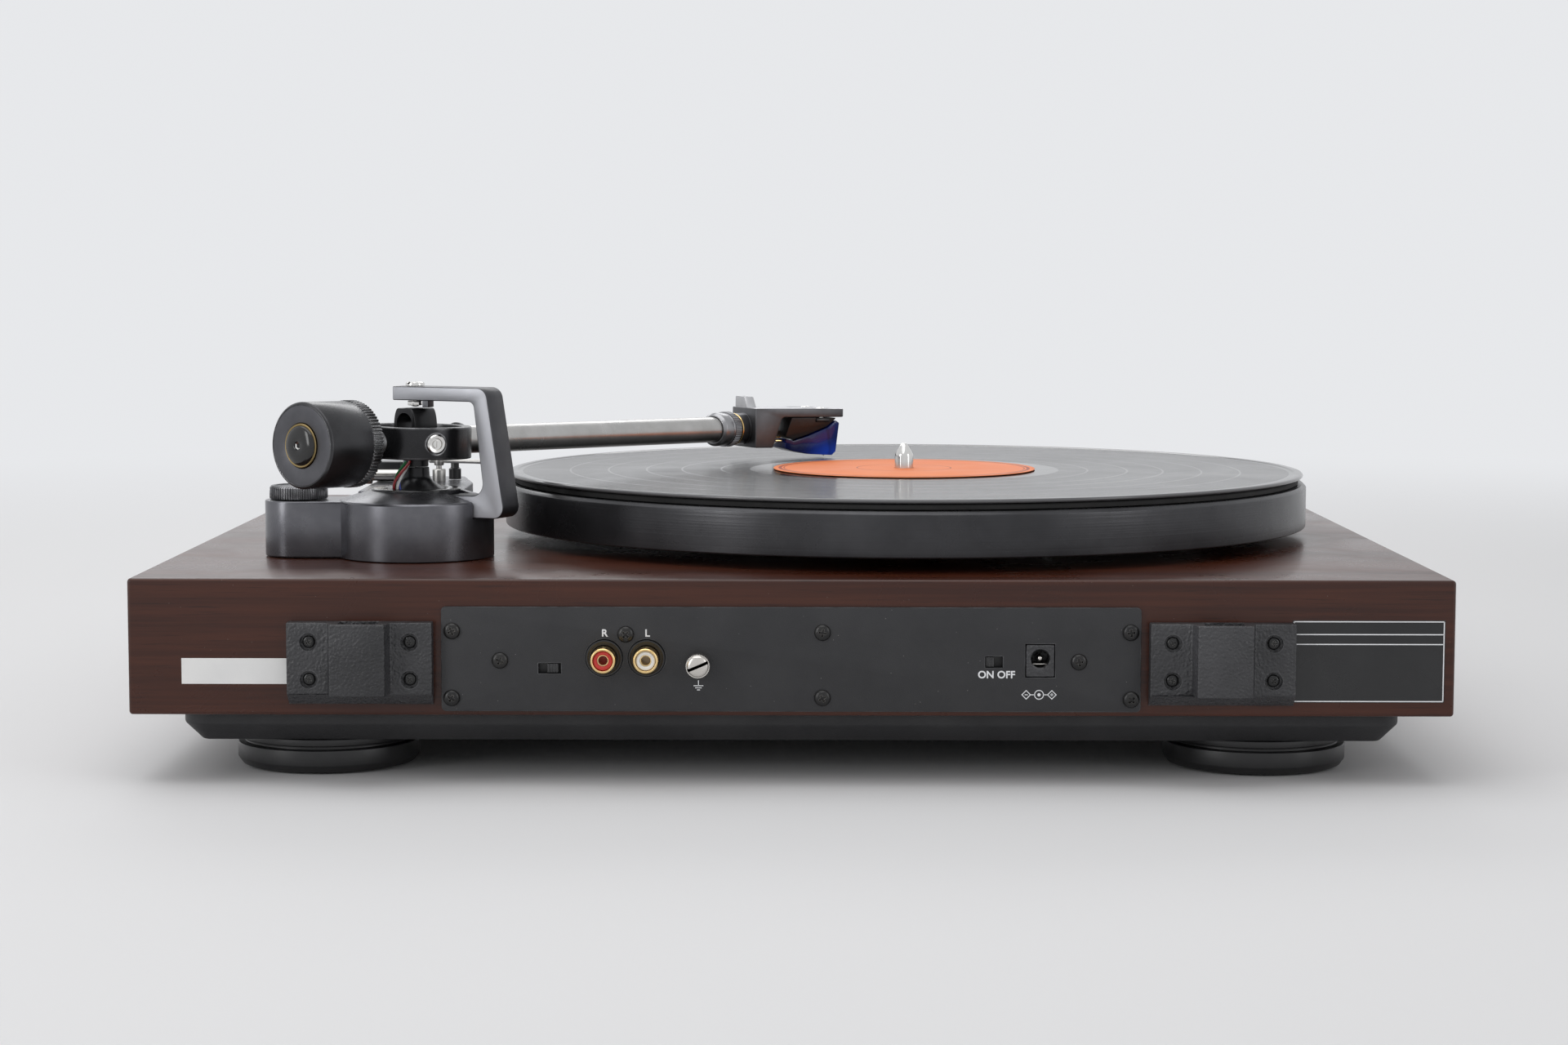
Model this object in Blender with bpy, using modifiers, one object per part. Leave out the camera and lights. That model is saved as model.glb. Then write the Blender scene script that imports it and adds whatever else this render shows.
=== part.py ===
# A direct drive turntable with a straight tonearm and an offset headshell.
# Metres, +Z up. The front faces -Y, so the connectors face +Y and the tonearm stands at +X.
# The origin is on the surface the feet stand on, in the middle of the turntable.
# The tonearm rests where a record is being played, which is also every joint's zero.

import math

import bmesh
import bpy
from mathutils import Matrix, Vector

# Counts of flat sides on round shapes
SIDES_DISC = 54
SIDES_LARGE = 32
SIDES_MEDIUM = 20
SIDES_SMALL = 14
SIDES_TINY = 10
FILLET_STEPS = 4
SHARP_ANGLE = math.radians(35)

# Clearances
GAP = 0.0003
OVERRUN = 0.002
EDGE = 0.0004
WELD = 0.00001

# Wooden plinth
PLINTH_WIDTH = 0.435
PLINTH_DEPTH = 0.350
PLINTH_HEIGHT = 0.045
PLINTH_EDGE = 0.0012
PLINTH_WALL = 0.020
DECK_THICKNESS = 0.012
MOTOR_HOLE_RADIUS = 0.060
WIRE_HOLE_RADIUS = 0.010
REAR_WINDOW_MARGIN = 0.0029
REAR_WINDOW_HEIGHT = 0.0182
REAR_WINDOW_DROP = 0.0281

# Feet and bottom tray
FOOT_HEIGHT = 0.0122
FOOT_RADIUS = 0.031
FOOT_TOP_RADIUS = 0.0296
FOOT_GROOVE = 0.0012
FOOT_NECK = 0.0024
FOOT_LIP = 0.0030
FOOT_BASE_LIFT = 0.0008
PAD_RADIUS = 0.0255
PAD_THICKNESS = 0.0026
FOOT_INSET_X = 0.058
FOOT_INSET_Y = 0.050
TRAY_HEIGHT = 0.0113
TRAY_INSET = 0.014
TRAY_CHAMFER = 0.006
TRAY_CORNER = 0.009
TRAY_WALL = 0.003

# Main circuit board on the tray's posts
BOARD_LENGTH = 0.075
BOARD_THICKNESS = 0.0016
BOARD_DROP = 0.0335
BOARD_SETBACK = 0.0025
POST_RADIUS = 0.004
POST_INSET = 0.008
POST_SETBACK = 0.030
CAPACITOR_RADIUS = 0.005
CAPACITOR_HEIGHT = 0.009
CAPACITOR_SPACING = 0.014
CHIP_SIZE = 0.012
CHIP_HEIGHT = 0.002

# Rear panel
PANEL_WIDTH = 0.229
PANEL_HEIGHT = 0.0345
PANEL_THICKNESS = 0.0012
PANEL_DROP = 0.0261
PANEL_CORNER = 0.0015

# Dust cover hinge brackets
BRACKET_WIDTH = 0.0475
BRACKET_HEIGHT = 0.0274
BRACKET_DEPTH = 0.011
BRACKET_FLANGE = 0.005
BRACKET_BLOCK = 0.0180
BRACKET_RAMP = 0.0012
BRACKET_BEVEL = 0.0038
BRACKET_CENTRE = 0.1409
BRACKET_DROP = 0.0275
SOCKET_WIDTH = 0.0130
SOCKET_DEPTH = 0.0075
SOCKET_LENGTH = 0.0210
SOCKET_WALL = 0.0020

# Signal sockets
RCA_CENTRE = 0.0542
RCA_PITCH = 0.0139
RCA_DROP = 0.0257
RCA_BOSS_RADIUS = 0.00595
RCA_BOSS_PROUD = 0.0010
RCA_BLOCK_WIDTH = 0.030
RCA_BLOCK_HEIGHT = 0.0128
RCA_BLOCK_LENGTH = 0.011
RCA_SEAT_DEPTH = 0.0035
RCA_BARREL_RADIUS = 0.0041
RCA_BARREL_WALL = 0.0008
RCA_BARREL_PROUD = 0.0072
RCA_INSERT_RECESS = 0.0006
RCA_PIN_HOLE_RADIUS = 0.0016
RCA_PIN_HOLE_DEPTH = 0.0075

# Power socket
DC_CENTRE = -0.0815
DC_DROP = 0.0264
DC_WIDTH = 0.0092
DC_HEIGHT = 0.0105
DC_PROUD = 0.0006
DC_LENGTH = 0.0125
DC_HOLE_RADIUS = 0.0031
DC_HOLE_DEPTH = 0.0095
DC_HOLE_RISE = 0.0007
DC_PIN_RADIUS = 0.0010
DC_PIN_RECESS = 0.0012

# Slide switches
SWITCH_DEPTH = 0.0060
SWITCH_SIDE = 0.0020
SLIDER_DEPTH = 0.0024
SLIDER_PROUD = 0.0004
SLIDER_RIB = 0.0003
PHONO_SWITCH_CENTRE = 0.0790
PHONO_SWITCH_DROP = 0.02915
PHONO_WINDOW_WIDTH = 0.0075
PHONO_WINDOW_HEIGHT = 0.0035
PHONO_SLIDER_WIDTH = 0.0036
PHONO_SLIDER_OFFSET = -0.0010
STOP_SWITCH_CENTRE = -0.0664
STOP_SWITCH_DROP = 0.02685
STOP_WINDOW_WIDTH = 0.0058
STOP_WINDOW_HEIGHT = 0.0038
STOP_SLIDER_WIDTH = 0.0026
STOP_SLIDER_OFFSET = 0.0013

# Ground terminal
GROUND_CENTRE = 0.03035
GROUND_DROP = 0.02756
GROUND_BLOCK = 0.0090
GROUND_STUD_RADIUS = 0.0015
GROUND_THREAD_DEPTH = 0.0005
GROUND_HOLE_RADIUS = 0.0021
WASHER_RADIUS = 0.0037
WASHER_THICKNESS = 0.0006
THUMB_RADIUS = 0.00395
THUMB_LENGTH = 0.0066
THUMB_RIDGE = 0.0003
THUMB_RIDGES = 16
THUMB_SLOT_WIDTH = 0.0010
THUMB_SLOT_DEPTH = 0.0012

# Motor under the platter
PLATTER_X = -0.043
PLATTER_FROM_REAR = 0.172
MOTOR_PLATE_RADIUS = 0.070
MOTOR_PLATE_THICKNESS = 0.0024
HOUSING_RADIUS = 0.0095
HOUSING_FLOOR = 0.0030
HOUSING_DEPTH = 0.0290
HOUSING_RISE = 0.0045
BUSH_RADIUS = 0.0062
BUSH_FLANGE_RADIUS = 0.0085
BUSH_FLANGE = 0.0012
STATOR_POLES = 9
STATOR_CORE_RADIUS = 0.019
STATOR_BORE_RADIUS = 0.0105
STATOR_NECK_RADIUS = 0.039
STATOR_RADIUS = 0.045
STATOR_NECK_WIDTH = 0.0055
STATOR_SHOE_WIDTH = 0.0225
STATOR_LIFT = 0.0030
STATOR_THICKNESS = 0.0040
COIL_OVERHANG = 0.0022
COIL_MARGIN = 0.0010
MAGNET_RADIUS = 0.054
MAGNET_WALL = 0.0065
MAGNET_HEIGHT = 0.0085

# Platter, mat and record
PLATTER_RADIUS = 0.152
PLATTER_UNDER = 0.0048
PLATTER_TOP = 0.0207
PLATTER_CHAMFER = 0.0012
PLATTER_RIM = 0.012
PLATTER_WEB = 0.0060
PLATTER_HUB_RADIUS = 0.0125
PLATTER_HUB_DROP = 0.0020
PLATTER_RIBS = 8
RIB_WIDTH = 0.0030
RIB_HEIGHT = 0.0050
MAT_MARGIN = 0.003
MAT_THICKNESS = 0.0019
RECORD_RADIUS = 0.1508
RECORD_GROOVE_THICKNESS = 0.0011
RECORD_RIM_THICKNESS = 0.0014
RECORD_RIM_WIDTH = 0.0040
RECORD_RIM_FALL = 0.0010
RECORD_LAND_RADIUS = 0.0505
LABEL_RADIUS = 0.050
LABEL_THICKNESS = 0.0002
SPINDLE_RADIUS = 0.00355
SPINDLE_SHOULDER = 0.0296
SPINDLE_TOP = 0.0343
SPINDLE_TIP_RADIUS = 0.0011
SPINDLE_TIP_ROUND = 0.0006
SPINDLE_EDGE = 0.0005

# Tonearm base casting
PIVOT_FROM_RIM = 0.023
PIVOT_FROM_REAR = 0.076
TOWER_RADIUS = 0.0272
TOWER_WALL_TOP = 0.0200
TOWER_TOP = 0.0235
TOWER_TOP_RADIUS = 0.0160
DIAL_BLOCK_REACH = 0.0415
DIAL_BLOCK_SHIFT = 0.0010
DIAL_BLOCK_RADIUS = 0.0117
WING_TOP = 0.0230
WING_LEFT = 0.0155
WING_RIGHT = 0.0205
WING_STRAIGHT = 0.042
WING_LENGTH = 0.072
WING_TIP_LEFT = 0.0095
WING_CORNER = 0.0030
CASTING_EDGE = 0.0006

# Fixed bearing pillar and the yoke that carries the upper pivot
PILLAR_FOOT_RADIUS = 0.0100
PILLAR_NECK_RADIUS = 0.0048
PILLAR_NECK_TOP = 0.0288
PILLAR_TOP = 0.0315
PILLAR_TOP_RADIUS = 0.0046
PILLAR_SPIGOT_RADIUS = 0.0055
PILLAR_SPIGOT_DEPTH = 0.0100
PILLAR_FLARE_STEPS = 6
YOKE_TURN = math.radians(25)
YOKE_THICKNESS = 0.0110
YOKE_TOP = 0.0599
YOKE_ARM_THICKNESS = 0.0048
YOKE_ARM_BEHIND = 0.0059
YOKE_TOP_REACH = 0.0318
YOKE_FOOT_REACH = 0.0392
YOKE_LEG_TOP = 0.0051
YOKE_LEG_FOOT = 0.0083
YOKE_FOOT_BOTTOM = 0.0148
YOKE_FOOT_TOP = 0.0225
YOKE_FOOT_BEHIND = 0.0140
YOKE_OUTER_ROUND = 0.0040
YOKE_INNER_ROUND = 0.0045
YOKE_EDGE = 0.0004
STOP_TAB_WIDTH = 0.0023
STOP_TAB_DEPTH = 0.0040
STOP_TAB_HEIGHT = 0.0025
STOP_TAB_SHIFT = 0.0052

# Upper pivot screw
PIVOT_SCREW_RADIUS = 0.0015
PIVOT_HEAD_RADIUS = 0.0034
PIVOT_HEAD_HEIGHT = 0.0012
PIVOT_NUT_RADIUS = 0.0028
PIVOT_NUT_HEIGHT = 0.0016
PIVOT_HOLE_CLEARANCE = 0.0003

# Gimbal
ARM_HEIGHT = 0.0405
BLOCK_WIDTH = 0.0104
BLOCK_LENGTH = 0.0112
BLOCK_TOP = 0.0523
BLOCK_TOP_WIDTH = 0.0060
BLOCK_SHOULDER = 0.0462
BLOCK_BOTTOM = 0.0350
BLOCK_BORE_RADIUS = 0.0037
BLOCK_BORE_HEIGHT = 0.0470
BLOCK_STEM_RADIUS = 0.0044
BLOCK_TRUNNION_RADIUS = 0.0042
BLOCK_TRUNNION_REACH = 0.0095
RING_RADIUS = 0.0195
RING_WALL = 0.0033
RING_HEIGHT = 0.0112
BEARING_SHAFT_RADIUS = 0.0020
BEARING_HEAD_RADIUS = 0.0033
BEARING_HEAD_LENGTH = 0.0016
BEARING_HEAD_PROUD = 0.0004

# Tonearm tube, directions in the deck's plane
TUBE_TURN = math.radians(37.4)
HEADSHELL_OFFSET = math.radians(24)
PARK_TURN = math.radians(8.0)
ARM_PITCH = math.radians(1.24)
TUBE_RADIUS = 0.0050
TUBE_WALL = 0.0010
TUBE_SETBACK = 0.0123
BEND_REACH = 0.1840

# Headshell collar
COLLAR_SETBACK = 0.0180
COLLAR_LENGTH = 0.0110
COLLAR_RADIUS = 0.0070
COLLAR_CHAMFER = 0.0011
COLLAR_RIDGES = 18
COLLAR_RIDGE = 0.00025
COLLAR_BAND = 0.0035

# Headshell, heights above the deck at the stylus and reaches from the bend
SHELL_START = 0.0012
SHELL_LENGTH = 0.0413
SHELL_TOP = 0.0445
SHELL_NOSE_TOP = 0.0443
SHELL_SLOPE_START = 0.0270
SHELL_UNDER = 0.0410
SHELL_BLOCK_BOTTOM = 0.0288
SHELL_BLOCK_LENGTH = 0.0080
SHELL_BLOCK_SLANT = 0.0040
SHELL_WIDTH = 0.0204
SHELL_NOSE_WIDTH = 0.0180
SHELL_NOSE_ROUND = 0.0025
SHELL_INNER_ROUND = 0.0020
SHELL_NECK_RADIUS = 0.0062
SHELL_PLUG_RADIUS = 0.0050
LIFT_TAB_HEIGHT = 0.0044
LIFT_TAB_LENGTH = 0.0042
LIFT_TAB_OUTER = 0.0086
LIFT_TAB_BASE = 0.0106
LIFT_TAB_TOP = 0.0075

# Cartridge and its stylus unit, heights above the deck at the stylus and reaches from the bend.
# Each underside is a row of reaches from the cartridge's rear and rises from its lowest height.
CARTRIDGE_START = 0.0166
CARTRIDGE_LENGTH = 0.0220
CARTRIDGE_BACK_LEAN = 0.0020
CARTRIDGE_BOTTOM = 0.0319
CARTRIDGE_WIDTH = 0.0164
CARTRIDGE_UNDERSIDE = ((0.0, 0.0010), (0.0039, 0.0), (0.0102, 0.0020), (0.0186, 0.0053))
CARTRIDGE_NOSE_DROP = 0.0005
STYLUS_UNIT_LOW = 0.0254
STYLUS_UNIT_UNDERSIDE = ((0.0007, 0.0029), (0.0049, 0.0016), (0.0114, 0.0005), (0.0203, 0.0001))
STYLUS_UNIT_OVERHANG = 0.0020
STYLUS_UNIT_TOE = 0.0015
STYLUS_UNIT_NOSE_RISE = 0.0132
STYLUS_UNIT_FOOT_WIDTH = 0.0100
STYLUS_REACH = 0.0380
STYLUS_RADIUS = 0.0006
STYLUS_TIP_RADIUS = 0.0001

# Counterweight, distances behind the pivot
SHAFT_RADIUS = 0.0050
SHAFT_END = 0.0500
WEIGHT_FRONT = 0.0300
WEIGHT_REAR = 0.0545
WEIGHT_RADIUS = 0.01475
WEIGHT_CHAMFER = 0.0007
WEIGHT_BORE_RADIUS = 0.0078
FORCE_RING_WIDTH = 0.0045
FORCE_RING_RADIUS = 0.0150
FORCE_RING_RIDGES = 32
FORCE_RING_RIDGE = 0.0004
BUSH_WALL = 0.0021
WEIGHT_CAP_DOME = 0.0020
WEIGHT_CAP_SOCKET_RADIUS = 0.0014
WEIGHT_CAP_SOCKET_DEPTH = 0.0012
WEIGHT_CAP_CREST_SHARE = 0.55
WEIGHT_CAP_SHOULDER_SHARE = 0.85
BUSH_THREAD_SHARE = 0.5

# Cueing lift and arm rest, places in the deck's plane from the tonearm pivot
LIFT_X = -0.0030
LIFT_Y = -0.0430
LIFT_POST_RADIUS = 0.0024
LIFT_POST_HEIGHT = 0.0048
LIFT_ROD_RADIUS = 0.0010
LIFT_ROD_LIFT = 0.0006
LIFT_BAR_TOP = 0.0315
LIFT_BAR_RADIUS = 0.0008
LIFT_BAR_SWEEP = math.radians(42)
LIFT_BAR_LEAD = math.radians(4)
LIFT_BAR_POINTS = 14
LIFT_BOX_X = 0.0100
LIFT_BOX_Y = -0.0455
LIFT_BOX_WIDTH = 0.0100
LIFT_BOX_LENGTH = 0.0090
LIFT_BOX_HEIGHT = 0.0072
LEVER_HEIGHT = 0.0028
LEVER_SHAFT_RADIUS = 0.0021
LEVER_HUB_RADIUS = 0.0033
LEVER_HUB_LENGTH = 0.0036
LEVER_LENGTH = 0.0290
LEVER_ARM_RADIUS = 0.0013
LEVER_KNOB_RADIUS = 0.0021
LEVER_KNOB_LENGTH = 0.0085
REST_POST_RADIUS = 0.00225
REST_POST_HEIGHT = 0.0040
REST_NECK_RADIUS = 0.0015
REST_REACH = 0.0545
REST_BASE_HEIGHT = 0.0022
REST_INNER = 0.0050
REST_OUTER_WALL = 0.0024
REST_PRONG_RISE = 0.0030
REST_LENGTH = 0.0050

# Anti-skate dial
DIAL_RADIUS = 0.01015
DIAL_HEIGHT = 0.0047
DIAL_RIDGES = 28
DIAL_RIDGE = 0.0003
DIAL_RIM = 0.0016
DIAL_DISH = 0.0005
DIAL_STEM_RADIUS = 0.0030
DIAL_STEM_DEPTH = 0.0060

# Speed knob at the front left corner
KNOB_INSET_X = 0.0275
KNOB_INSET_Y = 0.040
KNOB_RADIUS = 0.0135
KNOB_TOP_RADIUS = 0.0125
KNOB_HEIGHT = 0.0135
KNOB_EDGE = 0.0008
KNOB_STEM_RADIUS = 0.0030
KNOB_MARK_WIDTH = 0.0012
KNOB_MARK_DEPTH = 0.0005
KNOB_MARK_LENGTH = 0.0080

# Signal wires from the gimbal block down to the base, from the pivot in the deck's plane
WIRE_RADIUS = 0.0008
WIRE_POINTS = 9
WIRE_BOTTOM_X = 0.0052
WIRE_BOTTOM_Y = 0.0092
WIRE_TOP_X = 0.0022
WIRE_TOP_Y = 0.0050
WIRE_TOP = 0.0338
WIRE_BOW = 0.0012

# Places worked out from the sizes above
TRAY_BOTTOM = FOOT_HEIGHT
PLINTH_BOTTOM = FOOT_HEIGHT + TRAY_HEIGHT
DECK = PLINTH_BOTTOM + PLINTH_HEIGHT
REAR = (PLINTH_DEPTH - BRACKET_DEPTH) / 2
FRONT = REAR - PLINTH_DEPTH
MIDDLE = (REAR + FRONT) / 2
PANEL_INNER = REAR + GAP
PANEL_OUTER = PANEL_INNER + PANEL_THICKNESS
BOARD_TOP = DECK - BOARD_DROP
PLATTER_Y = REAR - PLATTER_FROM_REAR
MAT_RADIUS = PLATTER_RADIUS - MAT_MARGIN
TURNING_RADIUS = max(PLATTER_RADIUS, RECORD_RADIUS)
PIVOT_X = PLATTER_X + TURNING_RADIUS + PIVOT_FROM_RIM
PIVOT_Y = REAR - PIVOT_FROM_REAR
ARM_Z = DECK + ARM_HEIGHT
RECORD_BOTTOM = DECK + PLATTER_TOP + GAP + MAT_THICKNESS + GAP
RECORD_TOP = RECORD_BOTTOM + RECORD_GROOVE_THICKNESS
BOARD_WIDTH = 2 * (DC_WIDTH / 2 - DC_CENTRE)
REAR_WINDOW_WIDTH = BOARD_WIDTH + 2 * REAR_WINDOW_MARGIN
TUBE_END = BEND_REACH - TUBE_SETBACK
COLLAR_START = BEND_REACH - COLLAR_SETBACK
HEAD_SINK = (BEND_REACH * math.cos(HEADSHELL_OFFSET) + STYLUS_REACH) * math.sin(ARM_PITCH)
HEAD_HEIGHT = ARM_HEIGHT - HEAD_SINK
REST_SINK = REST_REACH * math.cos(HEADSHELL_OFFSET) * math.sin(ARM_PITCH)
CRADLE_HEIGHT = ARM_HEIGHT - REST_SINK
QUARTER = math.pi / 2
HALF = math.pi


# Scene, collections and materials


def clear_scene():
    for old in list(bpy.data.objects):
        bpy.data.objects.remove(old, do_unlink=True)


def new_collection(name):
    made = bpy.data.collections.new(name)
    bpy.context.scene.collection.children.link(made)
    return made


def finish(name, colour, roughness, metallic=0.0):
    made = bpy.data.materials.new(name)
    made.use_nodes = True
    shader = made.node_tree.nodes["Principled BSDF"]
    shader.inputs["Base Color"].default_value = (*colour, 1.0)
    shader.inputs["Roughness"].default_value = roughness
    shader.inputs["Metallic"].default_value = metallic
    return made


clear_scene()
PARTS = new_collection("direct_drive_turntable")
CUTTERS = new_collection("cutters")

VENEER = finish("walnut_veneer", (0.065, 0.018, 0.008), 0.18)
TRAY_PLASTIC = finish("tray_plastic", (0.028, 0.028, 0.030), 0.55)
FOOT_PLASTIC = finish("foot_plastic", (0.022, 0.022, 0.024), 0.40)
PAD_RUBBER = finish("pad_rubber", (0.015, 0.015, 0.015), 0.85)
PANEL_PAINT = finish("panel_paint", (0.018, 0.018, 0.020), 0.50, 0.3)
BRACKET_PLASTIC = finish("bracket_plastic", (0.020, 0.020, 0.021), 0.60)
BLACK_PLASTIC = finish("black_plastic", (0.012, 0.012, 0.013), 0.40)
GOLD = finish("gold_plate", (0.83, 0.60, 0.28), 0.25, 1.0)
RED_PLASTIC = finish("red_insert", (0.45, 0.02, 0.02), 0.35)
WHITE_PLASTIC = finish("white_insert", (0.80, 0.78, 0.72), 0.35)
NICKEL = finish("nickel", (0.62, 0.60, 0.57), 0.25, 1.0)
BOARD_GREEN = finish("circuit_board", (0.02, 0.09, 0.04), 0.45)
STEEL = finish("steel", (0.52, 0.52, 0.53), 0.35, 1.0)
BRONZE = finish("bearing_bronze", (0.55, 0.36, 0.16), 0.40, 1.0)
COPPER = finish("copper_winding", (0.55, 0.22, 0.09), 0.45, 0.8)
WEIGHT_COAT = finish("weight_metal", (0.030, 0.030, 0.032), 0.40, 0.8)
MAGNET_GREY = finish("ferrite", (0.06, 0.06, 0.065), 0.60)
BLACK_ANODISED = finish("black_anodised", (0.022, 0.022, 0.025), 0.38, 0.8)
MAT_RUBBER = finish("mat_rubber", (0.012, 0.012, 0.012), 0.80)
VINYL = finish("vinyl", (0.010, 0.010, 0.011), 0.22)
LABEL_PAPER = finish("label_paper", (0.80, 0.22, 0.06), 0.70)
POLISHED_STEEL = finish("polished_steel", (0.72, 0.71, 0.69), 0.15, 1.0)
CASTING = finish("anthracite_casting", (0.085, 0.085, 0.095), 0.38, 0.8)
BLASTED = finish("blasted_grey", (0.36, 0.36, 0.40), 0.50, 0.7)
TITANIUM = finish("satin_titanium", (0.20, 0.195, 0.19), 0.30, 1.0)
SHELL_METAL = finish("headshell_metal", (0.10, 0.10, 0.11), 0.36, 0.8)
BLUE_RESIN = finish("blue_resin", (0.01, 0.02, 0.45), 0.15)
KNURL_GREY = finish("knurled_grey", (0.20, 0.20, 0.21), 0.32, 0.9)
WIRE_PAINT = finish("wire_lacquer", (0.20, 0.03, 0.04), 0.45)


# Meshes


def to_mesh(bm):
    bmesh.ops.recalc_face_normals(bm, faces=bm.faces)
    mesh = bpy.data.meshes.new("shape")
    bm.to_mesh(mesh)
    bm.free()
    mesh.shade_smooth()
    mesh.set_sharp_from_angle(angle=SHARP_ANGLE)
    return mesh


def box_mesh(size, centre=(0, 0, 0)):
    """A box of the given sides about a centre."""
    bm = bmesh.new()
    bmesh.ops.create_cube(bm, size=1)
    bmesh.ops.scale(bm, vec=size, verts=bm.verts)
    bmesh.ops.translate(bm, vec=centre, verts=bm.verts)
    return to_mesh(bm)


def cylinder_mesh(radius, height, sides, bottom=0.0):
    """An upright cylinder that stands on the height called bottom."""
    bm = bmesh.new()
    bmesh.ops.create_cone(
        bm, cap_ends=True, segments=sides, radius1=radius, radius2=radius, depth=height
    )
    bmesh.ops.translate(bm, vec=(0, 0, bottom + height / 2), verts=bm.verts)
    return to_mesh(bm)


def group_mesh(meshes_and_places):
    """Copies of meshes, each moved and turned about Z, gathered in one mesh for one Boolean."""
    bm = bmesh.new()
    for mesh, place, turn in meshes_and_places:
        known = len(bm.verts)
        bm.from_mesh(mesh)
        bm.verts.ensure_lookup_table()
        added = bm.verts[known:]
        bmesh.ops.translate(bm, vec=place, verts=added)
        spin = Matrix.Rotation(turn, 3, "Z")
        bmesh.ops.rotate(bm, cent=(0, 0, 0), matrix=spin, verts=added)
    return to_mesh(bm)


def solid_from_curve(curve):
    """The closed mesh of a curve's bevel or extrusion, with its caps welded on."""
    holder = bpy.data.objects.new("curve_holder", curve)
    bpy.context.scene.collection.objects.link(holder)
    graph = bpy.context.evaluated_depsgraph_get()
    mesh = bpy.data.meshes.new_from_object(holder.evaluated_get(graph))
    bpy.data.objects.remove(holder, do_unlink=True)
    bm = bmesh.new()
    bm.from_mesh(mesh)
    bmesh.ops.remove_doubles(bm, verts=bm.verts, dist=WELD)
    return to_mesh(bm)


def plate_mesh(outline, thickness):
    """A flat outline in XY, extruded to the thickness about Z = 0."""
    curve = bpy.data.curves.new("outline", "CURVE")
    curve.dimensions = "2D"
    curve.fill_mode = "BOTH"
    curve.extrude = thickness / 2
    spline = curve.splines.new("POLY")
    spline.points.add(len(outline) - 1)
    for point, (x, y) in zip(spline.points, outline):
        point.co = (x, y, 0, 1)
    spline.use_cyclic_u = True
    return solid_from_curve(curve)


def rod_mesh(points, radius, resolution=2):
    """A round rod along the points."""
    curve = bpy.data.curves.new("rod", "CURVE")
    curve.dimensions = "3D"
    curve.bevel_depth = radius
    curve.bevel_resolution = resolution
    curve.use_fill_caps = True
    spline = curve.splines.new("POLY")
    spline.points.add(len(points) - 1)
    for point, place in zip(spline.points, points):
        point.co = (*place, 1)
    return solid_from_curve(curve)


def rounded(corners, steps=FILLET_STEPS):
    """An outline from corners (x, y, radius), with an arc at each corner that has a radius."""
    outline = []
    for index, (x, y, radius) in enumerate(corners):
        corner = Vector((x, y))
        if radius == 0:
            outline.append((x, y))
            continue
        before = (Vector(corners[index - 1][:2]) - corner).normalized()
        after = (Vector(corners[(index + 1) % len(corners)][:2]) - corner).normalized()
        half_angle = before.angle(after) / 2
        centre = corner + (before + after).normalized() * radius / math.sin(half_angle)
        start = corner + before * radius / math.tan(half_angle) - centre
        end = corner + after * radius / math.tan(half_angle) - centre
        first = math.atan2(start.y, start.x)
        sweep = (math.atan2(end.y, end.x) - first + HALF) % (2 * HALF) - HALF
        for step in range(steps + 1):
            angle = first + sweep * step / steps
            outline.append(
                (centre.x + radius * math.cos(angle), centre.y + radius * math.sin(angle))
            )
    return outline


def knurled_outline(radius, ridges, depth):
    """A circle with square-topped ridges, for a knurled edge."""
    outline = []
    for ridge in range(ridges):
        for share, reach in ((0.0, radius), (0.5, radius), (0.5, radius - depth), (1.0, radius - depth)):
            angle = 2 * math.pi * (ridge + share) / ridges
            outline.append((reach * math.cos(angle), reach * math.sin(angle)))
    return outline


# Objects


def add(name, mesh, look, at=(0, 0, 0), turn=(0, 0, 0), parent=None):
    """A named piece of the turntable."""
    made = bpy.data.objects.new(name, mesh)
    made.location = at
    made.rotation_euler = turn
    made.parent = parent
    mesh.materials.append(look)
    PARTS.objects.link(made)
    return made


def tool(mesh, at=(0, 0, 0), turn=(0, 0, 0), parent=None):
    """A helper that only cuts or joins, and isn't a piece."""
    made = bpy.data.objects.new("tool", mesh)
    made.location = at
    made.rotation_euler = turn
    made.parent = parent
    made.hide_render = True
    made.display_type = "WIRE"
    CUTTERS.objects.link(made)
    return made


def empty(name, at, turn=(0, 0, 0), parent=None):
    """An empty on a joint's axis."""
    made = bpy.data.objects.new(name, None)
    made.location = at
    made.rotation_euler = turn
    made.parent = parent
    PARTS.objects.link(made)
    return made


def profile_mesh(profile, closed):
    mesh = bpy.data.meshes.new("profile")
    count = len(profile)
    edges = [(i, i + 1) for i in range(count - 1)]
    if closed:
        edges.append((count - 1, 0))
    mesh.from_pydata([(radius, 0, height) for radius, height in profile], edges, [])
    return mesh


def spin_up(made, sides):
    """A Screw modifier that turns the object's profile about its own Z."""
    screw = made.modifiers.new("Turned", "SCREW")
    screw.steps = sides
    screw.render_steps = sides
    screw.use_merge_vertices = True
    screw.merge_threshold = WELD
    return made


def turned(name, profile, look, sides, at=(0, 0, 0), turn=(0, 0, 0), parent=None, closed=False):
    """A turned piece, from (radius, height) points that run down its outer side."""
    return spin_up(add(name, profile_mesh(profile, closed), look, at, turn, parent), sides)


def turned_tool(profile, sides, at=(0, 0, 0), turn=(0, 0, 0), parent=None):
    return spin_up(tool(profile_mesh(profile, False), at, turn, parent), sides)


def combine(piece, other, operation):
    boolean = piece.modifiers.new(operation.title(), "BOOLEAN")
    boolean.operation = operation
    boolean.object = other
    return piece


def cut(piece, other):
    return combine(piece, other, "DIFFERENCE")


def join(piece, other):
    return combine(piece, other, "UNION")


def soften(piece, width, segments=2):
    """Rounds every edge sharper than the sharp angle."""
    bevel = piece.modifiers.new("Rounded", "BEVEL")
    bevel.width = width
    bevel.segments = segments
    bevel.limit_method = "ANGLE"
    bevel.angle_limit = SHARP_ANGLE
    return piece


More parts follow.
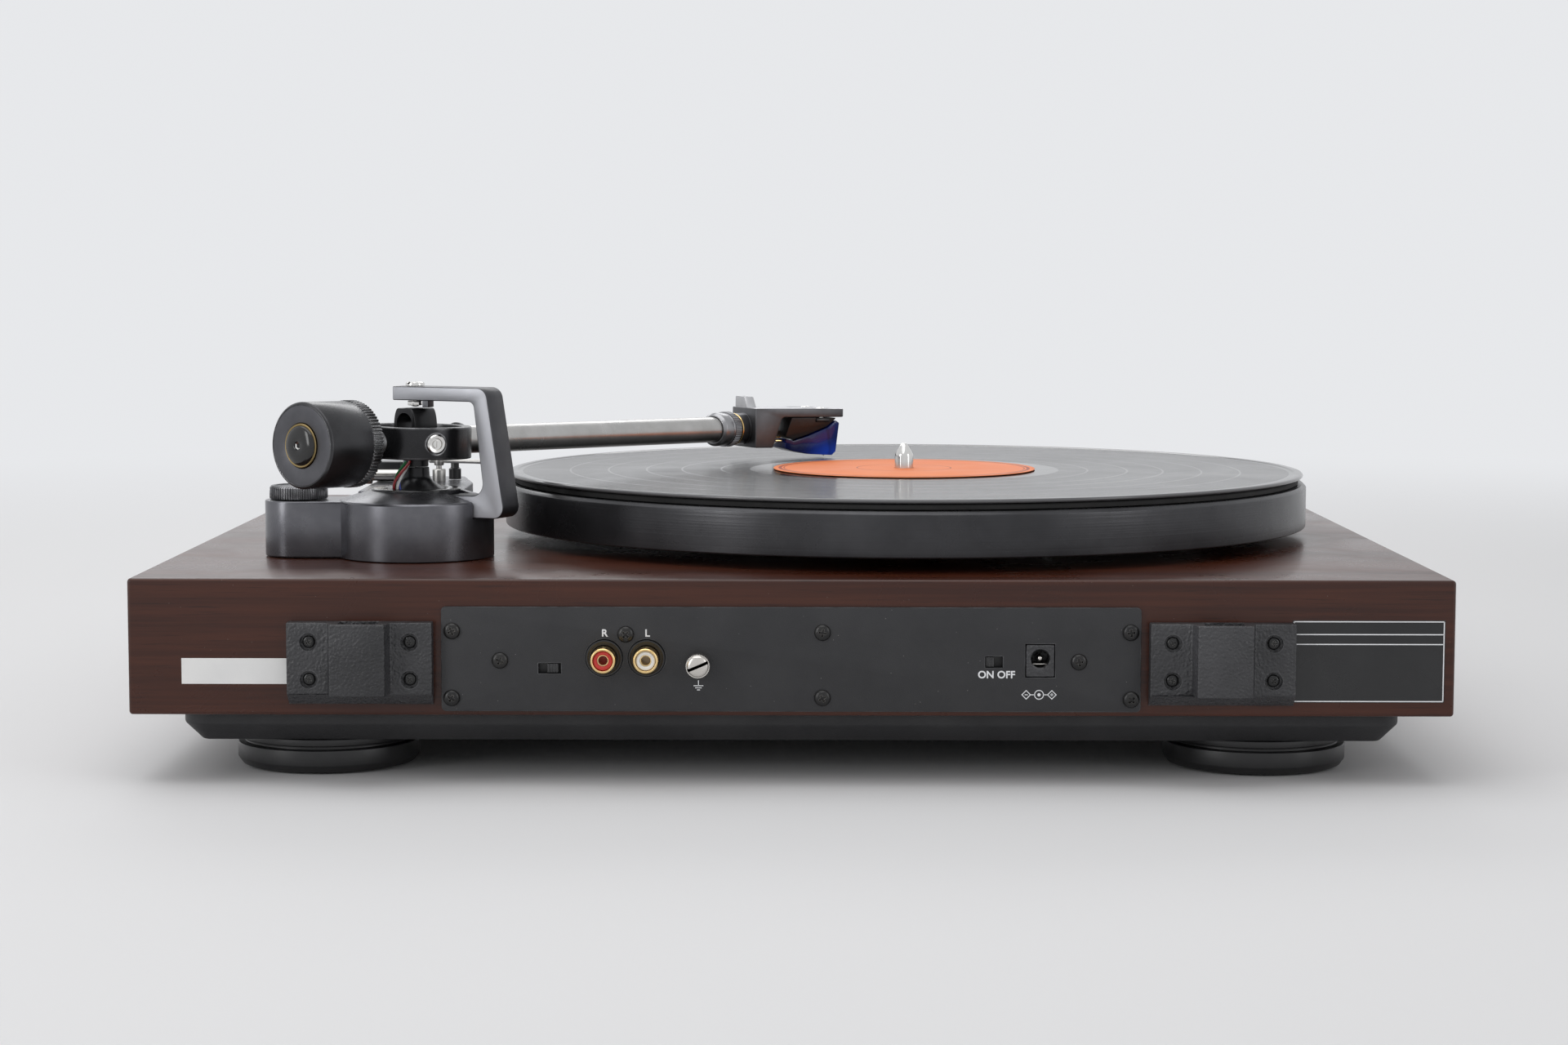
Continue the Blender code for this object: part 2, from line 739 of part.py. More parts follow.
def bore(piece, radius, depth, sides, at, turn=(0, 0, 0), parent=None):
    """A hole that starts at a point and goes the depth along the tool's own Z."""
    return cut(piece, tool(cylinder_mesh(radius, depth, sides), at, turn, parent))


# Directions that a shape drawn in XY and extruded along Z is turned to
UPRIGHT = (QUARTER, 0, 0)
FACING_REAR = (-QUARTER, 0, 0)
ALONG_X = (0, QUARTER, 0)
ACROSS_ARM = (QUARTER, 0, 0)
ALONG_ARM = (QUARTER, 0, QUARTER)


# Plinth, tray and feet


def make_plinth():
    size = (PLINTH_WIDTH, PLINTH_DEPTH, PLINTH_HEIGHT)
    centre = (0, MIDDLE, PLINTH_BOTTOM + PLINTH_HEIGHT / 2)
    plinth = add("plinth", box_mesh(size), VENEER, centre)
    soften(plinth, PLINTH_EDGE)
    hollow_height = PLINTH_HEIGHT - DECK_THICKNESS + OVERRUN
    hollow = (PLINTH_WIDTH - 2 * PLINTH_WALL, PLINTH_DEPTH - 2 * PLINTH_WALL, hollow_height)
    hollow_z = DECK - DECK_THICKNESS - hollow_height / 2
    cut(plinth, tool(box_mesh(hollow), (0, MIDDLE, hollow_z)))
    through = DECK_THICKNESS + 2 * OVERRUN
    under_deck = DECK - DECK_THICKNESS - OVERRUN
    bore(plinth, MOTOR_HOLE_RADIUS, through, SIDES_LARGE, (PLATTER_X, PLATTER_Y, under_deck))
    recess = MOTOR_PLATE_THICKNESS + 2 * GAP
    recess_at = (PLATTER_X, PLATTER_Y, DECK - recess)
    bore(plinth, MOTOR_PLATE_RADIUS + GAP, recess + OVERRUN, SIDES_LARGE, recess_at)
    bore(plinth, WIRE_HOLE_RADIUS, through, SIDES_MEDIUM, (PIVOT_X, PIVOT_Y, under_deck))
    bore(plinth, KNOB_STEM_RADIUS + GAP, through, SIDES_SMALL, (*knob_place(), under_deck))
    window = (REAR_WINDOW_WIDTH, PLINTH_WALL + 2 * OVERRUN, REAR_WINDOW_HEIGHT)
    cut(plinth, tool(box_mesh(window), (0, REAR - PLINTH_WALL / 2, DECK - REAR_WINDOW_DROP)))


def knob_place():
    return (-PLINTH_WIDTH / 2 + KNOB_INSET_X, FRONT + KNOB_INSET_Y)


def tray_shell_mesh():
    """A shallow box with round upright corners and a chamfer round its floor."""
    width = PLINTH_WIDTH - 2 * TRAY_INSET
    depth = PLINTH_DEPTH - 2 * TRAY_INSET
    height = TRAY_HEIGHT - GAP
    bm = bmesh.new()
    bmesh.ops.create_cube(bm, size=1)
    bmesh.ops.scale(bm, vec=(width, depth, height), verts=bm.verts)
    upright = [edge for edge in bm.edges if edge.verts[0].co.z * edge.verts[1].co.z < 0]
    bmesh.ops.bevel(
        bm, geom=upright, offset=TRAY_CORNER, segments=FILLET_STEPS, profile=0.5, affect="EDGES"
    )
    floor = [edge for edge in bm.edges if max(vert.co.z for vert in edge.verts) < 0]
    bmesh.ops.bevel(
        bm, geom=floor, offset=TRAY_CHAMFER, segments=1, profile=0.5, affect="EDGES"
    )
    return to_mesh(bm)


def board_post_places():
    across = BOARD_WIDTH / 2 - POST_INSET
    near = REAR - POST_SETBACK
    far = REAR - BOARD_SETBACK - BOARD_LENGTH + POST_INSET
    return [(x, y) for x in (-across, across) for y in (near, far)]


def make_tray():
    height = TRAY_HEIGHT - GAP
    tray = add("bottom_tray", tray_shell_mesh(), TRAY_PLASTIC, (0, MIDDLE, TRAY_BOTTOM + height / 2))
    inside = TRAY_INSET + TRAY_CHAMFER + TRAY_WALL
    hollow = (PLINTH_WIDTH - 2 * inside, PLINTH_DEPTH - 2 * inside, height)
    cut(tray, tool(box_mesh(hollow), (0, MIDDLE, TRAY_BOTTOM + TRAY_WALL + height / 2)))
    post_top = BOARD_TOP - BOARD_THICKNESS - GAP
    post_foot = TRAY_BOTTOM + TRAY_WALL / 2
    post = cylinder_mesh(POST_RADIUS, post_top - post_foot, SIDES_TINY, post_foot)
    join(tray, tool(group_mesh([(post, (x, y, 0), 0) for x, y in board_post_places()])))


def foot_profile():
    top = FOOT_HEIGHT - GAP
    groove_top = top - FOOT_NECK
    groove_bottom = groove_top - FOOT_GROOVE
    recess_radius = PAD_RADIUS + GAP
    recess_top = PAD_THICKNESS + GAP
    return [
        (0, top),
        (FOOT_TOP_RADIUS, top),
        (FOOT_TOP_RADIUS, groove_top),
        (FOOT_TOP_RADIUS - FOOT_GROOVE, groove_top),
        (FOOT_TOP_RADIUS - FOOT_GROOVE, groove_bottom),
        (FOOT_RADIUS, groove_bottom),
        (FOOT_RADIUS, FOOT_LIP),
        (FOOT_RADIUS - FOOT_LIP / 2, FOOT_BASE_LIFT),
        (recess_radius, FOOT_BASE_LIFT),
        (recess_radius, recess_top),
        (0, recess_top),
    ]


def make_feet():
    across = PLINTH_WIDTH / 2 - FOOT_INSET_X
    for side, x in (("left", -across), ("right", across)):
        for end, y in (("front", FRONT + FOOT_INSET_Y), ("rear", REAR - FOOT_INSET_Y)):
            turned(f"foot_{end}_{side}", foot_profile(), FOOT_PLASTIC, SIDES_MEDIUM, (x, y, 0))
            pad = cylinder_mesh(PAD_RADIUS, PAD_THICKNESS, SIDES_MEDIUM)
            add(f"foot_pad_{end}_{side}", pad, PAD_RUBBER, (x, y, 0))


# Circuit board


def make_board():
    board_y = REAR - BOARD_SETBACK - BOARD_LENGTH / 2
    board_z = BOARD_TOP - BOARD_THICKNESS / 2
    size = (BOARD_WIDTH, BOARD_LENGTH, BOARD_THICKNESS)
    board = add("main_board", box_mesh(size), BOARD_GREEN, (0, board_y, board_z))
    sunk = BOARD_THICKNESS / 2
    can = cylinder_mesh(CAPACITOR_RADIUS, CAPACITOR_HEIGHT + sunk, SIDES_TINY, -sunk)
    chip = box_mesh((CHIP_SIZE, CHIP_SIZE, CHIP_HEIGHT + sunk), (0, 0, (CHIP_HEIGHT - sunk) / 2))
    inner = board_y - BOARD_LENGTH / 4
    places = [(can, (CAPACITOR_SPACING * step, inner, BOARD_TOP), 0) for step in (-1, 0, 1)]
    places += [(chip, (side * BOARD_WIDTH / 4, inner, BOARD_TOP), 0) for side in (-1, 1)]
    join(board, tool(group_mesh(places)))


# Rear panel and what is on it


def make_panel():
    half_width = PANEL_WIDTH / 2
    half_height = PANEL_HEIGHT / 2
    corners = [
        (-half_width, -half_height, PANEL_CORNER),
        (half_width, -half_height, PANEL_CORNER),
        (half_width, half_height, PANEL_CORNER),
        (-half_width, half_height, PANEL_CORNER),
    ]
    at = (0, PANEL_INNER + PANEL_THICKNESS / 2, DECK - PANEL_DROP)
    panel = add("rear_panel", plate_mesh(rounded(corners), PANEL_THICKNESS), PANEL_PAINT, at, UPRIGHT)
    through = PANEL_THICKNESS + 2 * OVERRUN
    behind = PANEL_INNER - OVERRUN
    for x in rca_places():
        hole_at = (x, behind, DECK - RCA_DROP)
        bore(panel, RCA_BOSS_RADIUS + GAP, through, SIDES_SMALL, hole_at, FACING_REAR)
    ground_at = (GROUND_CENTRE, behind, DECK - GROUND_DROP)
    bore(panel, GROUND_HOLE_RADIUS, through, SIDES_SMALL, ground_at, FACING_REAR)
    windows = (
        (PHONO_SWITCH_CENTRE, PHONO_SWITCH_DROP, PHONO_WINDOW_WIDTH, PHONO_WINDOW_HEIGHT),
        (STOP_SWITCH_CENTRE, STOP_SWITCH_DROP, STOP_WINDOW_WIDTH, STOP_WINDOW_HEIGHT),
        (DC_CENTRE, DC_DROP, DC_WIDTH + 2 * GAP, DC_HEIGHT + 2 * GAP),
    )
    for x, drop, width, height in windows:
        cut(panel, tool(box_mesh((width, through, height)), (x, PANEL_INNER, DECK - drop)))


def rca_places():
    return (RCA_CENTRE + RCA_PITCH / 2, RCA_CENTRE - RCA_PITCH / 2)


def make_rca_sockets():
    top_drop = RCA_DROP - RCA_BLOCK_HEIGHT / 2
    jacks = body_on_board(
        "rca_jack_block", RCA_CENTRE, top_drop, RCA_BLOCK_WIDTH, REAR, RCA_BLOCK_LENGTH
    )
    face = PANEL_OUTER + RCA_BOSS_PROUD
    boss_start = REAR - RCA_BLOCK_LENGTH / 2
    seat = face - RCA_SEAT_DEPTH
    barrel_end = face + RCA_BARREL_PROUD
    for side, x, look in zip(("right", "left"), rca_places(), (RED_PLASTIC, WHITE_PLASTIC)):
        z = DECK - RCA_DROP
        boss = cylinder_mesh(RCA_BOSS_RADIUS, face - boss_start, SIDES_SMALL)
        join(jacks, tool(boss, (x, boss_start, z), FACING_REAR))
        bore(jacks, RCA_BARREL_RADIUS + GAP, RCA_SEAT_DEPTH + OVERRUN, SIDES_SMALL, (x, seat, z), FACING_REAR)
        barrel_length = barrel_end - seat - GAP
        inner = RCA_BARREL_RADIUS - RCA_BARREL_WALL
        ring = [
            (RCA_BARREL_RADIUS - EDGE, barrel_length),
            (RCA_BARREL_RADIUS, barrel_length - EDGE),
            (RCA_BARREL_RADIUS, 0),
            (inner, 0),
            (inner, barrel_length),
        ]
        turned(f"rca_barrel_{side}", ring, GOLD, SIDES_SMALL, (x, seat + GAP, z), FACING_REAR, closed=True)
        core = inner - GAP
        core_length = barrel_length - RCA_INSERT_RECESS
        socket_floor = core_length - RCA_PIN_HOLE_DEPTH
        insert = [
            (0, socket_floor),
            (RCA_PIN_HOLE_RADIUS, socket_floor),
            (RCA_PIN_HOLE_RADIUS, core_length),
            (core, core_length),
            (core, 0),
            (0, 0),
        ]
        turned(f"rca_insert_{side}", insert, look, SIDES_SMALL, (x, seat + GAP, z), FACING_REAR)


def body_on_board(name, centre, top_drop, width, front, length):
    """A connector's housing that stands on the board, behind the panel."""
    bottom = BOARD_TOP + GAP
    top = DECK - top_drop
    size = (width, length, top - bottom)
    at = (centre, front - length / 2, (top + bottom) / 2)
    return add(name, box_mesh(size), BLACK_PLASTIC, at)


def make_dc_socket():
    nose_top = DC_DROP - DC_HEIGHT / 2
    jack = body_on_board("dc_jack", DC_CENTRE, nose_top, DC_WIDTH, REAR, DC_LENGTH)
    face = PANEL_OUTER + DC_PROUD
    z = DECK - DC_DROP
    nose_length = face - REAR + OVERRUN
    nose = box_mesh((DC_WIDTH, nose_length, DC_HEIGHT))
    join(jack, tool(nose, (DC_CENTRE, face - nose_length / 2, z)))
    hole_at = (DC_CENTRE, face - DC_HOLE_DEPTH, z + DC_HOLE_RISE)
    bore(jack, DC_HOLE_RADIUS, DC_HOLE_DEPTH + OVERRUN, SIDES_SMALL, hole_at, FACING_REAR)
    pin = cylinder_mesh(DC_PIN_RADIUS, DC_HOLE_DEPTH - DC_PIN_RECESS + EDGE, SIDES_TINY, -EDGE)
    join(jack, tool(pin, hole_at, FACING_REAR))


def slider_mesh(width, height, length):
    """A slider's thumb with three upright ribs on its face, which looks along +Y."""
    rib = width / 7
    half_height = height / 2
    low = length - SLIDER_RIB
    outline = [(-width / 2, 0), (-width / 2, length)]
    for index in (-1, 1):
        edge = index * rib
        outline += [(edge - rib / 2, length), (edge - rib / 2, low)]
        outline += [(edge + rib / 2, low), (edge + rib / 2, length)]
    outline += [(width / 2, length), (width / 2, 0)]
    return plate_mesh(outline, 2 * half_height)


def make_switch(name, centre, drop, window, slider_width, slider_offset, slider_name):
    """A slide switch behind its window, with the slider in a slot of its housing."""
    width, height = window
    top_drop = drop - height / 2 - SWITCH_SIDE
    body = body_on_board(name, centre, top_drop, width + 2 * SWITCH_SIDE, REAR, SWITCH_DEPTH)
    slot_depth = SLIDER_DEPTH + GAP
    slot = box_mesh((width, slot_depth + OVERRUN, height))
    cut(body, tool(slot, (centre, REAR - slot_depth + (slot_depth + OVERRUN) / 2, DECK - drop)))
    length = PANEL_OUTER - SLIDER_PROUD - (REAR - SLIDER_DEPTH)
    thumb = slider_mesh(slider_width, height - 2 * GAP, length)
    at = (centre + slider_offset, REAR - SLIDER_DEPTH, DECK - drop)
    add(slider_name, thumb, BLACK_PLASTIC, at)


def make_switches():
    phono_window = (PHONO_WINDOW_WIDTH, PHONO_WINDOW_HEIGHT)
    make_switch(
        "phono_line_switch", PHONO_SWITCH_CENTRE, PHONO_SWITCH_DROP, phono_window,
        PHONO_SLIDER_WIDTH, PHONO_SLIDER_OFFSET, "phono_line_slider",
    )
    stop_window = (STOP_WINDOW_WIDTH, STOP_WINDOW_HEIGHT)
    make_switch(
        "auto_stop_switch", STOP_SWITCH_CENTRE, STOP_SWITCH_DROP, stop_window,
        STOP_SLIDER_WIDTH, STOP_SLIDER_OFFSET, "auto_stop_slider",
    )


def make_ground_terminal():
    z = DECK - GROUND_DROP
    block_top = GROUND_DROP - GROUND_BLOCK / 2
    post = body_on_board("ground_post", GROUND_CENTRE, block_top, GROUND_BLOCK, REAR, GROUND_BLOCK)
    start = PANEL_OUTER + GAP + WASHER_THICKNESS + GAP
    stud_start = REAR - GROUND_BLOCK / 2
    stud_end = start + THUMB_LENGTH - THUMB_SLOT_DEPTH - GAP
    stud = cylinder_mesh(GROUND_STUD_RADIUS, stud_end - stud_start, SIDES_TINY)
    join(post, tool(stud, (GROUND_CENTRE, stud_start, z), FACING_REAR))
    clear = GROUND_STUD_RADIUS + GAP
    washer_at = (GROUND_CENTRE, PANEL_OUTER + GAP, z)
    washer = [
        (WASHER_RADIUS, WASHER_THICKNESS),
        (WASHER_RADIUS, 0),
        (clear, 0),
        (clear, WASHER_THICKNESS),
    ]
    turned("ground_washer", washer, NICKEL, SIDES_SMALL, washer_at, FACING_REAR, closed=True)
    outline = knurled_outline(THUMB_RADIUS, THUMB_RIDGES, THUMB_RIDGE)
    nut_at = (GROUND_CENTRE, start + THUMB_LENGTH / 2, z)
    nut = add("ground_thumbscrew", plate_mesh(outline, THUMB_LENGTH), NICKEL, nut_at, FACING_REAR)
    through = THUMB_LENGTH + 2 * OVERRUN
    thread = GROUND_STUD_RADIUS + GROUND_THREAD_DEPTH
    bore(nut, thread, through, SIDES_TINY, (GROUND_CENTRE, start - OVERRUN, z), FACING_REAR)
    slot = box_mesh((THUMB_SLOT_WIDTH, 2 * THUMB_SLOT_DEPTH, 2 * THUMB_RADIUS + OVERRUN))
    cut(nut, tool(slot, (GROUND_CENTRE, start + THUMB_LENGTH, z), (0, math.radians(25), 0)))


# Hinge brackets for a dust cover


def bracket_plan():
    """The bracket seen from above: flanges, ramps and the raised block. Y is the depth from the wood."""
    half = BRACKET_WIDTH / 2
    block = BRACKET_BLOCK / 2
    foot = block + BRACKET_RAMP
    return rounded(
        [
            (-half, 0, 0),
            (half, 0, 0),
            (half, BRACKET_FLANGE, EDGE),
            (foot, BRACKET_FLANGE, 0),
            (block, BRACKET_DEPTH - GAP, EDGE),
            (-block, BRACKET_DEPTH - GAP, EDGE),
            (-foot, BRACKET_FLANGE, 0),
            (-half, BRACKET_FLANGE, EDGE),
        ],
        2,
    )


def make_brackets():
    z = DECK - BRACKET_DROP
    for side, x in (("left", -BRACKET_CENTRE), ("right", BRACKET_CENTRE)):
        body = plate_mesh(bracket_plan(), BRACKET_HEIGHT)
        bracket = add(f"hinge_bracket_{side}", body, BRACKET_PLASTIC, (x, REAR + GAP, z))
        under = [
            (OVERRUN - BRACKET_DEPTH, -BRACKET_HEIGHT / 2 - OVERRUN),
            (BRACKET_DEPTH + OVERRUN, -BRACKET_HEIGHT / 2 - OVERRUN),
            (BRACKET_DEPTH + OVERRUN, -BRACKET_HEIGHT / 2 + BRACKET_BEVEL),
            (BRACKET_FLANGE, -BRACKET_HEIGHT / 2 + BRACKET_BEVEL),
            (GAP, -BRACKET_HEIGHT / 2),
            (OVERRUN - BRACKET_DEPTH, -BRACKET_HEIGHT / 2),
        ]
        wedge = plate_mesh(under, BRACKET_WIDTH + 2 * OVERRUN)
        cut(bracket, tool(wedge, (x, REAR + GAP, z), (QUARTER, 0, QUARTER)))
        socket_centre = REAR + BRACKET_DEPTH - SOCKET_WALL - SOCKET_DEPTH / 2
        socket = box_mesh((SOCKET_WIDTH, SOCKET_DEPTH, SOCKET_LENGTH + OVERRUN))
        socket_z = z + BRACKET_HEIGHT / 2 - SOCKET_LENGTH + (SOCKET_LENGTH + OVERRUN) / 2
        cut(bracket, tool(socket, (x, socket_centre, socket_z)))


# Motor


def make_motor_base():
    top = -GAP
    bottom = top - MOTOR_PLATE_THICKNESS
    housing_bottom = bottom - HOUSING_DEPTH
    bush_seat = BUSH_RADIUS + GAP
    flange_seat = HOUSING_RISE - BUSH_FLANGE - GAP
    profile = [
        (0, housing_bottom + HOUSING_FLOOR),
        (bush_seat, housing_bottom + HOUSING_FLOOR),
        (bush_seat, flange_seat),
        (HOUSING_RADIUS, flange_seat),
        (HOUSING_RADIUS, top),
        (MOTOR_PLATE_RADIUS, top),
        (MOTOR_PLATE_RADIUS, bottom),
        (HOUSING_RADIUS + FOOT_GROOVE, bottom),
        (HOUSING_RADIUS, bottom - FOOT_GROOVE),
        (HOUSING_RADIUS, housing_bottom),
        (0, housing_bottom),
    ]
    turned("motor_base", profile, STEEL, SIDES_LARGE, (PLATTER_X, PLATTER_Y, DECK))


def make_bearing_bush():
    bottom = -GAP - MOTOR_PLATE_THICKNESS - HOUSING_DEPTH + HOUSING_FLOOR + GAP
    inner = SPINDLE_RADIUS + GAP
    flange_bottom = HOUSING_RISE - BUSH_FLANGE
    profile = [
        (BUSH_FLANGE_RADIUS, HOUSING_RISE),
        (BUSH_FLANGE_RADIUS, flange_bottom),
        (BUSH_RADIUS, flange_bottom),
        (BUSH_RADIUS, bottom),
        (inner, bottom),
        (inner, HOUSING_RISE),
    ]
    at = (PLATTER_X, PLATTER_Y, DECK)
    turned("bearing_bush", profile, BRONZE, SIDES_SMALL, at, closed=True)


def stator_outline():
    """The iron core seen from above: a ring with T-shaped poles."""
    neck = STATOR_NECK_WIDTH / 2
    shoe = STATOR_SHOE_WIDTH / 2
    shoe_root = STATOR_RADIUS - 2 * COIL_OVERHANG
    tip = math.sqrt(STATOR_RADIUS**2 - shoe**2)
    pole = [
        (STATOR_CORE_RADIUS, -neck),
        (shoe_root, -neck),
        (tip, -shoe),
        (STATOR_RADIUS, 0),
        (tip, shoe),
        (shoe_root, neck),
        (STATOR_CORE_RADIUS, neck),
    ]
    outline = []
    for index in range(STATOR_POLES):
        angle = 2 * math.pi * index / STATOR_POLES
        for x, y in pole:
            outline.append(
                (x * math.cos(angle) - y * math.sin(angle), x * math.sin(angle) + y * math.cos(angle))
            )
    return outline


def make_stator():
    at = (PLATTER_X, PLATTER_Y, DECK + STATOR_LIFT + STATOR_THICKNESS / 2)
    core = add("motor_stator", plate_mesh(stator_outline(), STATOR_THICKNESS), COPPER, at)
    coil_start = STATOR_CORE_RADIUS + COIL_MARGIN
    coil_end = STATOR_RADIUS - 2 * COIL_OVERHANG - COIL_MARGIN
    coil_width = STATOR_NECK_WIDTH + 2 * COIL_OVERHANG
    coil_height = STATOR_THICKNESS + 2 * COIL_OVERHANG
    coil = box_mesh((coil_end - coil_start, coil_width, coil_height))
    middle = ((coil_start + coil_end) / 2, 0, 0)
    turns = [2 * math.pi * index / STATOR_POLES for index in range(STATOR_POLES)]
    join(core, tool(group_mesh([(coil, middle, turn) for turn in turns]), at))
    foot_height = STATOR_LIFT + STATOR_THICKNESS / 2
    foot = cylinder_mesh(STATOR_CORE_RADIUS - COIL_MARGIN, foot_height, SIDES_MEDIUM, -foot_height)
    join(core, tool(foot, at))
    bore_depth = STATOR_LIFT + STATOR_THICKNESS + 2 * OVERRUN
    bore_at = (PLATTER_X, PLATTER_Y, DECK - OVERRUN)
    bore(core, STATOR_BORE_RADIUS, bore_depth, SIDES_MEDIUM, bore_at)


# Platter, spindle, mat and record


def platter_profile():
    under_web = PLATTER_TOP - PLATTER_WEB
    hub_bottom = under_web - PLATTER_HUB_DROP
    hole = SPINDLE_RADIUS + GAP
    return [
        (PLATTER_RADIUS - PLATTER_CHAMFER, PLATTER_TOP),
        (PLATTER_RADIUS, PLATTER_TOP - PLATTER_CHAMFER),
        (PLATTER_RADIUS, PLATTER_UNDER + EDGE),
        (PLATTER_RADIUS - EDGE, PLATTER_UNDER),
        (PLATTER_RADIUS - PLATTER_RIM, PLATTER_UNDER),
        (PLATTER_RADIUS - PLATTER_RIM - PLATTER_CHAMFER, under_web),
        (PLATTER_HUB_RADIUS, under_web),
        (PLATTER_HUB_RADIUS, hub_bottom),
        (hole, hub_bottom),
        (hole, PLATTER_TOP),
    ]


def make_platter(axis):
    platter = turned("platter", platter_profile(), BLACK_ANODISED, SIDES_DISC, parent=axis, closed=True)
    under_web = PLATTER_TOP - PLATTER_WEB
    rib_start = MAGNET_RADIUS + RIB_WIDTH
    rib_end = PLATTER_RADIUS - PLATTER_RIM / 2
    rib_height = RIB_HEIGHT + PLATTER_WEB / 2
    rib = box_mesh((rib_end - rib_start, RIB_WIDTH, rib_height))
    middle = ((rib_start + rib_end) / 2, 0, under_web - RIB_HEIGHT + rib_height / 2)
    turns = [2 * math.pi * index / PLATTER_RIBS for index in range(PLATTER_RIBS)]
    join(platter, tool(group_mesh([(rib, middle, turn) for turn in turns]), parent=axis))
    magnet_top = under_web - GAP
    magnet = [
        (MAGNET_RADIUS, magnet_top),
        (MAGNET_RADIUS, magnet_top - MAGNET_HEIGHT),
        (MAGNET_RADIUS - MAGNET_WALL, magnet_top - MAGNET_HEIGHT),
        (MAGNET_RADIUS - MAGNET_WALL, magnet_top),
    ]
    turned("rotor_magnet", magnet, MAGNET_GREY, SIDES_LARGE, parent=axis, closed=True)


def make_spindle(axis):
    bottom = -GAP - MOTOR_PLATE_THICKNESS - HOUSING_DEPTH + HOUSING_FLOOR + GAP
    profile = [
        (0, SPINDLE_TOP),
        (SPINDLE_TIP_RADIUS, SPINDLE_TOP - SPINDLE_TIP_ROUND / 2),
        (SPINDLE_TIP_RADIUS + SPINDLE_TIP_ROUND, SPINDLE_TOP - 2 * SPINDLE_TIP_ROUND),
        (SPINDLE_RADIUS, SPINDLE_SHOULDER),
        (SPINDLE_RADIUS, bottom + SPINDLE_EDGE),
        (SPINDLE_RADIUS - SPINDLE_EDGE, bottom),
        (0, bottom),
    ]
    turned("spindle", profile, POLISHED_STEEL, SIDES_SMALL, parent=axis)


def make_record(axis):
    hole = SPINDLE_RADIUS + GAP
    mat_bottom = PLATTER_TOP + GAP
    mat = [
        (MAT_RADIUS - EDGE, mat_bottom + MAT_THICKNESS),
        (MAT_RADIUS, mat_bottom + MAT_THICKNESS - EDGE),
        (MAT_RADIUS, mat_bottom),
        (hole, mat_bottom),
        (hole, mat_bottom + MAT_THICKNESS),
    ]
    turned("platter_mat", mat, MAT_RUBBER, SIDES_DISC, parent=axis, closed=True)
    bottom = RECORD_BOTTOM - DECK
    groove = bottom + RECORD_GROOVE_THICKNESS
    rim = bottom + RECORD_RIM_THICKNESS
    rim_start = RECORD_RADIUS - RECORD_RIM_WIDTH
    vinyl = [
        (rim_start, groove),
        (rim_start + RECORD_RIM_FALL, rim),
        (RECORD_RADIUS - EDGE, rim),
        (RECORD_RADIUS, (rim + bottom) / 2),
        (RECORD_RADIUS - EDGE, bottom),
        (hole, bottom),
        (hole, groove),
        (RECORD_LAND_RADIUS, groove),
    ]
    turned("record", vinyl, VINYL, SIDES_DISC, parent=axis, closed=True)
    label_bottom = groove + GAP
    label = [
        (LABEL_RADIUS, label_bottom + LABEL_THICKNESS),
        (LABEL_RADIUS, label_bottom),
        (hole, label_bottom),
        (hole, label_bottom + LABEL_THICKNESS),
    ]
    turned("record_label", label, LABEL_PAPER, SIDES_LARGE, parent=axis, closed=True)


# Tonearm base, pillar, yoke and upper pivot


def dial_place():
    return (PIVOT_X + DIAL_BLOCK_REACH, PIVOT_Y - DIAL_BLOCK_SHIFT)


def dial_block_outline():
    """A straight-sided block with a round end under the dial, drawn from the pivot."""
    radius = DIAL_BLOCK_RADIUS
    outline = [(0, -radius - DIAL_BLOCK_SHIFT)]
    steps = SIDES_SMALL
    for step in range(steps + 1):
        angle = -QUARTER + HALF * step / steps
        outline.append(
            (DIAL_BLOCK_REACH + radius * math.cos(angle), radius * math.sin(angle) - DIAL_BLOCK_SHIFT)
        )
    outline.append((0, radius - DIAL_BLOCK_SHIFT))
    return outline


def wing_outline():
    """The shelf in front of the tower that carries the lift and the arm rest."""
    return rounded(
        [
            (-WING_LEFT, 0, 0),
            (-WING_LEFT, -WING_STRAIGHT, WING_CORNER),
            (-WING_TIP_LEFT, -WING_LENGTH, WING_CORNER),
            (WING_RIGHT, -WING_LENGTH, WING_CORNER),
            (WING_RIGHT, 0, 0),
        ]
    )


def yoke_slot(height, bottom):
    """Room for the yoke's foot, cut into the tower."""
    length = TOWER_RADIUS + OVERRUN - YOKE_FOOT_BEHIND + GAP
    centre = (YOKE_FOOT_BEHIND - GAP + length / 2, 0, bottom + height / 2)
    return box_mesh((length, YOKE_THICKNESS + 2 * GAP, height), centre)


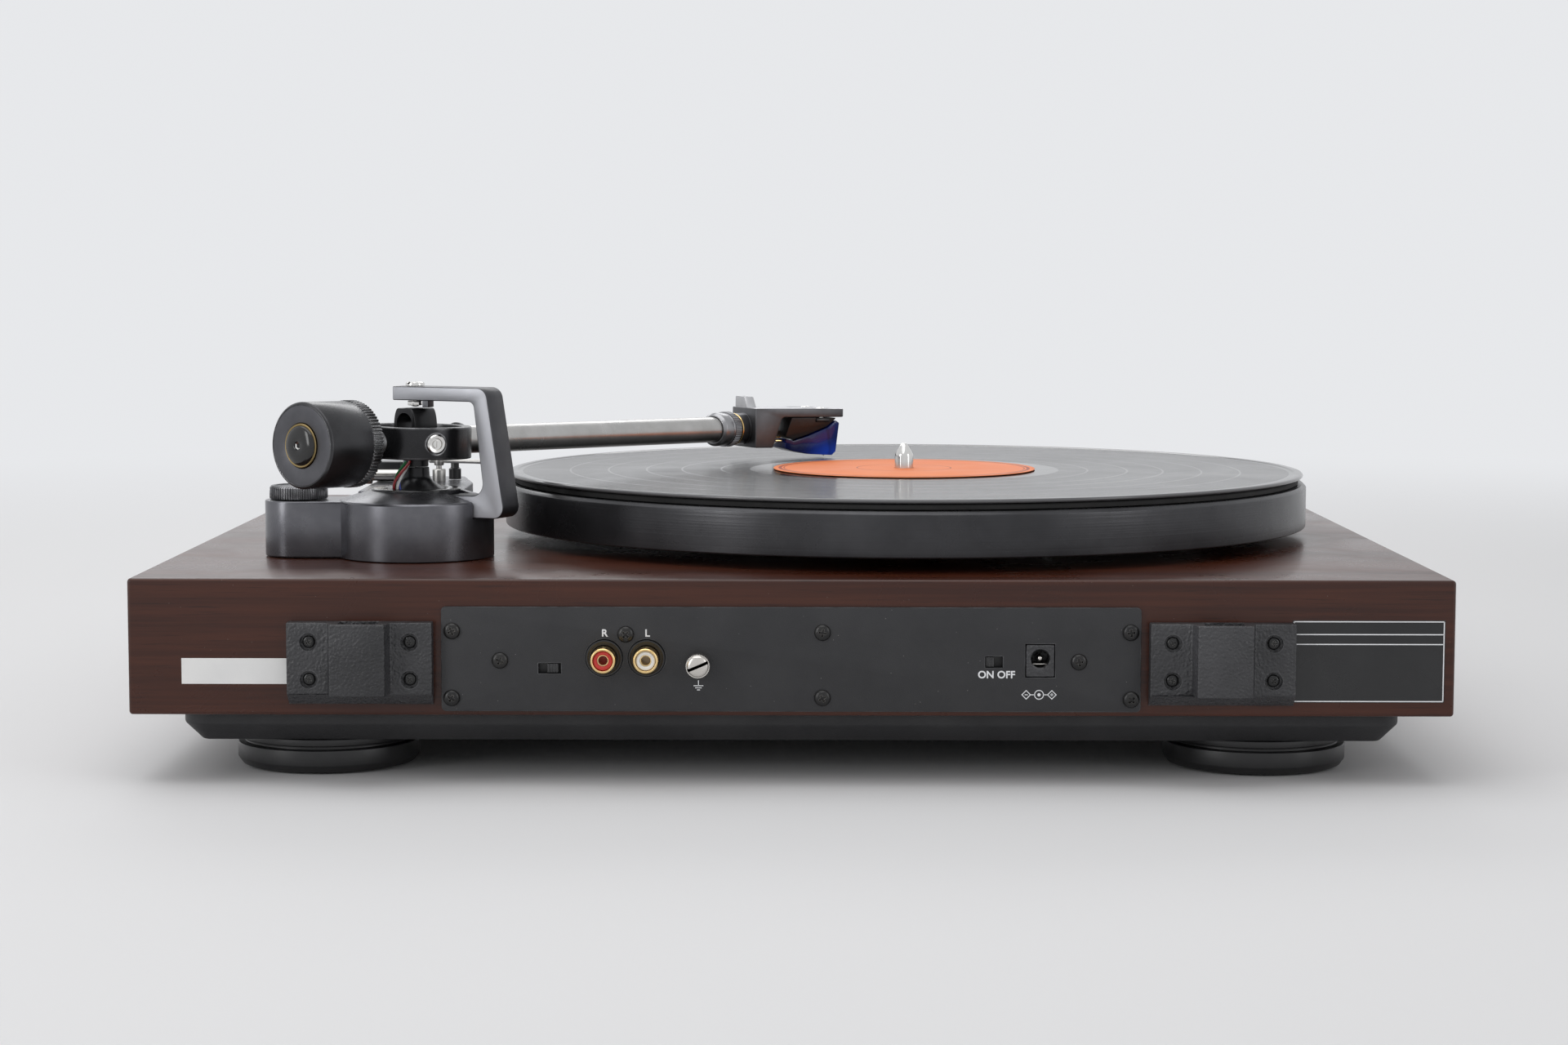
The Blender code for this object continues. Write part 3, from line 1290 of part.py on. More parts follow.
def make_tonearm_base():
    bottom = DECK + GAP
    tower = [
        (0, TOWER_TOP),
        (TOWER_TOP_RADIUS, TOWER_TOP),
        (TOWER_RADIUS - CASTING_EDGE, TOWER_WALL_TOP + CASTING_EDGE / 2),
        (TOWER_RADIUS, TOWER_WALL_TOP - CASTING_EDGE / 2),
        (TOWER_RADIUS, GAP),
        (0, GAP),
    ]
    pivot = (PIVOT_X, PIVOT_Y, DECK)
    base = turned("tonearm_base", tower, CASTING, SIDES_LARGE, pivot)
    block_height = TOWER_WALL_TOP - GAP
    block = tool(plate_mesh(dial_block_outline(), block_height), (PIVOT_X, PIVOT_Y, bottom + block_height / 2))
    join(base, soften(block, CASTING_EDGE, 1))
    wing_height = WING_TOP - GAP
    wing = tool(plate_mesh(wing_outline(), wing_height), (PIVOT_X, PIVOT_Y, bottom + wing_height / 2))
    join(base, soften(wing, CASTING_EDGE, 1))
    slot_bottom = YOKE_FOOT_BOTTOM - GAP
    slot = yoke_slot(TOWER_TOP - slot_bottom + OVERRUN, slot_bottom)
    cut(base, tool(slot, pivot, (0, 0, HALF - YOKE_TURN)))
    spigot_floor = TOWER_TOP - PILLAR_SPIGOT_DEPTH - GAP
    spigot_at = (PIVOT_X, PIVOT_Y, DECK + spigot_floor)
    bore(base, PILLAR_SPIGOT_RADIUS + GAP, PILLAR_SPIGOT_DEPTH + OVERRUN, SIDES_MEDIUM, spigot_at)
    post_at = (PIVOT_X + LIFT_X, PIVOT_Y + LIFT_Y, DECK + WING_TOP)
    post = cylinder_mesh(LIFT_POST_RADIUS, 2 * LIFT_POST_HEIGHT, SIDES_SMALL, -LIFT_POST_HEIGHT)
    join(base, tool(post, post_at))
    bore(base, LIFT_ROD_RADIUS + GAP, LIFT_POST_HEIGHT + OVERRUN, SIDES_TINY, post_at)
    stem_floor = TOWER_WALL_TOP - DIAL_STEM_DEPTH - GAP
    stem_at = (*dial_place(), DECK + stem_floor)
    bore(base, DIAL_STEM_RADIUS + GAP, DIAL_STEM_DEPTH + OVERRUN, SIDES_SMALL, stem_at)


def make_pillar():
    """A flared foot that narrows to the lower bearing, with a spigot in the base."""
    foot = TOWER_TOP + GAP
    profile = [
        (0, PILLAR_TOP),
        (PILLAR_TOP_RADIUS, PILLAR_TOP),
        (PILLAR_NECK_RADIUS, PILLAR_NECK_TOP),
    ]
    for step in range(1, PILLAR_FLARE_STEPS + 1):
        share = step / PILLAR_FLARE_STEPS
        height = PILLAR_NECK_TOP + (foot + EDGE - PILLAR_NECK_TOP) * share
        radius = PILLAR_NECK_RADIUS + (PILLAR_FOOT_RADIUS - PILLAR_NECK_RADIUS) * share**2
        profile.append((radius, height))
    profile += [
        (PILLAR_FOOT_RADIUS, foot),
        (PILLAR_SPIGOT_RADIUS, foot),
        (PILLAR_SPIGOT_RADIUS, TOWER_TOP - PILLAR_SPIGOT_DEPTH),
        (0, TOWER_TOP - PILLAR_SPIGOT_DEPTH),
    ]
    turned("bearing_pillar", profile, BLACK_ANODISED, SIDES_MEDIUM, (PIVOT_X, PIVOT_Y, DECK))


def yoke_outline():
    """The yoke from its flat side. X runs from the pivot towards the leg, Y is the height above the deck."""
    arm_bottom = YOKE_TOP - YOKE_ARM_THICKNESS
    return rounded(
        [
            (-YOKE_ARM_BEHIND, YOKE_TOP, 0),
            (-YOKE_ARM_BEHIND, arm_bottom, 0),
            (YOKE_TOP_REACH - YOKE_LEG_TOP, arm_bottom, YOKE_INNER_ROUND / 2),
            (YOKE_FOOT_REACH - YOKE_LEG_FOOT, YOKE_FOOT_TOP, YOKE_INNER_ROUND),
            (YOKE_FOOT_BEHIND, YOKE_FOOT_TOP, 0),
            (YOKE_FOOT_BEHIND, YOKE_FOOT_BOTTOM, 0),
            (YOKE_FOOT_REACH, YOKE_FOOT_BOTTOM, YOKE_OUTER_ROUND),
            (YOKE_TOP_REACH, YOKE_TOP, YOKE_OUTER_ROUND),
        ]
    )


def make_yoke():
    pivot = (PIVOT_X, PIVOT_Y, DECK)
    turn = (QUARTER, 0, HALF - YOKE_TURN)
    yoke = add("bearing_yoke", plate_mesh(yoke_outline(), YOKE_THICKNESS), BLASTED, pivot, turn)
    soften(yoke, YOKE_EDGE, 1)
    arm_bottom = YOKE_TOP - YOKE_ARM_THICKNESS
    tab_height = STOP_TAB_HEIGHT + YOKE_ARM_THICKNESS / 2
    tab = box_mesh(
        (STOP_TAB_WIDTH, STOP_TAB_DEPTH, tab_height),
        (STOP_TAB_SHIFT, 0, arm_bottom - STOP_TAB_HEIGHT + tab_height / 2),
    )
    join(yoke, tool(tab, pivot, (0, 0, HALF - YOKE_TURN)))
    hole_at = (PIVOT_X, PIVOT_Y, DECK + arm_bottom - OVERRUN)
    depth = YOKE_ARM_THICKNESS + 2 * OVERRUN
    bore(yoke, PIVOT_SCREW_RADIUS + PIVOT_HOLE_CLEARANCE, depth, SIDES_TINY, hole_at)


def make_pivot_screw():
    """The head lies on the yoke, the lock nut under it, and the point ends over the gimbal block."""
    head_bottom = YOKE_TOP + GAP
    nut_top = YOKE_TOP - YOKE_ARM_THICKNESS - GAP
    profile = [
        (0, head_bottom + PIVOT_HEAD_HEIGHT),
        (PIVOT_HEAD_RADIUS - EDGE, head_bottom + PIVOT_HEAD_HEIGHT),
        (PIVOT_HEAD_RADIUS, head_bottom + PIVOT_HEAD_HEIGHT - EDGE),
        (PIVOT_HEAD_RADIUS, head_bottom),
        (PIVOT_SCREW_RADIUS, head_bottom),
        (PIVOT_SCREW_RADIUS, nut_top),
        (PIVOT_NUT_RADIUS, nut_top),
        (PIVOT_NUT_RADIUS, nut_top - PIVOT_NUT_HEIGHT),
        (PIVOT_SCREW_RADIUS, nut_top - PIVOT_NUT_HEIGHT),
        (0, BLOCK_TOP + GAP),
    ]
    turned("upper_pivot_screw", profile, POLISHED_STEEL, SIDES_TINY, (PIVOT_X, PIVOT_Y, DECK))


# Gimbal and tonearm, drawn in a frame whose X runs forward along the tube


def block_outline():
    """The gimbal block from behind: straight sides below, drawn in to a flat top."""
    half = BLOCK_WIDTH / 2
    return [
        (-half, BLOCK_BOTTOM),
        (half, BLOCK_BOTTOM),
        (half, BLOCK_SHOULDER),
        ((half * 2 + BLOCK_TOP_WIDTH) / 4 + EDGE, (BLOCK_SHOULDER + BLOCK_TOP * 2) / 3),
        (BLOCK_TOP_WIDTH / 2, BLOCK_TOP),
        (-BLOCK_TOP_WIDTH / 2, BLOCK_TOP),
        (-(half * 2 + BLOCK_TOP_WIDTH) / 4 - EDGE, (BLOCK_SHOULDER + BLOCK_TOP * 2) / 3),
        (-half, BLOCK_SHOULDER),
    ]


def make_gimbal_block(swing):
    block = add(
        "gimbal_block", plate_mesh(block_outline(), BLOCK_LENGTH), BLACK_ANODISED, turn=ALONG_ARM, parent=swing
    )
    hole_at = (-BLOCK_LENGTH / 2 - OVERRUN, 0, BLOCK_BORE_HEIGHT)
    bore(block, BLOCK_BORE_RADIUS, BLOCK_LENGTH + 2 * OVERRUN, SIDES_SMALL, hole_at, ALONG_X, swing)
    stem_bottom = PILLAR_TOP + GAP
    stem = cylinder_mesh(BLOCK_STEM_RADIUS, BLOCK_BOTTOM - stem_bottom + EDGE, SIDES_MEDIUM, stem_bottom)
    join(block, tool(stem, parent=swing))
    reach = BLOCK_TRUNNION_REACH
    trunnion = cylinder_mesh(BLOCK_TRUNNION_RADIUS, 2 * reach, SIDES_SMALL, -reach)
    join(block, tool(trunnion, (0, 0, ARM_HEIGHT), (QUARTER, 0, -HEADSHELL_OFFSET), swing))


def ring_radii():
    return (RING_RADIUS, RING_RADIUS - RING_WALL)


def make_gimbal_ring(tilt):
    outer, inner = ring_radii()
    half = RING_HEIGHT / 2
    profile = [
        (outer - EDGE, half),
        (outer, half - EDGE),
        (outer, EDGE - half),
        (outer - EDGE, -half),
        (inner, -half),
        (inner, half),
    ]
    ring = turned("gimbal_ring", profile, BLACK_ANODISED, SIDES_LARGE, parent=tilt, closed=True)
    axis_turn = (QUARTER, 0, -HEADSHELL_OFFSET)
    through = cylinder_mesh(BEARING_SHAFT_RADIUS + GAP, 2 * outer + 2 * OVERRUN, SIDES_TINY, -outer - OVERRUN)
    cut(ring, tool(through, turn=axis_turn, parent=tilt))
    head_floor = outer + BEARING_HEAD_PROUD - BEARING_HEAD_LENGTH - GAP
    for side in (-1, 1):
        seat = cylinder_mesh(
            BEARING_HEAD_RADIUS + GAP, outer - head_floor + OVERRUN, SIDES_SMALL, head_floor
        )
        turn = (side * QUARTER, 0, -HEADSHELL_OFFSET)
        cut(ring, tool(seat, turn=turn, parent=tilt))
        head_top = outer + BEARING_HEAD_PROUD
        head_bottom = head_top - BEARING_HEAD_LENGTH
        screw = [
            (0, head_top),
            (BEARING_HEAD_RADIUS - EDGE, head_top),
            (BEARING_HEAD_RADIUS, head_top - EDGE),
            (BEARING_HEAD_RADIUS, head_bottom),
            (BEARING_SHAFT_RADIUS, head_bottom),
            (BEARING_SHAFT_RADIUS, BLOCK_TRUNNION_REACH + GAP + EDGE),
            (0, BLOCK_TRUNNION_REACH + GAP),
        ]
        name = "bearing_screw_front" if side < 0 else "bearing_screw_rear"
        turned(name, screw, POLISHED_STEEL, SIDES_SMALL, turn=turn, parent=tilt)


def ring_clearance(tilt):
    """What a tube's end is cut back by, so that it seats on the ring."""
    outer = RING_RADIUS + GAP
    return tool(cylinder_mesh(outer, 2 * RING_HEIGHT, SIDES_LARGE, -RING_HEIGHT), parent=tilt)


def make_tube(tilt):
    start = RING_RADIUS - RING_WALL
    inner = TUBE_RADIUS - TUBE_WALL
    profile = [
        (TUBE_RADIUS, TUBE_END),
        (TUBE_RADIUS, start),
        (inner, start),
        (inner, TUBE_END),
    ]
    tube = turned("arm_tube", profile, TITANIUM, SIDES_MEDIUM, turn=ALONG_X, parent=tilt, closed=True)
    cut(tube, ring_clearance(tilt))


def make_collar(axis):
    root = COLLAR_RADIUS - 2 * COLLAR_RIDGE
    profile = [
        (0, COLLAR_LENGTH),
        (root - COLLAR_CHAMFER / 2, COLLAR_LENGTH),
        (root, COLLAR_LENGTH - COLLAR_CHAMFER / 2),
        (root, COLLAR_CHAMFER),
        (root - COLLAR_CHAMFER, 0),
        (0, 0),
    ]
    collar = turned("headshell_collar", profile, KNURL_GREY, SIDES_MEDIUM, turn=ALONG_X, parent=axis)
    band = plate_mesh(knurled_outline(COLLAR_RADIUS, COLLAR_RIDGES, COLLAR_RIDGE), COLLAR_BAND)
    band_at = (COLLAR_LENGTH - COLLAR_CHAMFER - COLLAR_BAND / 2, 0, 0)
    join(collar, tool(band, band_at, ALONG_X, axis))
    through = COLLAR_LENGTH + 2 * OVERRUN
    bore(collar, TUBE_RADIUS + GAP, through, SIDES_MEDIUM, (-OVERRUN, 0, 0), ALONG_X, axis)


def shell_side():
    """The headshell from its side: thick rear block, thin plate, nose that falls away."""
    end = SHELL_START + SHELL_LENGTH
    block_end = SHELL_START + SHELL_BLOCK_LENGTH
    heights = [height - HEAD_HEIGHT for height in (SHELL_TOP, SHELL_NOSE_TOP, SHELL_UNDER, SHELL_BLOCK_BOTTOM)]
    top, nose_top, under, bottom = heights
    return rounded(
        [
            (SHELL_START, top, 0),
            (SHELL_START, bottom, 0),
            (block_end, bottom, EDGE),
            (block_end + SHELL_BLOCK_SLANT, under, SHELL_INNER_ROUND),
            (end, under, 0),
            (end, nose_top, EDGE),
            (SHELL_SLOPE_START, top, 0),
        ]
    )


def shell_plan():
    """The headshell from above, a little narrower at its nose."""
    end = SHELL_START + SHELL_LENGTH
    half = SHELL_WIDTH / 2
    nose = SHELL_NOSE_WIDTH / 2
    return rounded(
        [
            (SHELL_START - OVERRUN, -half, 0),
            (SHELL_SLOPE_START, -half, 0),
            (end, -nose, SHELL_NOSE_ROUND),
            (end, nose, SHELL_NOSE_ROUND),
            (SHELL_SLOPE_START, half, 0),
            (SHELL_START - OVERRUN, half, 0),
        ]
    )


def make_headshell(tilt, head):
    width = SHELL_WIDTH + 2 * OVERRUN
    shell = add("headshell", plate_mesh(shell_side(), width), SHELL_METAL, turn=ACROSS_ARM, parent=head)
    plan_height = 2 * (SHELL_TOP - SHELL_BLOCK_BOTTOM)
    combine(shell, tool(plate_mesh(shell_plan(), plan_height), parent=head), "INTERSECT")
    tab_bottom = SHELL_TOP - HEAD_HEIGHT - EDGE
    tab_top = SHELL_TOP - HEAD_HEIGHT + LIFT_TAB_HEIGHT
    tab_face = [
        (LIFT_TAB_OUTER - LIFT_TAB_BASE, tab_bottom),
        (LIFT_TAB_OUTER, tab_bottom),
        (LIFT_TAB_OUTER, tab_top),
        (LIFT_TAB_OUTER - LIFT_TAB_TOP, tab_top),
    ]
    tab_at = (SHELL_START + EDGE + LIFT_TAB_LENGTH / 2, 0, 0)
    join(shell, tool(plate_mesh(tab_face, LIFT_TAB_LENGTH), tab_at, ALONG_ARM, head))
    neck_start = COLLAR_START + COLLAR_LENGTH + GAP
    neck_length = BEND_REACH - neck_start + SHELL_BLOCK_LENGTH / 2
    neck = cylinder_mesh(SHELL_NECK_RADIUS, neck_length, SIDES_MEDIUM, neck_start)
    join(shell, tool(neck, turn=ALONG_X, parent=tilt))
    plug_start = TUBE_END + GAP
    plug = cylinder_mesh(SHELL_PLUG_RADIUS, neck_start - plug_start + EDGE, SIDES_MEDIUM, plug_start)
    join(shell, tool(plug, turn=ALONG_X, parent=tilt))


def narrowed(mesh, top, bottom, top_width, bottom_width):
    """The same mesh, with its width drawn in evenly from its top to its bottom. Z is the width, Y the height."""
    for vertex in mesh.vertices:
        share = (top - vertex.co.y) / (top - bottom)
        width = top_width + (bottom_width - top_width) * min(max(share, 0), 1)
        vertex.co.z *= width / top_width
    return mesh


def make_cartridge(head):
    top = SHELL_UNDER - GAP - HEAD_HEIGHT
    bottom = CARTRIDGE_BOTTOM - HEAD_HEIGHT
    start = CARTRIDGE_START
    end = start + CARTRIDGE_LENGTH
    underside = [(start + reach, bottom + rise) for reach, rise in CARTRIDGE_UNDERSIDE]
    underside.append((end, top - CARTRIDGE_NOSE_DROP))
    side = [(start + CARTRIDGE_BACK_LEAN, top), *underside, (end, top)]
    low = STYLUS_UNIT_LOW - HEAD_HEIGHT
    body = narrowed(plate_mesh(side, CARTRIDGE_WIDTH), top, low, CARTRIDGE_WIDTH, STYLUS_UNIT_FOOT_WIDTH)
    add("cartridge_body", body, BLACK_PLASTIC, turn=ACROSS_ARM, parent=head)
    away = 2 * GAP
    tip = end + STYLUS_UNIT_OVERHANG
    unit = [(reach + GAP, height - away) for reach, height in reversed(underside)]
    unit += [(start + reach, low + rise) for reach, rise in STYLUS_UNIT_UNDERSIDE]
    unit += [(tip - STYLUS_UNIT_TOE, low), (tip, low + STYLUS_UNIT_TOE), (tip, low + STYLUS_UNIT_NOSE_RISE)]
    wedge = narrowed(plate_mesh(unit, CARTRIDGE_WIDTH), top, low, CARTRIDGE_WIDTH, STYLUS_UNIT_FOOT_WIDTH)
    stylus_unit = add("stylus_unit", wedge, BLUE_RESIN, turn=ACROSS_ARM, parent=head)
    point = RECORD_TOP + GAP - DECK - HEAD_HEIGHT
    diamond = [
        (0, low + EDGE),
        (STYLUS_RADIUS, low + EDGE),
        (STYLUS_RADIUS, low - EDGE / 2),
        (STYLUS_TIP_RADIUS, point),
        (0, point),
    ]
    join(stylus_unit, turned_tool(diamond, SIDES_TINY, (STYLUS_REACH, 0, 0), parent=head))


# Counterweight, drawn in a frame whose Z runs backwards from the pivot


def make_shaft(tilt):
    start = RING_RADIUS - RING_WALL
    shaft = add(
        "counterweight_shaft", cylinder_mesh(SHAFT_RADIUS, SHAFT_END - start, SIDES_MEDIUM, start),
        STEEL, turn=(0, -QUARTER, 0), parent=tilt,
    )
    cut(shaft, ring_clearance(tilt))


def make_counterweight(carriage):
    ring_end = FORCE_RING_WIDTH
    length = WEIGHT_REAR - WEIGHT_FRONT
    body_start = ring_end + GAP
    inner = WEIGHT_BORE_RADIUS
    body = [
        (WEIGHT_RADIUS - WEIGHT_CHAMFER, length),
        (WEIGHT_RADIUS, length - WEIGHT_CHAMFER),
        (WEIGHT_RADIUS, body_start),
        (inner, body_start),
        (inner, length - EDGE),
        (inner + EDGE, length),
    ]
    turned("counterweight", body, WEIGHT_COAT, SIDES_LARGE, parent=carriage, closed=True)
    ridged = plate_mesh(knurled_outline(FORCE_RING_RADIUS, FORCE_RING_RIDGES, FORCE_RING_RIDGE), ring_end)
    ring = add("force_ring", ridged, WEIGHT_COAT, (0, 0, ring_end / 2), parent=carriage)
    bore(ring, inner, ring_end + 2 * OVERRUN, SIDES_MEDIUM, (0, 0, -OVERRUN), parent=carriage)
    bush_radius = inner - GAP
    bush_inner = bush_radius - BUSH_WALL
    thread = SHAFT_RADIUS + GAP
    shaft_room = SHAFT_END - WEIGHT_FRONT + 2 * WEIGHT_CAP_DOME
    dome_top = length + WEIGHT_CAP_DOME
    bush = [
        (0, dome_top - WEIGHT_CAP_SOCKET_DEPTH),
        (WEIGHT_CAP_SOCKET_RADIUS, dome_top - WEIGHT_CAP_SOCKET_DEPTH),
        (WEIGHT_CAP_SOCKET_RADIUS, dome_top),
        (bush_radius * WEIGHT_CAP_CREST_SHARE, dome_top - EDGE),
        (bush_radius * WEIGHT_CAP_SHOULDER_SHARE, length + WEIGHT_CAP_DOME / 2),
        (bush_radius, length - EDGE),
        (bush_radius, 0),
        (thread, 0),
        (thread, shaft_room),
        (min(bush_inner, thread) * BUSH_THREAD_SHARE, shaft_room),
        (0, shaft_room),
    ]
    turned("counterweight_bush", bush, BLACK_PLASTIC, SIDES_MEDIUM, parent=carriage)


# Cueing lift, lever, arm rest and dial


def make_lift():
    bar_z = LIFT_BAR_TOP - LIFT_BAR_RADIUS
    rod_bottom = WING_TOP + LIFT_ROD_LIFT
    at = (PIVOT_X, PIVOT_Y, DECK)
    reach = math.hypot(LIFT_X, LIFT_Y)
    start = math.atan2(-LIFT_X, -LIFT_Y) - LIFT_BAR_LEAD
    arc = []
    for step in range(LIFT_BAR_POINTS):
        angle = start + LIFT_BAR_SWEEP * step / (LIFT_BAR_POINTS - 1)
        arc.append((-reach * math.sin(angle), -reach * math.cos(angle), bar_z))
    bar = add("lift_bar", rod_mesh(arc, LIFT_BAR_RADIUS, 1), NICKEL, at)
    rod = cylinder_mesh(LIFT_ROD_RADIUS, bar_z - rod_bottom, SIDES_TINY, rod_bottom)
    join(bar, tool(rod, (PIVOT_X + LIFT_X, PIVOT_Y + LIFT_Y, DECK)))


def make_lift_housing():
    height = LIFT_BOX_HEIGHT
    at = (
        PIVOT_X + LIFT_BOX_X + LIFT_BOX_WIDTH / 2,
        PIVOT_Y + LIFT_BOX_Y,
        DECK + WING_TOP + GAP + height / 2,
    )
    housing = add(
        "lift_housing", box_mesh((LIFT_BOX_WIDTH, LIFT_BOX_LENGTH, height)), BLACK_PLASTIC, at
    )
    soften(housing, CASTING_EDGE, 1)


def lever_axis():
    """A point on the cue lever's shaft: its inner end, behind the housing."""
    y = PIVOT_Y + LIFT_BOX_Y + LIFT_BOX_LENGTH / 2 + GAP + LEVER_SHAFT_RADIUS
    return (PIVOT_X + LIFT_BOX_X, y, DECK + WING_TOP + LEVER_HEIGHT)


def make_cue_lever(axis):
    shaft_length = WING_RIGHT - LIFT_BOX_X + GAP
    shaft = cylinder_mesh(LEVER_SHAFT_RADIUS, shaft_length + LEVER_HUB_LENGTH / 2, SIDES_SMALL)
    lever = add("cue_lever", shaft, NICKEL, turn=ALONG_X, parent=axis)
    hub = cylinder_mesh(LEVER_HUB_RADIUS, LEVER_HUB_LENGTH, SIDES_SMALL)
    join(lever, tool(hub, (shaft_length, 0, 0), ALONG_X, axis))
    middle = shaft_length + LEVER_HUB_LENGTH / 2
    arm = rod_mesh([(middle, 0, 0), (middle, -LEVER_LENGTH, 0)], LEVER_ARM_RADIUS)
    join(lever, tool(arm, parent=axis))
    tip = cylinder_mesh(LEVER_KNOB_RADIUS, LEVER_KNOB_LENGTH, SIDES_TINY)
    join(lever, tool(tip, (middle, -LEVER_LENGTH, 0), UPRIGHT, axis))


def rest_outline():
    """The cradle from behind: low towards the platter, so that the tube swings in, high outside."""
    centre = CRADLE_HEIGHT
    hollow = TUBE_RADIUS + GAP
    saddle = centre - hollow
    outer = hollow + REST_OUTER_WALL
    outline = [(-REST_INNER, saddle - REST_BASE_HEIGHT), (-REST_INNER, saddle - EDGE)]
    for step in range(FILLET_STEPS * 2 + 1):
        angle = -QUARTER + QUARTER * step / (FILLET_STEPS * 2)
        outline.append((hollow * math.cos(angle), centre + hollow * math.sin(angle)))
    outline += [
        (hollow, centre + REST_PRONG_RISE),
        (outer, centre + REST_PRONG_RISE),
        (outer, centre - hollow / 2),
        (hollow / 2, saddle - REST_BASE_HEIGHT),
    ]
    return outline


def make_arm_rest():
    x = PIVOT_X - REST_REACH * math.sin(PARK_TURN)
    y = PIVOT_Y - REST_REACH * math.cos(PARK_TURN)
    bottom = WING_TOP + GAP
    neck_top = CRADLE_HEIGHT - TUBE_RADIUS - GAP - REST_BASE_HEIGHT / 2
    post = [
        (0, neck_top),
        (REST_NECK_RADIUS, neck_top),
        (REST_NECK_RADIUS, bottom + REST_POST_HEIGHT),
        (REST_POST_RADIUS, bottom + REST_POST_HEIGHT),
        (REST_POST_RADIUS, bottom),
        (0, bottom),
    ]
    rest = turned("arm_rest", post, BLACK_PLASTIC, SIDES_SMALL, (x, y, DECK))
    cradle = plate_mesh(rest_outline(), REST_LENGTH)
    join(rest, tool(cradle, (x, y, DECK), (QUARTER, 0, -PARK_TURN)))


def make_dial():
    x, y = dial_place()
    bottom = DECK + TOWER_WALL_TOP + GAP
    outline = knurled_outline(DIAL_RADIUS, DIAL_RIDGES, DIAL_RIDGE)
    dial = add("anti_skate_dial", plate_mesh(outline, DIAL_HEIGHT), KNURL_GREY, (x, y, bottom + DIAL_HEIGHT / 2))
    dish_at = (x, y, bottom + DIAL_HEIGHT - DIAL_DISH)
    bore(dial, DIAL_RADIUS - DIAL_RIM, DIAL_DISH + OVERRUN, SIDES_MEDIUM, dish_at)
    stem_height = DIAL_STEM_DEPTH + DIAL_HEIGHT / 2
    stem = cylinder_mesh(DIAL_STEM_RADIUS, stem_height, SIDES_TINY, DIAL_HEIGHT / 2 - stem_height)
    join(dial, tool(stem, (x, y, bottom)))


def make_speed_knob():
    x, y = knob_place()
    stem_bottom = -DECK_THICKNESS - OVERRUN
    profile = [
        (0, KNOB_HEIGHT),
        (KNOB_TOP_RADIUS - KNOB_EDGE, KNOB_HEIGHT),
        (KNOB_TOP_RADIUS, KNOB_HEIGHT - KNOB_EDGE),
        (KNOB_RADIUS, GAP + EDGE),
        (KNOB_RADIUS - EDGE, GAP),
        (KNOB_STEM_RADIUS, GAP),
        (KNOB_STEM_RADIUS, stem_bottom),
        (0, stem_bottom),
    ]
    knob = turned("speed_knob", profile, BLACK_ANODISED, SIDES_MEDIUM, (x, y, DECK))
    mark = box_mesh((KNOB_MARK_WIDTH, KNOB_MARK_LENGTH, 2 * KNOB_MARK_DEPTH))
    cut(knob, tool(mark, (x, y + KNOB_TOP_RADIUS - KNOB_MARK_LENGTH / 2, DECK + KNOB_HEIGHT)))


def make_signal_wires():
    """The bundle of fine wires that leaves the gimbal block beside the pillar and enters the base."""
    bottom = TOWER_TOP + GAP + EDGE
    points = []
    for step in range(WIRE_POINTS):
        share = step / (WIRE_POINTS - 1)
        bow = WIRE_BOW * math.sin(HALF * share)
        ease = share**2 * (3 - 2 * share)
        x = WIRE_BOTTOM_X + (WIRE_TOP_X - WIRE_BOTTOM_X) * ease + bow
        y = WIRE_BOTTOM_Y + (WIRE_TOP_Y - WIRE_BOTTOM_Y) * ease + bow
        points.append((x, y, bottom + (WIRE_TOP - bottom) * share))
    add("signal_wires", rod_mesh(points, WIRE_RADIUS), WIRE_PAINT, (PIVOT_X, PIVOT_Y, DECK))


# Assembly

make_plinth()
make_tray()
make_feet()
make_board()
make_panel()
make_rca_sockets()
make_dc_socket()
make_switches()
make_ground_terminal()
make_brackets()
make_motor_base()
make_bearing_bush()
make_stator()

platter_axis = empty("platter_axis", (PLATTER_X, PLATTER_Y, DECK))
make_platter(platter_axis)
make_spindle(platter_axis)
make_record(platter_axis)

make_tonearm_base()
make_pillar()
make_yoke()
make_pivot_screw()
make_lift()
make_lift_housing()
make_cue_lever(empty("cue_lever_axis", lever_axis()))
make_arm_rest()
make_dial()
make_speed_knob()
make_signal_wires()

swing_axis = empty("swing_axis", (PIVOT_X, PIVOT_Y, DECK), (0, 0, -QUARTER - TUBE_TURN))
make_gimbal_block(swing_axis)
tilt_axis = empty("tilt_axis", (0, 0, ARM_HEIGHT), (0, 0, -HEADSHELL_OFFSET), swing_axis)
pitch_axis = empty("pitch_axis", (0, 0, 0), (0, ARM_PITCH, 0), tilt_axis)
arm_line = empty("arm_line", (0, 0, 0), (0, 0, HEADSHELL_OFFSET), pitch_axis)
make_gimbal_ring(arm_line)
make_tube(arm_line)
make_shaft(arm_line)
make_collar(empty("collar_axis", (COLLAR_START, 0, 0), parent=arm_line))
head_axis = empty("head_axis", (BEND_REACH, 0, 0), (0, 0, -HEADSHELL_OFFSET), arm_line)
make_headshell(arm_line, head_axis)
make_cartridge(head_axis)
make_counterweight(empty("weight_axis", (-WEIGHT_FRONT, 0, 0), (0, -QUARTER, 0), arm_line))
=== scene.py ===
import math

import bmesh
import bpy
from mathutils import Matrix, Vector


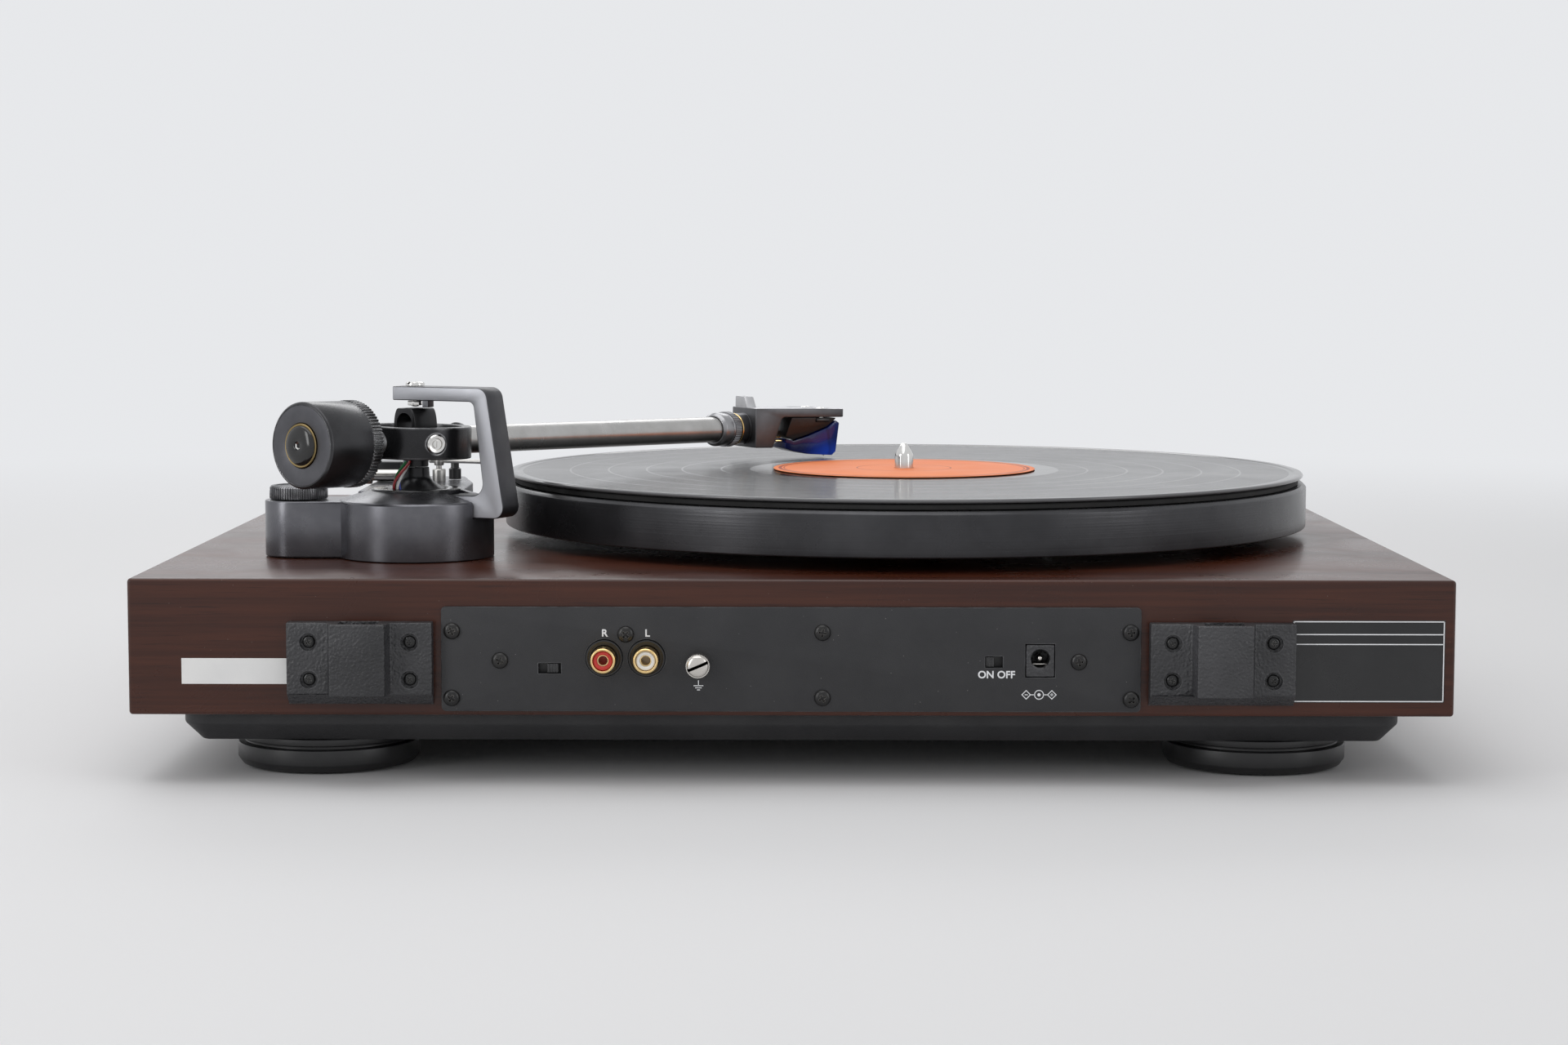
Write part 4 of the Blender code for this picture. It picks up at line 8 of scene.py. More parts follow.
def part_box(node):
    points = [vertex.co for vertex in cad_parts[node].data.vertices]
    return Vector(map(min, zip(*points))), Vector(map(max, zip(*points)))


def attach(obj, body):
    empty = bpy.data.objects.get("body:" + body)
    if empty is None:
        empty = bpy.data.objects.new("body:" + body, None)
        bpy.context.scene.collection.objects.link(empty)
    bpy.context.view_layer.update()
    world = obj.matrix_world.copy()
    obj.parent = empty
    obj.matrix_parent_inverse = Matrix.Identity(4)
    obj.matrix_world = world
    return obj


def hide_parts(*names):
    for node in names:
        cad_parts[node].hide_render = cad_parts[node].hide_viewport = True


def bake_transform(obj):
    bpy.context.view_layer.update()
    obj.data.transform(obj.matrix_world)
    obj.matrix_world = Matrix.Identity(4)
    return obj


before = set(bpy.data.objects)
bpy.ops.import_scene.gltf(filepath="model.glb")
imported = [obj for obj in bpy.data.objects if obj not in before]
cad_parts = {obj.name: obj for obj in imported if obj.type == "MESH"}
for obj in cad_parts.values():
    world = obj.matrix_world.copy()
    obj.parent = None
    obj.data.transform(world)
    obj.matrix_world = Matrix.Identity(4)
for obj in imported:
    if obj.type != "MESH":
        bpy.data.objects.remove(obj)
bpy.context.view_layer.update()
print("frame loaded:", len(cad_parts), "nodes")

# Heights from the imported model, and places shared by several pieces, all in metres
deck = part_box("plinth")[1].z
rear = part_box("plinth")[1].y
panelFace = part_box("rear_panel")[1].y
gap = 0.0003
pivot = Vector((0.132, 0.0935, deck))
platterAxis = Vector((-0.043, -0.0025, deck))
knobPlace = (-0.190, -0.1405)
guide = Vector((-0.0030, -0.0430, 0))                  # the lift's rod, from the pivot
sidewards = -24                                        # degrees from the tube to the head's axis
armSlope = 1.24                                        # degrees by which the arm falls to its head


# Placing

def move(x, y, z):
    return Matrix.Translation((x, y, z))


def turnX(degrees):
    return Matrix.Rotation(math.radians(degrees), 4, "X")


def turnY(degrees):
    return Matrix.Rotation(math.radians(degrees), 4, "Y")


def turnZ(degrees):
    return Matrix.Rotation(math.radians(degrees), 4, "Z")


atPivot = Matrix.Translation(pivot)
atPlatter = Matrix.Translation(platterAxis)
outwards = turnX(-90)                                  # local Z leaves the rear panel
readable = Matrix(((-1, 0, 0, 0), (0, 0, 1, 0), (0, 1, 0, 0), (0, 0, 0, 1)))  # print on the rear face
armAngle = -127.4
armHeight = 0.0405
swing = atPivot @ turnZ(armAngle)                      # local X runs along the tube
tilt = swing @ move(0, 0, armHeight) @ turnZ(sidewards) @ turnY(armSlope) @ turnZ(-sidewards)
tubeLine = tilt @ turnY(90)                            # local Z runs to the head
headAxis = tilt @ move(0.1840, 0, 0) @ turnZ(sidewards)
weightLine = tilt @ move(-0.0300, 0, 0) @ turnY(-90)   # local Z runs backwards
yokeTurn = turnZ(155)
yokeFace = atPivot @ yokeTurn @ turnX(90)


def anglesOf(matrix):
    return tuple(math.degrees(part) for part in matrix.to_euler())


tubeAngles = anglesOf(tubeLine)
weightAngles = anglesOf(weightLine)


def onPanel(x, drop, y=None):
    return move(x, panelFace if y is None else y, deck - drop)


# Mesh helpers

def spun(profile, steps=96):
    # turns a profile of (radius, height) about local Z; one that starts off the axis is closed to a ring
    bm = bmesh.new()
    verts = [bm.verts.new((radius, 0, height)) for radius, height in profile]
    edges = [bm.edges.new(pair) for pair in zip(verts, verts[1:])]
    if profile[0][0] > 0:
        edges.append(bm.edges.new((verts[-1], verts[0])))
    bmesh.ops.spin(bm, geom=verts + edges, cent=(0, 0, 0), axis=(0, 0, 1), dvec=(0, 0, 0),
                   angle=2 * math.pi, steps=steps, use_merge=True)
    bmesh.ops.remove_doubles(bm, verts=bm.verts, dist=0.000001)
    bmesh.ops.recalc_face_normals(bm, faces=bm.faces)
    return bm


def block(size, centre=(0, 0, 0)):
    bm = bmesh.new()
    bmesh.ops.create_cube(bm, size=1)
    bmesh.ops.scale(bm, vec=size, verts=bm.verts)
    bmesh.ops.translate(bm, vec=centre, verts=bm.verts)
    return bm


def drum(radius, height, segments=64, bottom=0.0, top=None):
    bm = bmesh.new()
    bmesh.ops.create_cone(bm, cap_ends=True, segments=segments, radius1=radius,
                          radius2=radius if top is None else top, depth=height)
    bmesh.ops.translate(bm, vec=(0, 0, bottom + height / 2), verts=bm.verts)
    return bm


def plate(corners, thickness, steps=8):
    # corners are (x, y) or (x, y, round); the plate lies about z = 0
    bm = bmesh.new()
    verts = [bm.verts.new((corner[0], corner[1], -thickness / 2)) for corner in corners]
    bm.faces.new(verts)
    count = len(corners)
    for index, corner in enumerate(corners):
        if len(corner) < 3:
            continue
        here = Vector(corner[:2])
        before = (Vector(corners[index - 1][:2]) - here).normalized()
        after = (Vector(corners[(index + 1) % count][:2]) - here).normalized()
        reach = corner[2] / math.tan(before.angle(after) / 2)
        bmesh.ops.bevel(bm, geom=[verts[index]], offset=reach, segments=steps, profile=0.5,
                        affect="VERTICES", material=-1)
    made = bmesh.ops.extrude_face_region(bm, geom=bm.faces[:])
    top = [item for item in made["geom"] if isinstance(item, bmesh.types.BMVert)]
    bmesh.ops.translate(bm, vec=(0, 0, thickness), verts=top)
    bmesh.ops.recalc_face_normals(bm, faces=bm.faces)
    return bm


def bevelEdges(bm, edges, width, segments, clamp=False):
    bmesh.ops.bevel(bm, geom=edges, offset=width, segments=segments, profile=0.5, affect="EDGES",
                    material=-1, clamp_overlap=clamp)


def roundEdges(bm, width, segments=3, limit=30, only=None):
    # limit is the least angle of a sharp edge, and only picks among those
    sharp = [edge for edge in bm.edges if len(edge.link_faces) == 2
             and edge.calc_face_angle() > math.radians(limit)
             and (only is None or only(edge))]
    bevelEdges(bm, sharp, width, segments, True)
    return bm


def splitAt(bm, place, normal):
    bmesh.ops.bisect_plane(bm, geom=bm.verts[:] + bm.edges[:] + bm.faces[:], plane_co=place,
                           plane_no=normal)


def flatJoined(bm):
    bmesh.ops.dissolve_limit(bm, angle_limit=0.01, verts=bm.verts, edges=bm.edges)


def placed(bm, matrix):
    bmesh.ops.transform(bm, matrix=matrix, verts=bm.verts)
    return bm


def linked(name, data):
    made = bpy.data.objects.new(name, data)
    bpy.context.scene.collection.objects.link(made)
    return made


def meshFrom(bm, name):
    mesh = bpy.data.meshes.new(name)
    bm.to_mesh(mesh)
    bm.free()
    return mesh


def evaluated(item):
    graph = bpy.context.evaluated_depsgraph_get()
    result = bpy.data.meshes.new_from_object(item.evaluated_get(graph))
    bm = bmesh.new()
    bm.from_mesh(result)
    bpy.data.meshes.remove(result)
    return bm


def gathered(*parts):
    # several closed shells in one mesh
    whole = bmesh.new()
    for part in parts:
        holder = meshFrom(part, "holder")
        whole.from_mesh(holder)
        bpy.data.meshes.remove(holder)
    return whole


def carved(bm, tools, operation="DIFFERENCE"):
    work = linked("work", meshFrom(bm, "work"))
    helpers = [linked("tool", meshFrom(tool, "tool")) for tool in tools]
    for helper in helpers:
        step = work.modifiers.new("carve", "BOOLEAN")
        step.operation = operation
        step.solver = "EXACT"
        step.object = helper
    out = evaluated(work)
    for thing in [work] + helpers:
        data = thing.data
        bpy.data.objects.remove(thing, do_unlink=True)
        bpy.data.meshes.remove(data)
    bmesh.ops.remove_doubles(out, verts=out.verts, dist=0.0000005)
    return out


def knurled(radius, height, ridges, depth, crown=0.0):
    # a drum with straight ridges; crown draws both ends in a little
    bm = drum(radius, height, segments=4 * ridges)
    if crown:
        for level in (crown, height - crown):
            splitAt(bm, (0, 0, level), (0, 0, 1))
        for vert in bm.verts:
            if vert.co.z < crown / 2 or vert.co.z > height - crown / 2:
                vert.co.x *= 1 - crown / radius
                vert.co.y *= 1 - crown / radius
    step = math.pi / (2 * ridges)
    for vert in bm.verts:
        place = round(math.atan2(vert.co.y, vert.co.x) / step) % 4
        if place in (1, 2):
            share = (radius - depth) / radius
            vert.co.x *= share
            vert.co.y *= share
    return bm


def meshOf(curve, weld):
    holder = linked(curve.name, curve)
    bm = evaluated(holder)
    bpy.data.objects.remove(holder, do_unlink=True)
    bpy.data.curves.remove(curve)
    bmesh.ops.remove_doubles(bm, verts=bm.verts, dist=weld)
    bmesh.ops.recalc_face_normals(bm, faces=bm.faces)
    return bm


def rod(points, radius, resolution=6):
    curve = bpy.data.curves.new("rod", "CURVE")
    curve.dimensions = "3D"
    curve.bevel_depth = radius
    curve.bevel_resolution = resolution
    curve.use_fill_caps = True
    line = curve.splines.new("POLY")
    line.points.add(len(points) - 1)
    for point, at in zip(line.points, points):
        point.co = (*at, 1)
    return meshOf(curve, 0.000005)


letterShape = {"capital": 0.72, "swell": 0.035, "thickness": 0.00006}


def lettering(words, height, thickness=letterShape["thickness"]):
    # height is a capital's, and the letters stand on z = 0
    curve = bpy.data.curves.new("lettering", "FONT")
    curve.body = words
    curve.size = height / letterShape["capital"]
    curve.align_x = "CENTER"
    curve.offset = height * letterShape["swell"]
    curve.extrude = thickness / 2
    return placed(meshOf(curve, 0.000001), move(0, 0, thickness / 2))


def newPiece(name, bm, look, body, stands=(), smooth=32):
    mesh = meshFrom(bm, name)
    mesh.materials.append(look)
    mesh.shade_smooth()
    mesh.set_sharp_from_angle(angle=math.radians(smooth))
    piece = linked(name, mesh)
    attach(piece, body)
    if stands:
        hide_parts(*stands)
    return piece


def dress(node, look):
    # a CAD node that stays gets a better material
    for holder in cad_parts[node].material_slots:
        holder.material = look


# Shader groups

def newGroup(name, inputs, outputs):
    group = bpy.data.node_groups.new(name, "ShaderNodeTree")
    for label, kind, value in inputs:
        made = group.interface.new_socket(name=label, in_out="INPUT", socket_type=kind)
        if value is not None:
            made.default_value = value
    for label, kind in outputs:
        group.interface.new_socket(name=label, in_out="OUTPUT", socket_type=kind)
    start = group.nodes.new("NodeGroupInput")
    end = group.nodes.new("NodeGroupOutput")
    return group, start, end


def feed(tree, socket, source):
    if isinstance(source, bpy.types.NodeSocket):
        tree.links.new(source, socket)
    else:
        socket.default_value = source


def addNode(tree, kind, links=None, **settings):
    made = tree.nodes.new("ShaderNode" + kind)
    for name, value in settings.items():
        setattr(made, name, value)
    for socket, source in (links or {}).items():
        feed(tree, made.inputs[socket], source)
    return made


def maths(tree, operation, first, second=0.0, clamp=False):
    return addNode(tree, "Math", {0: first, 1: second}, operation=operation, use_clamp=clamp).outputs[0]


def noise(tree, at, scale, **more):
    links = {name.title(): value for name, value in more.items()}
    return addNode(tree, "TexNoise", {"Vector": at, "Scale": scale, **links}).outputs["Fac"]


def stretched(tree, at, scale):
    return addNode(tree, "Mapping", {"Vector": at, "Scale": scale}).outputs[0]


def ranged(tree, value, low, high, **settings):
    # 0 at low and 1 at high
    made = addNode(tree, "MapRange", {"Value": value, "From Min": low, "From Max": high}, **settings)
    return made.outputs["Result"]


def radiusOf(tree, at):
    parts = addNode(tree, "SeparateXYZ", {0: at}).outputs
    squares = [maths(tree, "MULTIPLY", parts[axis], parts[axis]) for axis in (0, 1)]
    return maths(tree, "SQRT", maths(tree, "ADD", *squares)), parts[2]


def buildGrainGroup():
    # pebbled moulding or powder grain: a height and a slow change of tone
    group, start, end = newGroup(
        "pebbledGrain",
        [("Vector", "NodeSocketVector", None), ("Size", "NodeSocketFloat", 0.0005),
         ("Sharpness", "NodeSocketFloat", 0.5)],
        [("Height", "NodeSocketFloat"), ("Tone", "NodeSocketFloat")])
    at = start.outputs["Vector"]
    scale = maths(group, "DIVIDE", 1.0, start.outputs["Size"])
    fine = noise(group, at, scale, detail=3.0, roughness=0.55)
    cells = addNode(group, "TexVoronoi", {"Vector": at, "Scale": scale}, feature="SMOOTH_F1")
    pebble = maths(group, "MULTIPLY", cells.outputs["Distance"], start.outputs["Sharpness"])
    slow = noise(group, at, maths(group, "MULTIPLY", scale, 0.021), detail=4.0, roughness=0.6)
    feed(group, end.inputs["Height"], maths(group, "SUBTRACT", fine, pebble))
    feed(group, end.inputs["Tone"], slow)
    return group


def buildTurningGroup():
    # fine lines left by a lathe, about local Z
    group, start, end = newGroup(
        "turningMarks",
        [("Vector", "NodeSocketVector", None), ("Pitch", "NodeSocketFloat", 0.0003)],
        [("Height", "NodeSocketFloat")])
    radius, height = radiusOf(group, start.outputs["Vector"])
    scale = maths(group, "DIVIDE", 1.0, start.outputs["Pitch"])
    ring = addNode(group, "CombineXYZ", {0: maths(group, "MULTIPLY", radius, scale),
                                         1: maths(group, "MULTIPLY", height, scale)})
    lines = addNode(group, "TexNoise", {"Vector": ring.outputs[0], "Scale": 1.0, "Detail": 2.0},
                    noise_dimensions="2D")
    feed(group, end.inputs["Height"], lines.outputs["Fac"])
    return group


def buildHandlingGroup():
    # soft smudges for roughness, and a little dust
    group, start, end = newGroup(
        "handlingMarks",
        [("Vector", "NodeSocketVector", None), ("Low", "NodeSocketFloat", 0.3),
         ("High", "NodeSocketFloat", 0.5), ("Dust", "NodeSocketFloat", 0.0)],
        [("Roughness", "NodeSocketFloat"), ("Speck", "NodeSocketFloat")])
    at = start.outputs["Vector"]
    smear = noise(group, at, 26.0, detail=5.0, roughness=0.62, distortion=0.6)
    spread = addNode(group, "MapRange", {"Value": smear, "From Min": 0.32, "From Max": 0.68,
                                         "To Min": start.outputs["Low"], "To Max": start.outputs["High"]})
    grit = addNode(group, "TexVoronoi", {"Vector": at, "Scale": 520.0})
    near = maths(group, "LESS_THAN", grit.outputs["Distance"], 0.06)
    draw = addNode(group, "SeparateColor", {0: grit.outputs["Color"]}).outputs[0]
    speck = maths(group, "MULTIPLY", near, maths(group, "GREATER_THAN", draw, 0.82))
    feed(group, end.inputs["Roughness"], spread.outputs["Result"])
    feed(group, end.inputs["Speck"], maths(group, "MULTIPLY", speck, start.outputs["Dust"]))
    return group


def buildEdgeGroup():
    # painted highlight along edges, in patches: where the rounded normal leaves the flat one
    group, start, end = newGroup(
        "paintedEdgeHighlight",
        [("Vector", "NodeSocketVector", None), ("Width", "NodeSocketFloat", 0.0005)],
        [("Mask", "NodeSocketFloat")])
    soft = addNode(group, "Bevel", {"Radius": start.outputs["Width"]}, samples=4)
    shape = addNode(group, "NewGeometry")
    same = addNode(group, "VectorMath", {0: soft.outputs["Normal"], 1: shape.outputs["Normal"]},
                   operation="DOT_PRODUCT")
    turned = maths(group, "SUBTRACT", 1.0, same.outputs["Value"])
    turned = maths(group, "MULTIPLY", turned, 5.0, clamp=True)
    patches = noise(group, start.outputs["Vector"], 180.0, detail=4.0)
    feed(group, end.inputs["Mask"], maths(group, "MULTIPLY", turned, ranged(group, patches, 0.35, 0.65)))
    return group


def buildVeneerGroup():
    # long grain along X with pores and slow bands of colour
    group, start, end = newGroup(
        "veneerGrain", [("Vector", "NodeSocketVector", None)],
        [("Band", "NodeSocketFloat"), ("Streak", "NodeSocketFloat"), ("Pore", "NodeSocketFloat")])
    bands, streaks, pores = [stretched(group, start.outputs["Vector"], scale)
                             for scale in ((1.6, 26, 26), (9, 420, 420), (55, 1900, 1900))]
    feed(group, end.inputs["Band"], noise(group, bands, 1.0, detail=5.0, roughness=0.6, distortion=1.1))
    feed(group, end.inputs["Streak"], noise(group, streaks, 1.0, detail=4.0, roughness=0.65))
    feed(group, end.inputs["Pore"], ranged(group, noise(group, pores, 1.0, detail=2.0), 0.60, 0.72))
    return group


groups = {
    "grain": buildGrainGroup(),
    "turning": buildTurningGroup(),
    "handling": buildHandlingGroup(),
    "edge": buildEdgeGroup(),
    "veneer": buildVeneerGroup(),
}
print("shader groups built")


# Materials

def linkGroup(tree, key, links):
    made = tree.nodes.new("ShaderNodeGroup")
    made.node_tree = groups[key]
    for socket, source in links.items():
        feed(tree, made.inputs[socket], source)
    return made.outputs


def mixColour(tree, factor, first, second):
    made = addNode(tree, "Mix", data_type="RGBA")
    feed(tree, made.inputs[0], factor)
    for socket, value in ((made.inputs[6], first), (made.inputs[7], second)):
        feed(tree, socket, value if isinstance(value, bpy.types.NodeSocket) else (*value, 1))
    return made.outputs[2]


def newLook(name, centre=(0, 0, 0), turn=(0, 0, 0)):
    look = bpy.data.materials.new(name)
    look.use_nodes = True
    tree = look.node_tree
    where = addNode(tree, "TexCoord")
    angles = tuple(math.radians(angle) for angle in turn)
    local = addNode(tree, "Mapping", {"Vector": where.outputs["Object"], "Location": centre,
                                      "Rotation": angles}, vector_type="TEXTURE")
    return look, tree, local.outputs["Vector"]


def bumped(tree, height, strength, distance, before=None):
    links = {"Height": height, "Strength": strength, "Distance": distance}
    if before:
        links["Normal"] = before
    return addNode(tree, "Bump", links).outputs["Normal"]


def endLook(look, colour, rough, normal, **more):
    shader = look.node_tree.nodes["Principled BSDF"]
    links = {"Base Color": colour, "Roughness": rough, "Normal": normal}
    links.update({name.replace("_", " "): value for name, value in more.items()})
    for socket, source in links.items():
        feed(look.node_tree, shader.inputs[socket], source)
    return look


def finishLook(name, finish, centre=(0, 0, 0), turn=(0, 0, 0)):
    # finish: colour, second, rough (low, high) and grain (size, depth); where wanted also pebble, dust,
    # metal, coat, rings (pitch, depth), edge (amount, width, painted highlight colour) and paintedLitFace
    # (normal, painted highlight colour)
    look, tree, at = newLook(name, centre, turn)
    grainSize, grainDepth = finish["grain"]
    grain = linkGroup(tree, "grain", {"Vector": at, "Size": grainSize,
                                      "Sharpness": finish.get("pebble", 0.4)})
    tone = ranged(tree, grain["Tone"], 0.35, 0.65)
    colour = mixColour(tree, tone, finish["colour"], finish["second"])
    low, high = finish["rough"]
    marks = linkGroup(tree, "handling", {"Vector": at, "Low": low, "High": high,
                                         "Dust": finish.get("dust", 0.0)})
    # painted highlight: rounded edges turn toward a light colour
    if "edge" in finish:
        amount, width, highlightColour = finish["edge"]
        edgeHighlight = linkGroup(tree, "edge", {"Vector": at, "Width": width})
        colour = mixColour(tree, maths(tree, "MULTIPLY", edgeHighlight["Mask"], amount), colour, highlightColour)
    # painted light: faces square to the given normal are painted lighter
    if "paintedLitFace" in finish:
        normal, bright = finish["paintedLitFace"]
        where = addNode(tree, "TexCoord")
        flat = addNode(tree, "VectorMath", {0: where.outputs["Normal"], 1: normal},
                       operation="DOT_PRODUCT")
        level = maths(tree, "ABSOLUTE", flat.outputs["Value"])
        colour = mixColour(tree, maths(tree, "GREATER_THAN", level, 0.9), colour, bright)
    if "dust" in finish:
        colour = mixColour(tree, marks["Speck"], colour, (0.35, 0.34, 0.33))
    normal = bumped(tree, grain["Height"], 1.0, grainDepth)
    if "rings" in finish:
        pitch, depth = finish["rings"]
        lines = linkGroup(tree, "turning", {"Vector": at, "Pitch": pitch})
        normal = bumped(tree, lines["Height"], 1.0, depth, normal)
    return endLook(look, colour, marks["Roughness"], normal, Metallic=finish.get("metal", 0.0),
                   Coat_Weight=finish.get("coat", 0.0), Coat_Roughness=0.08)
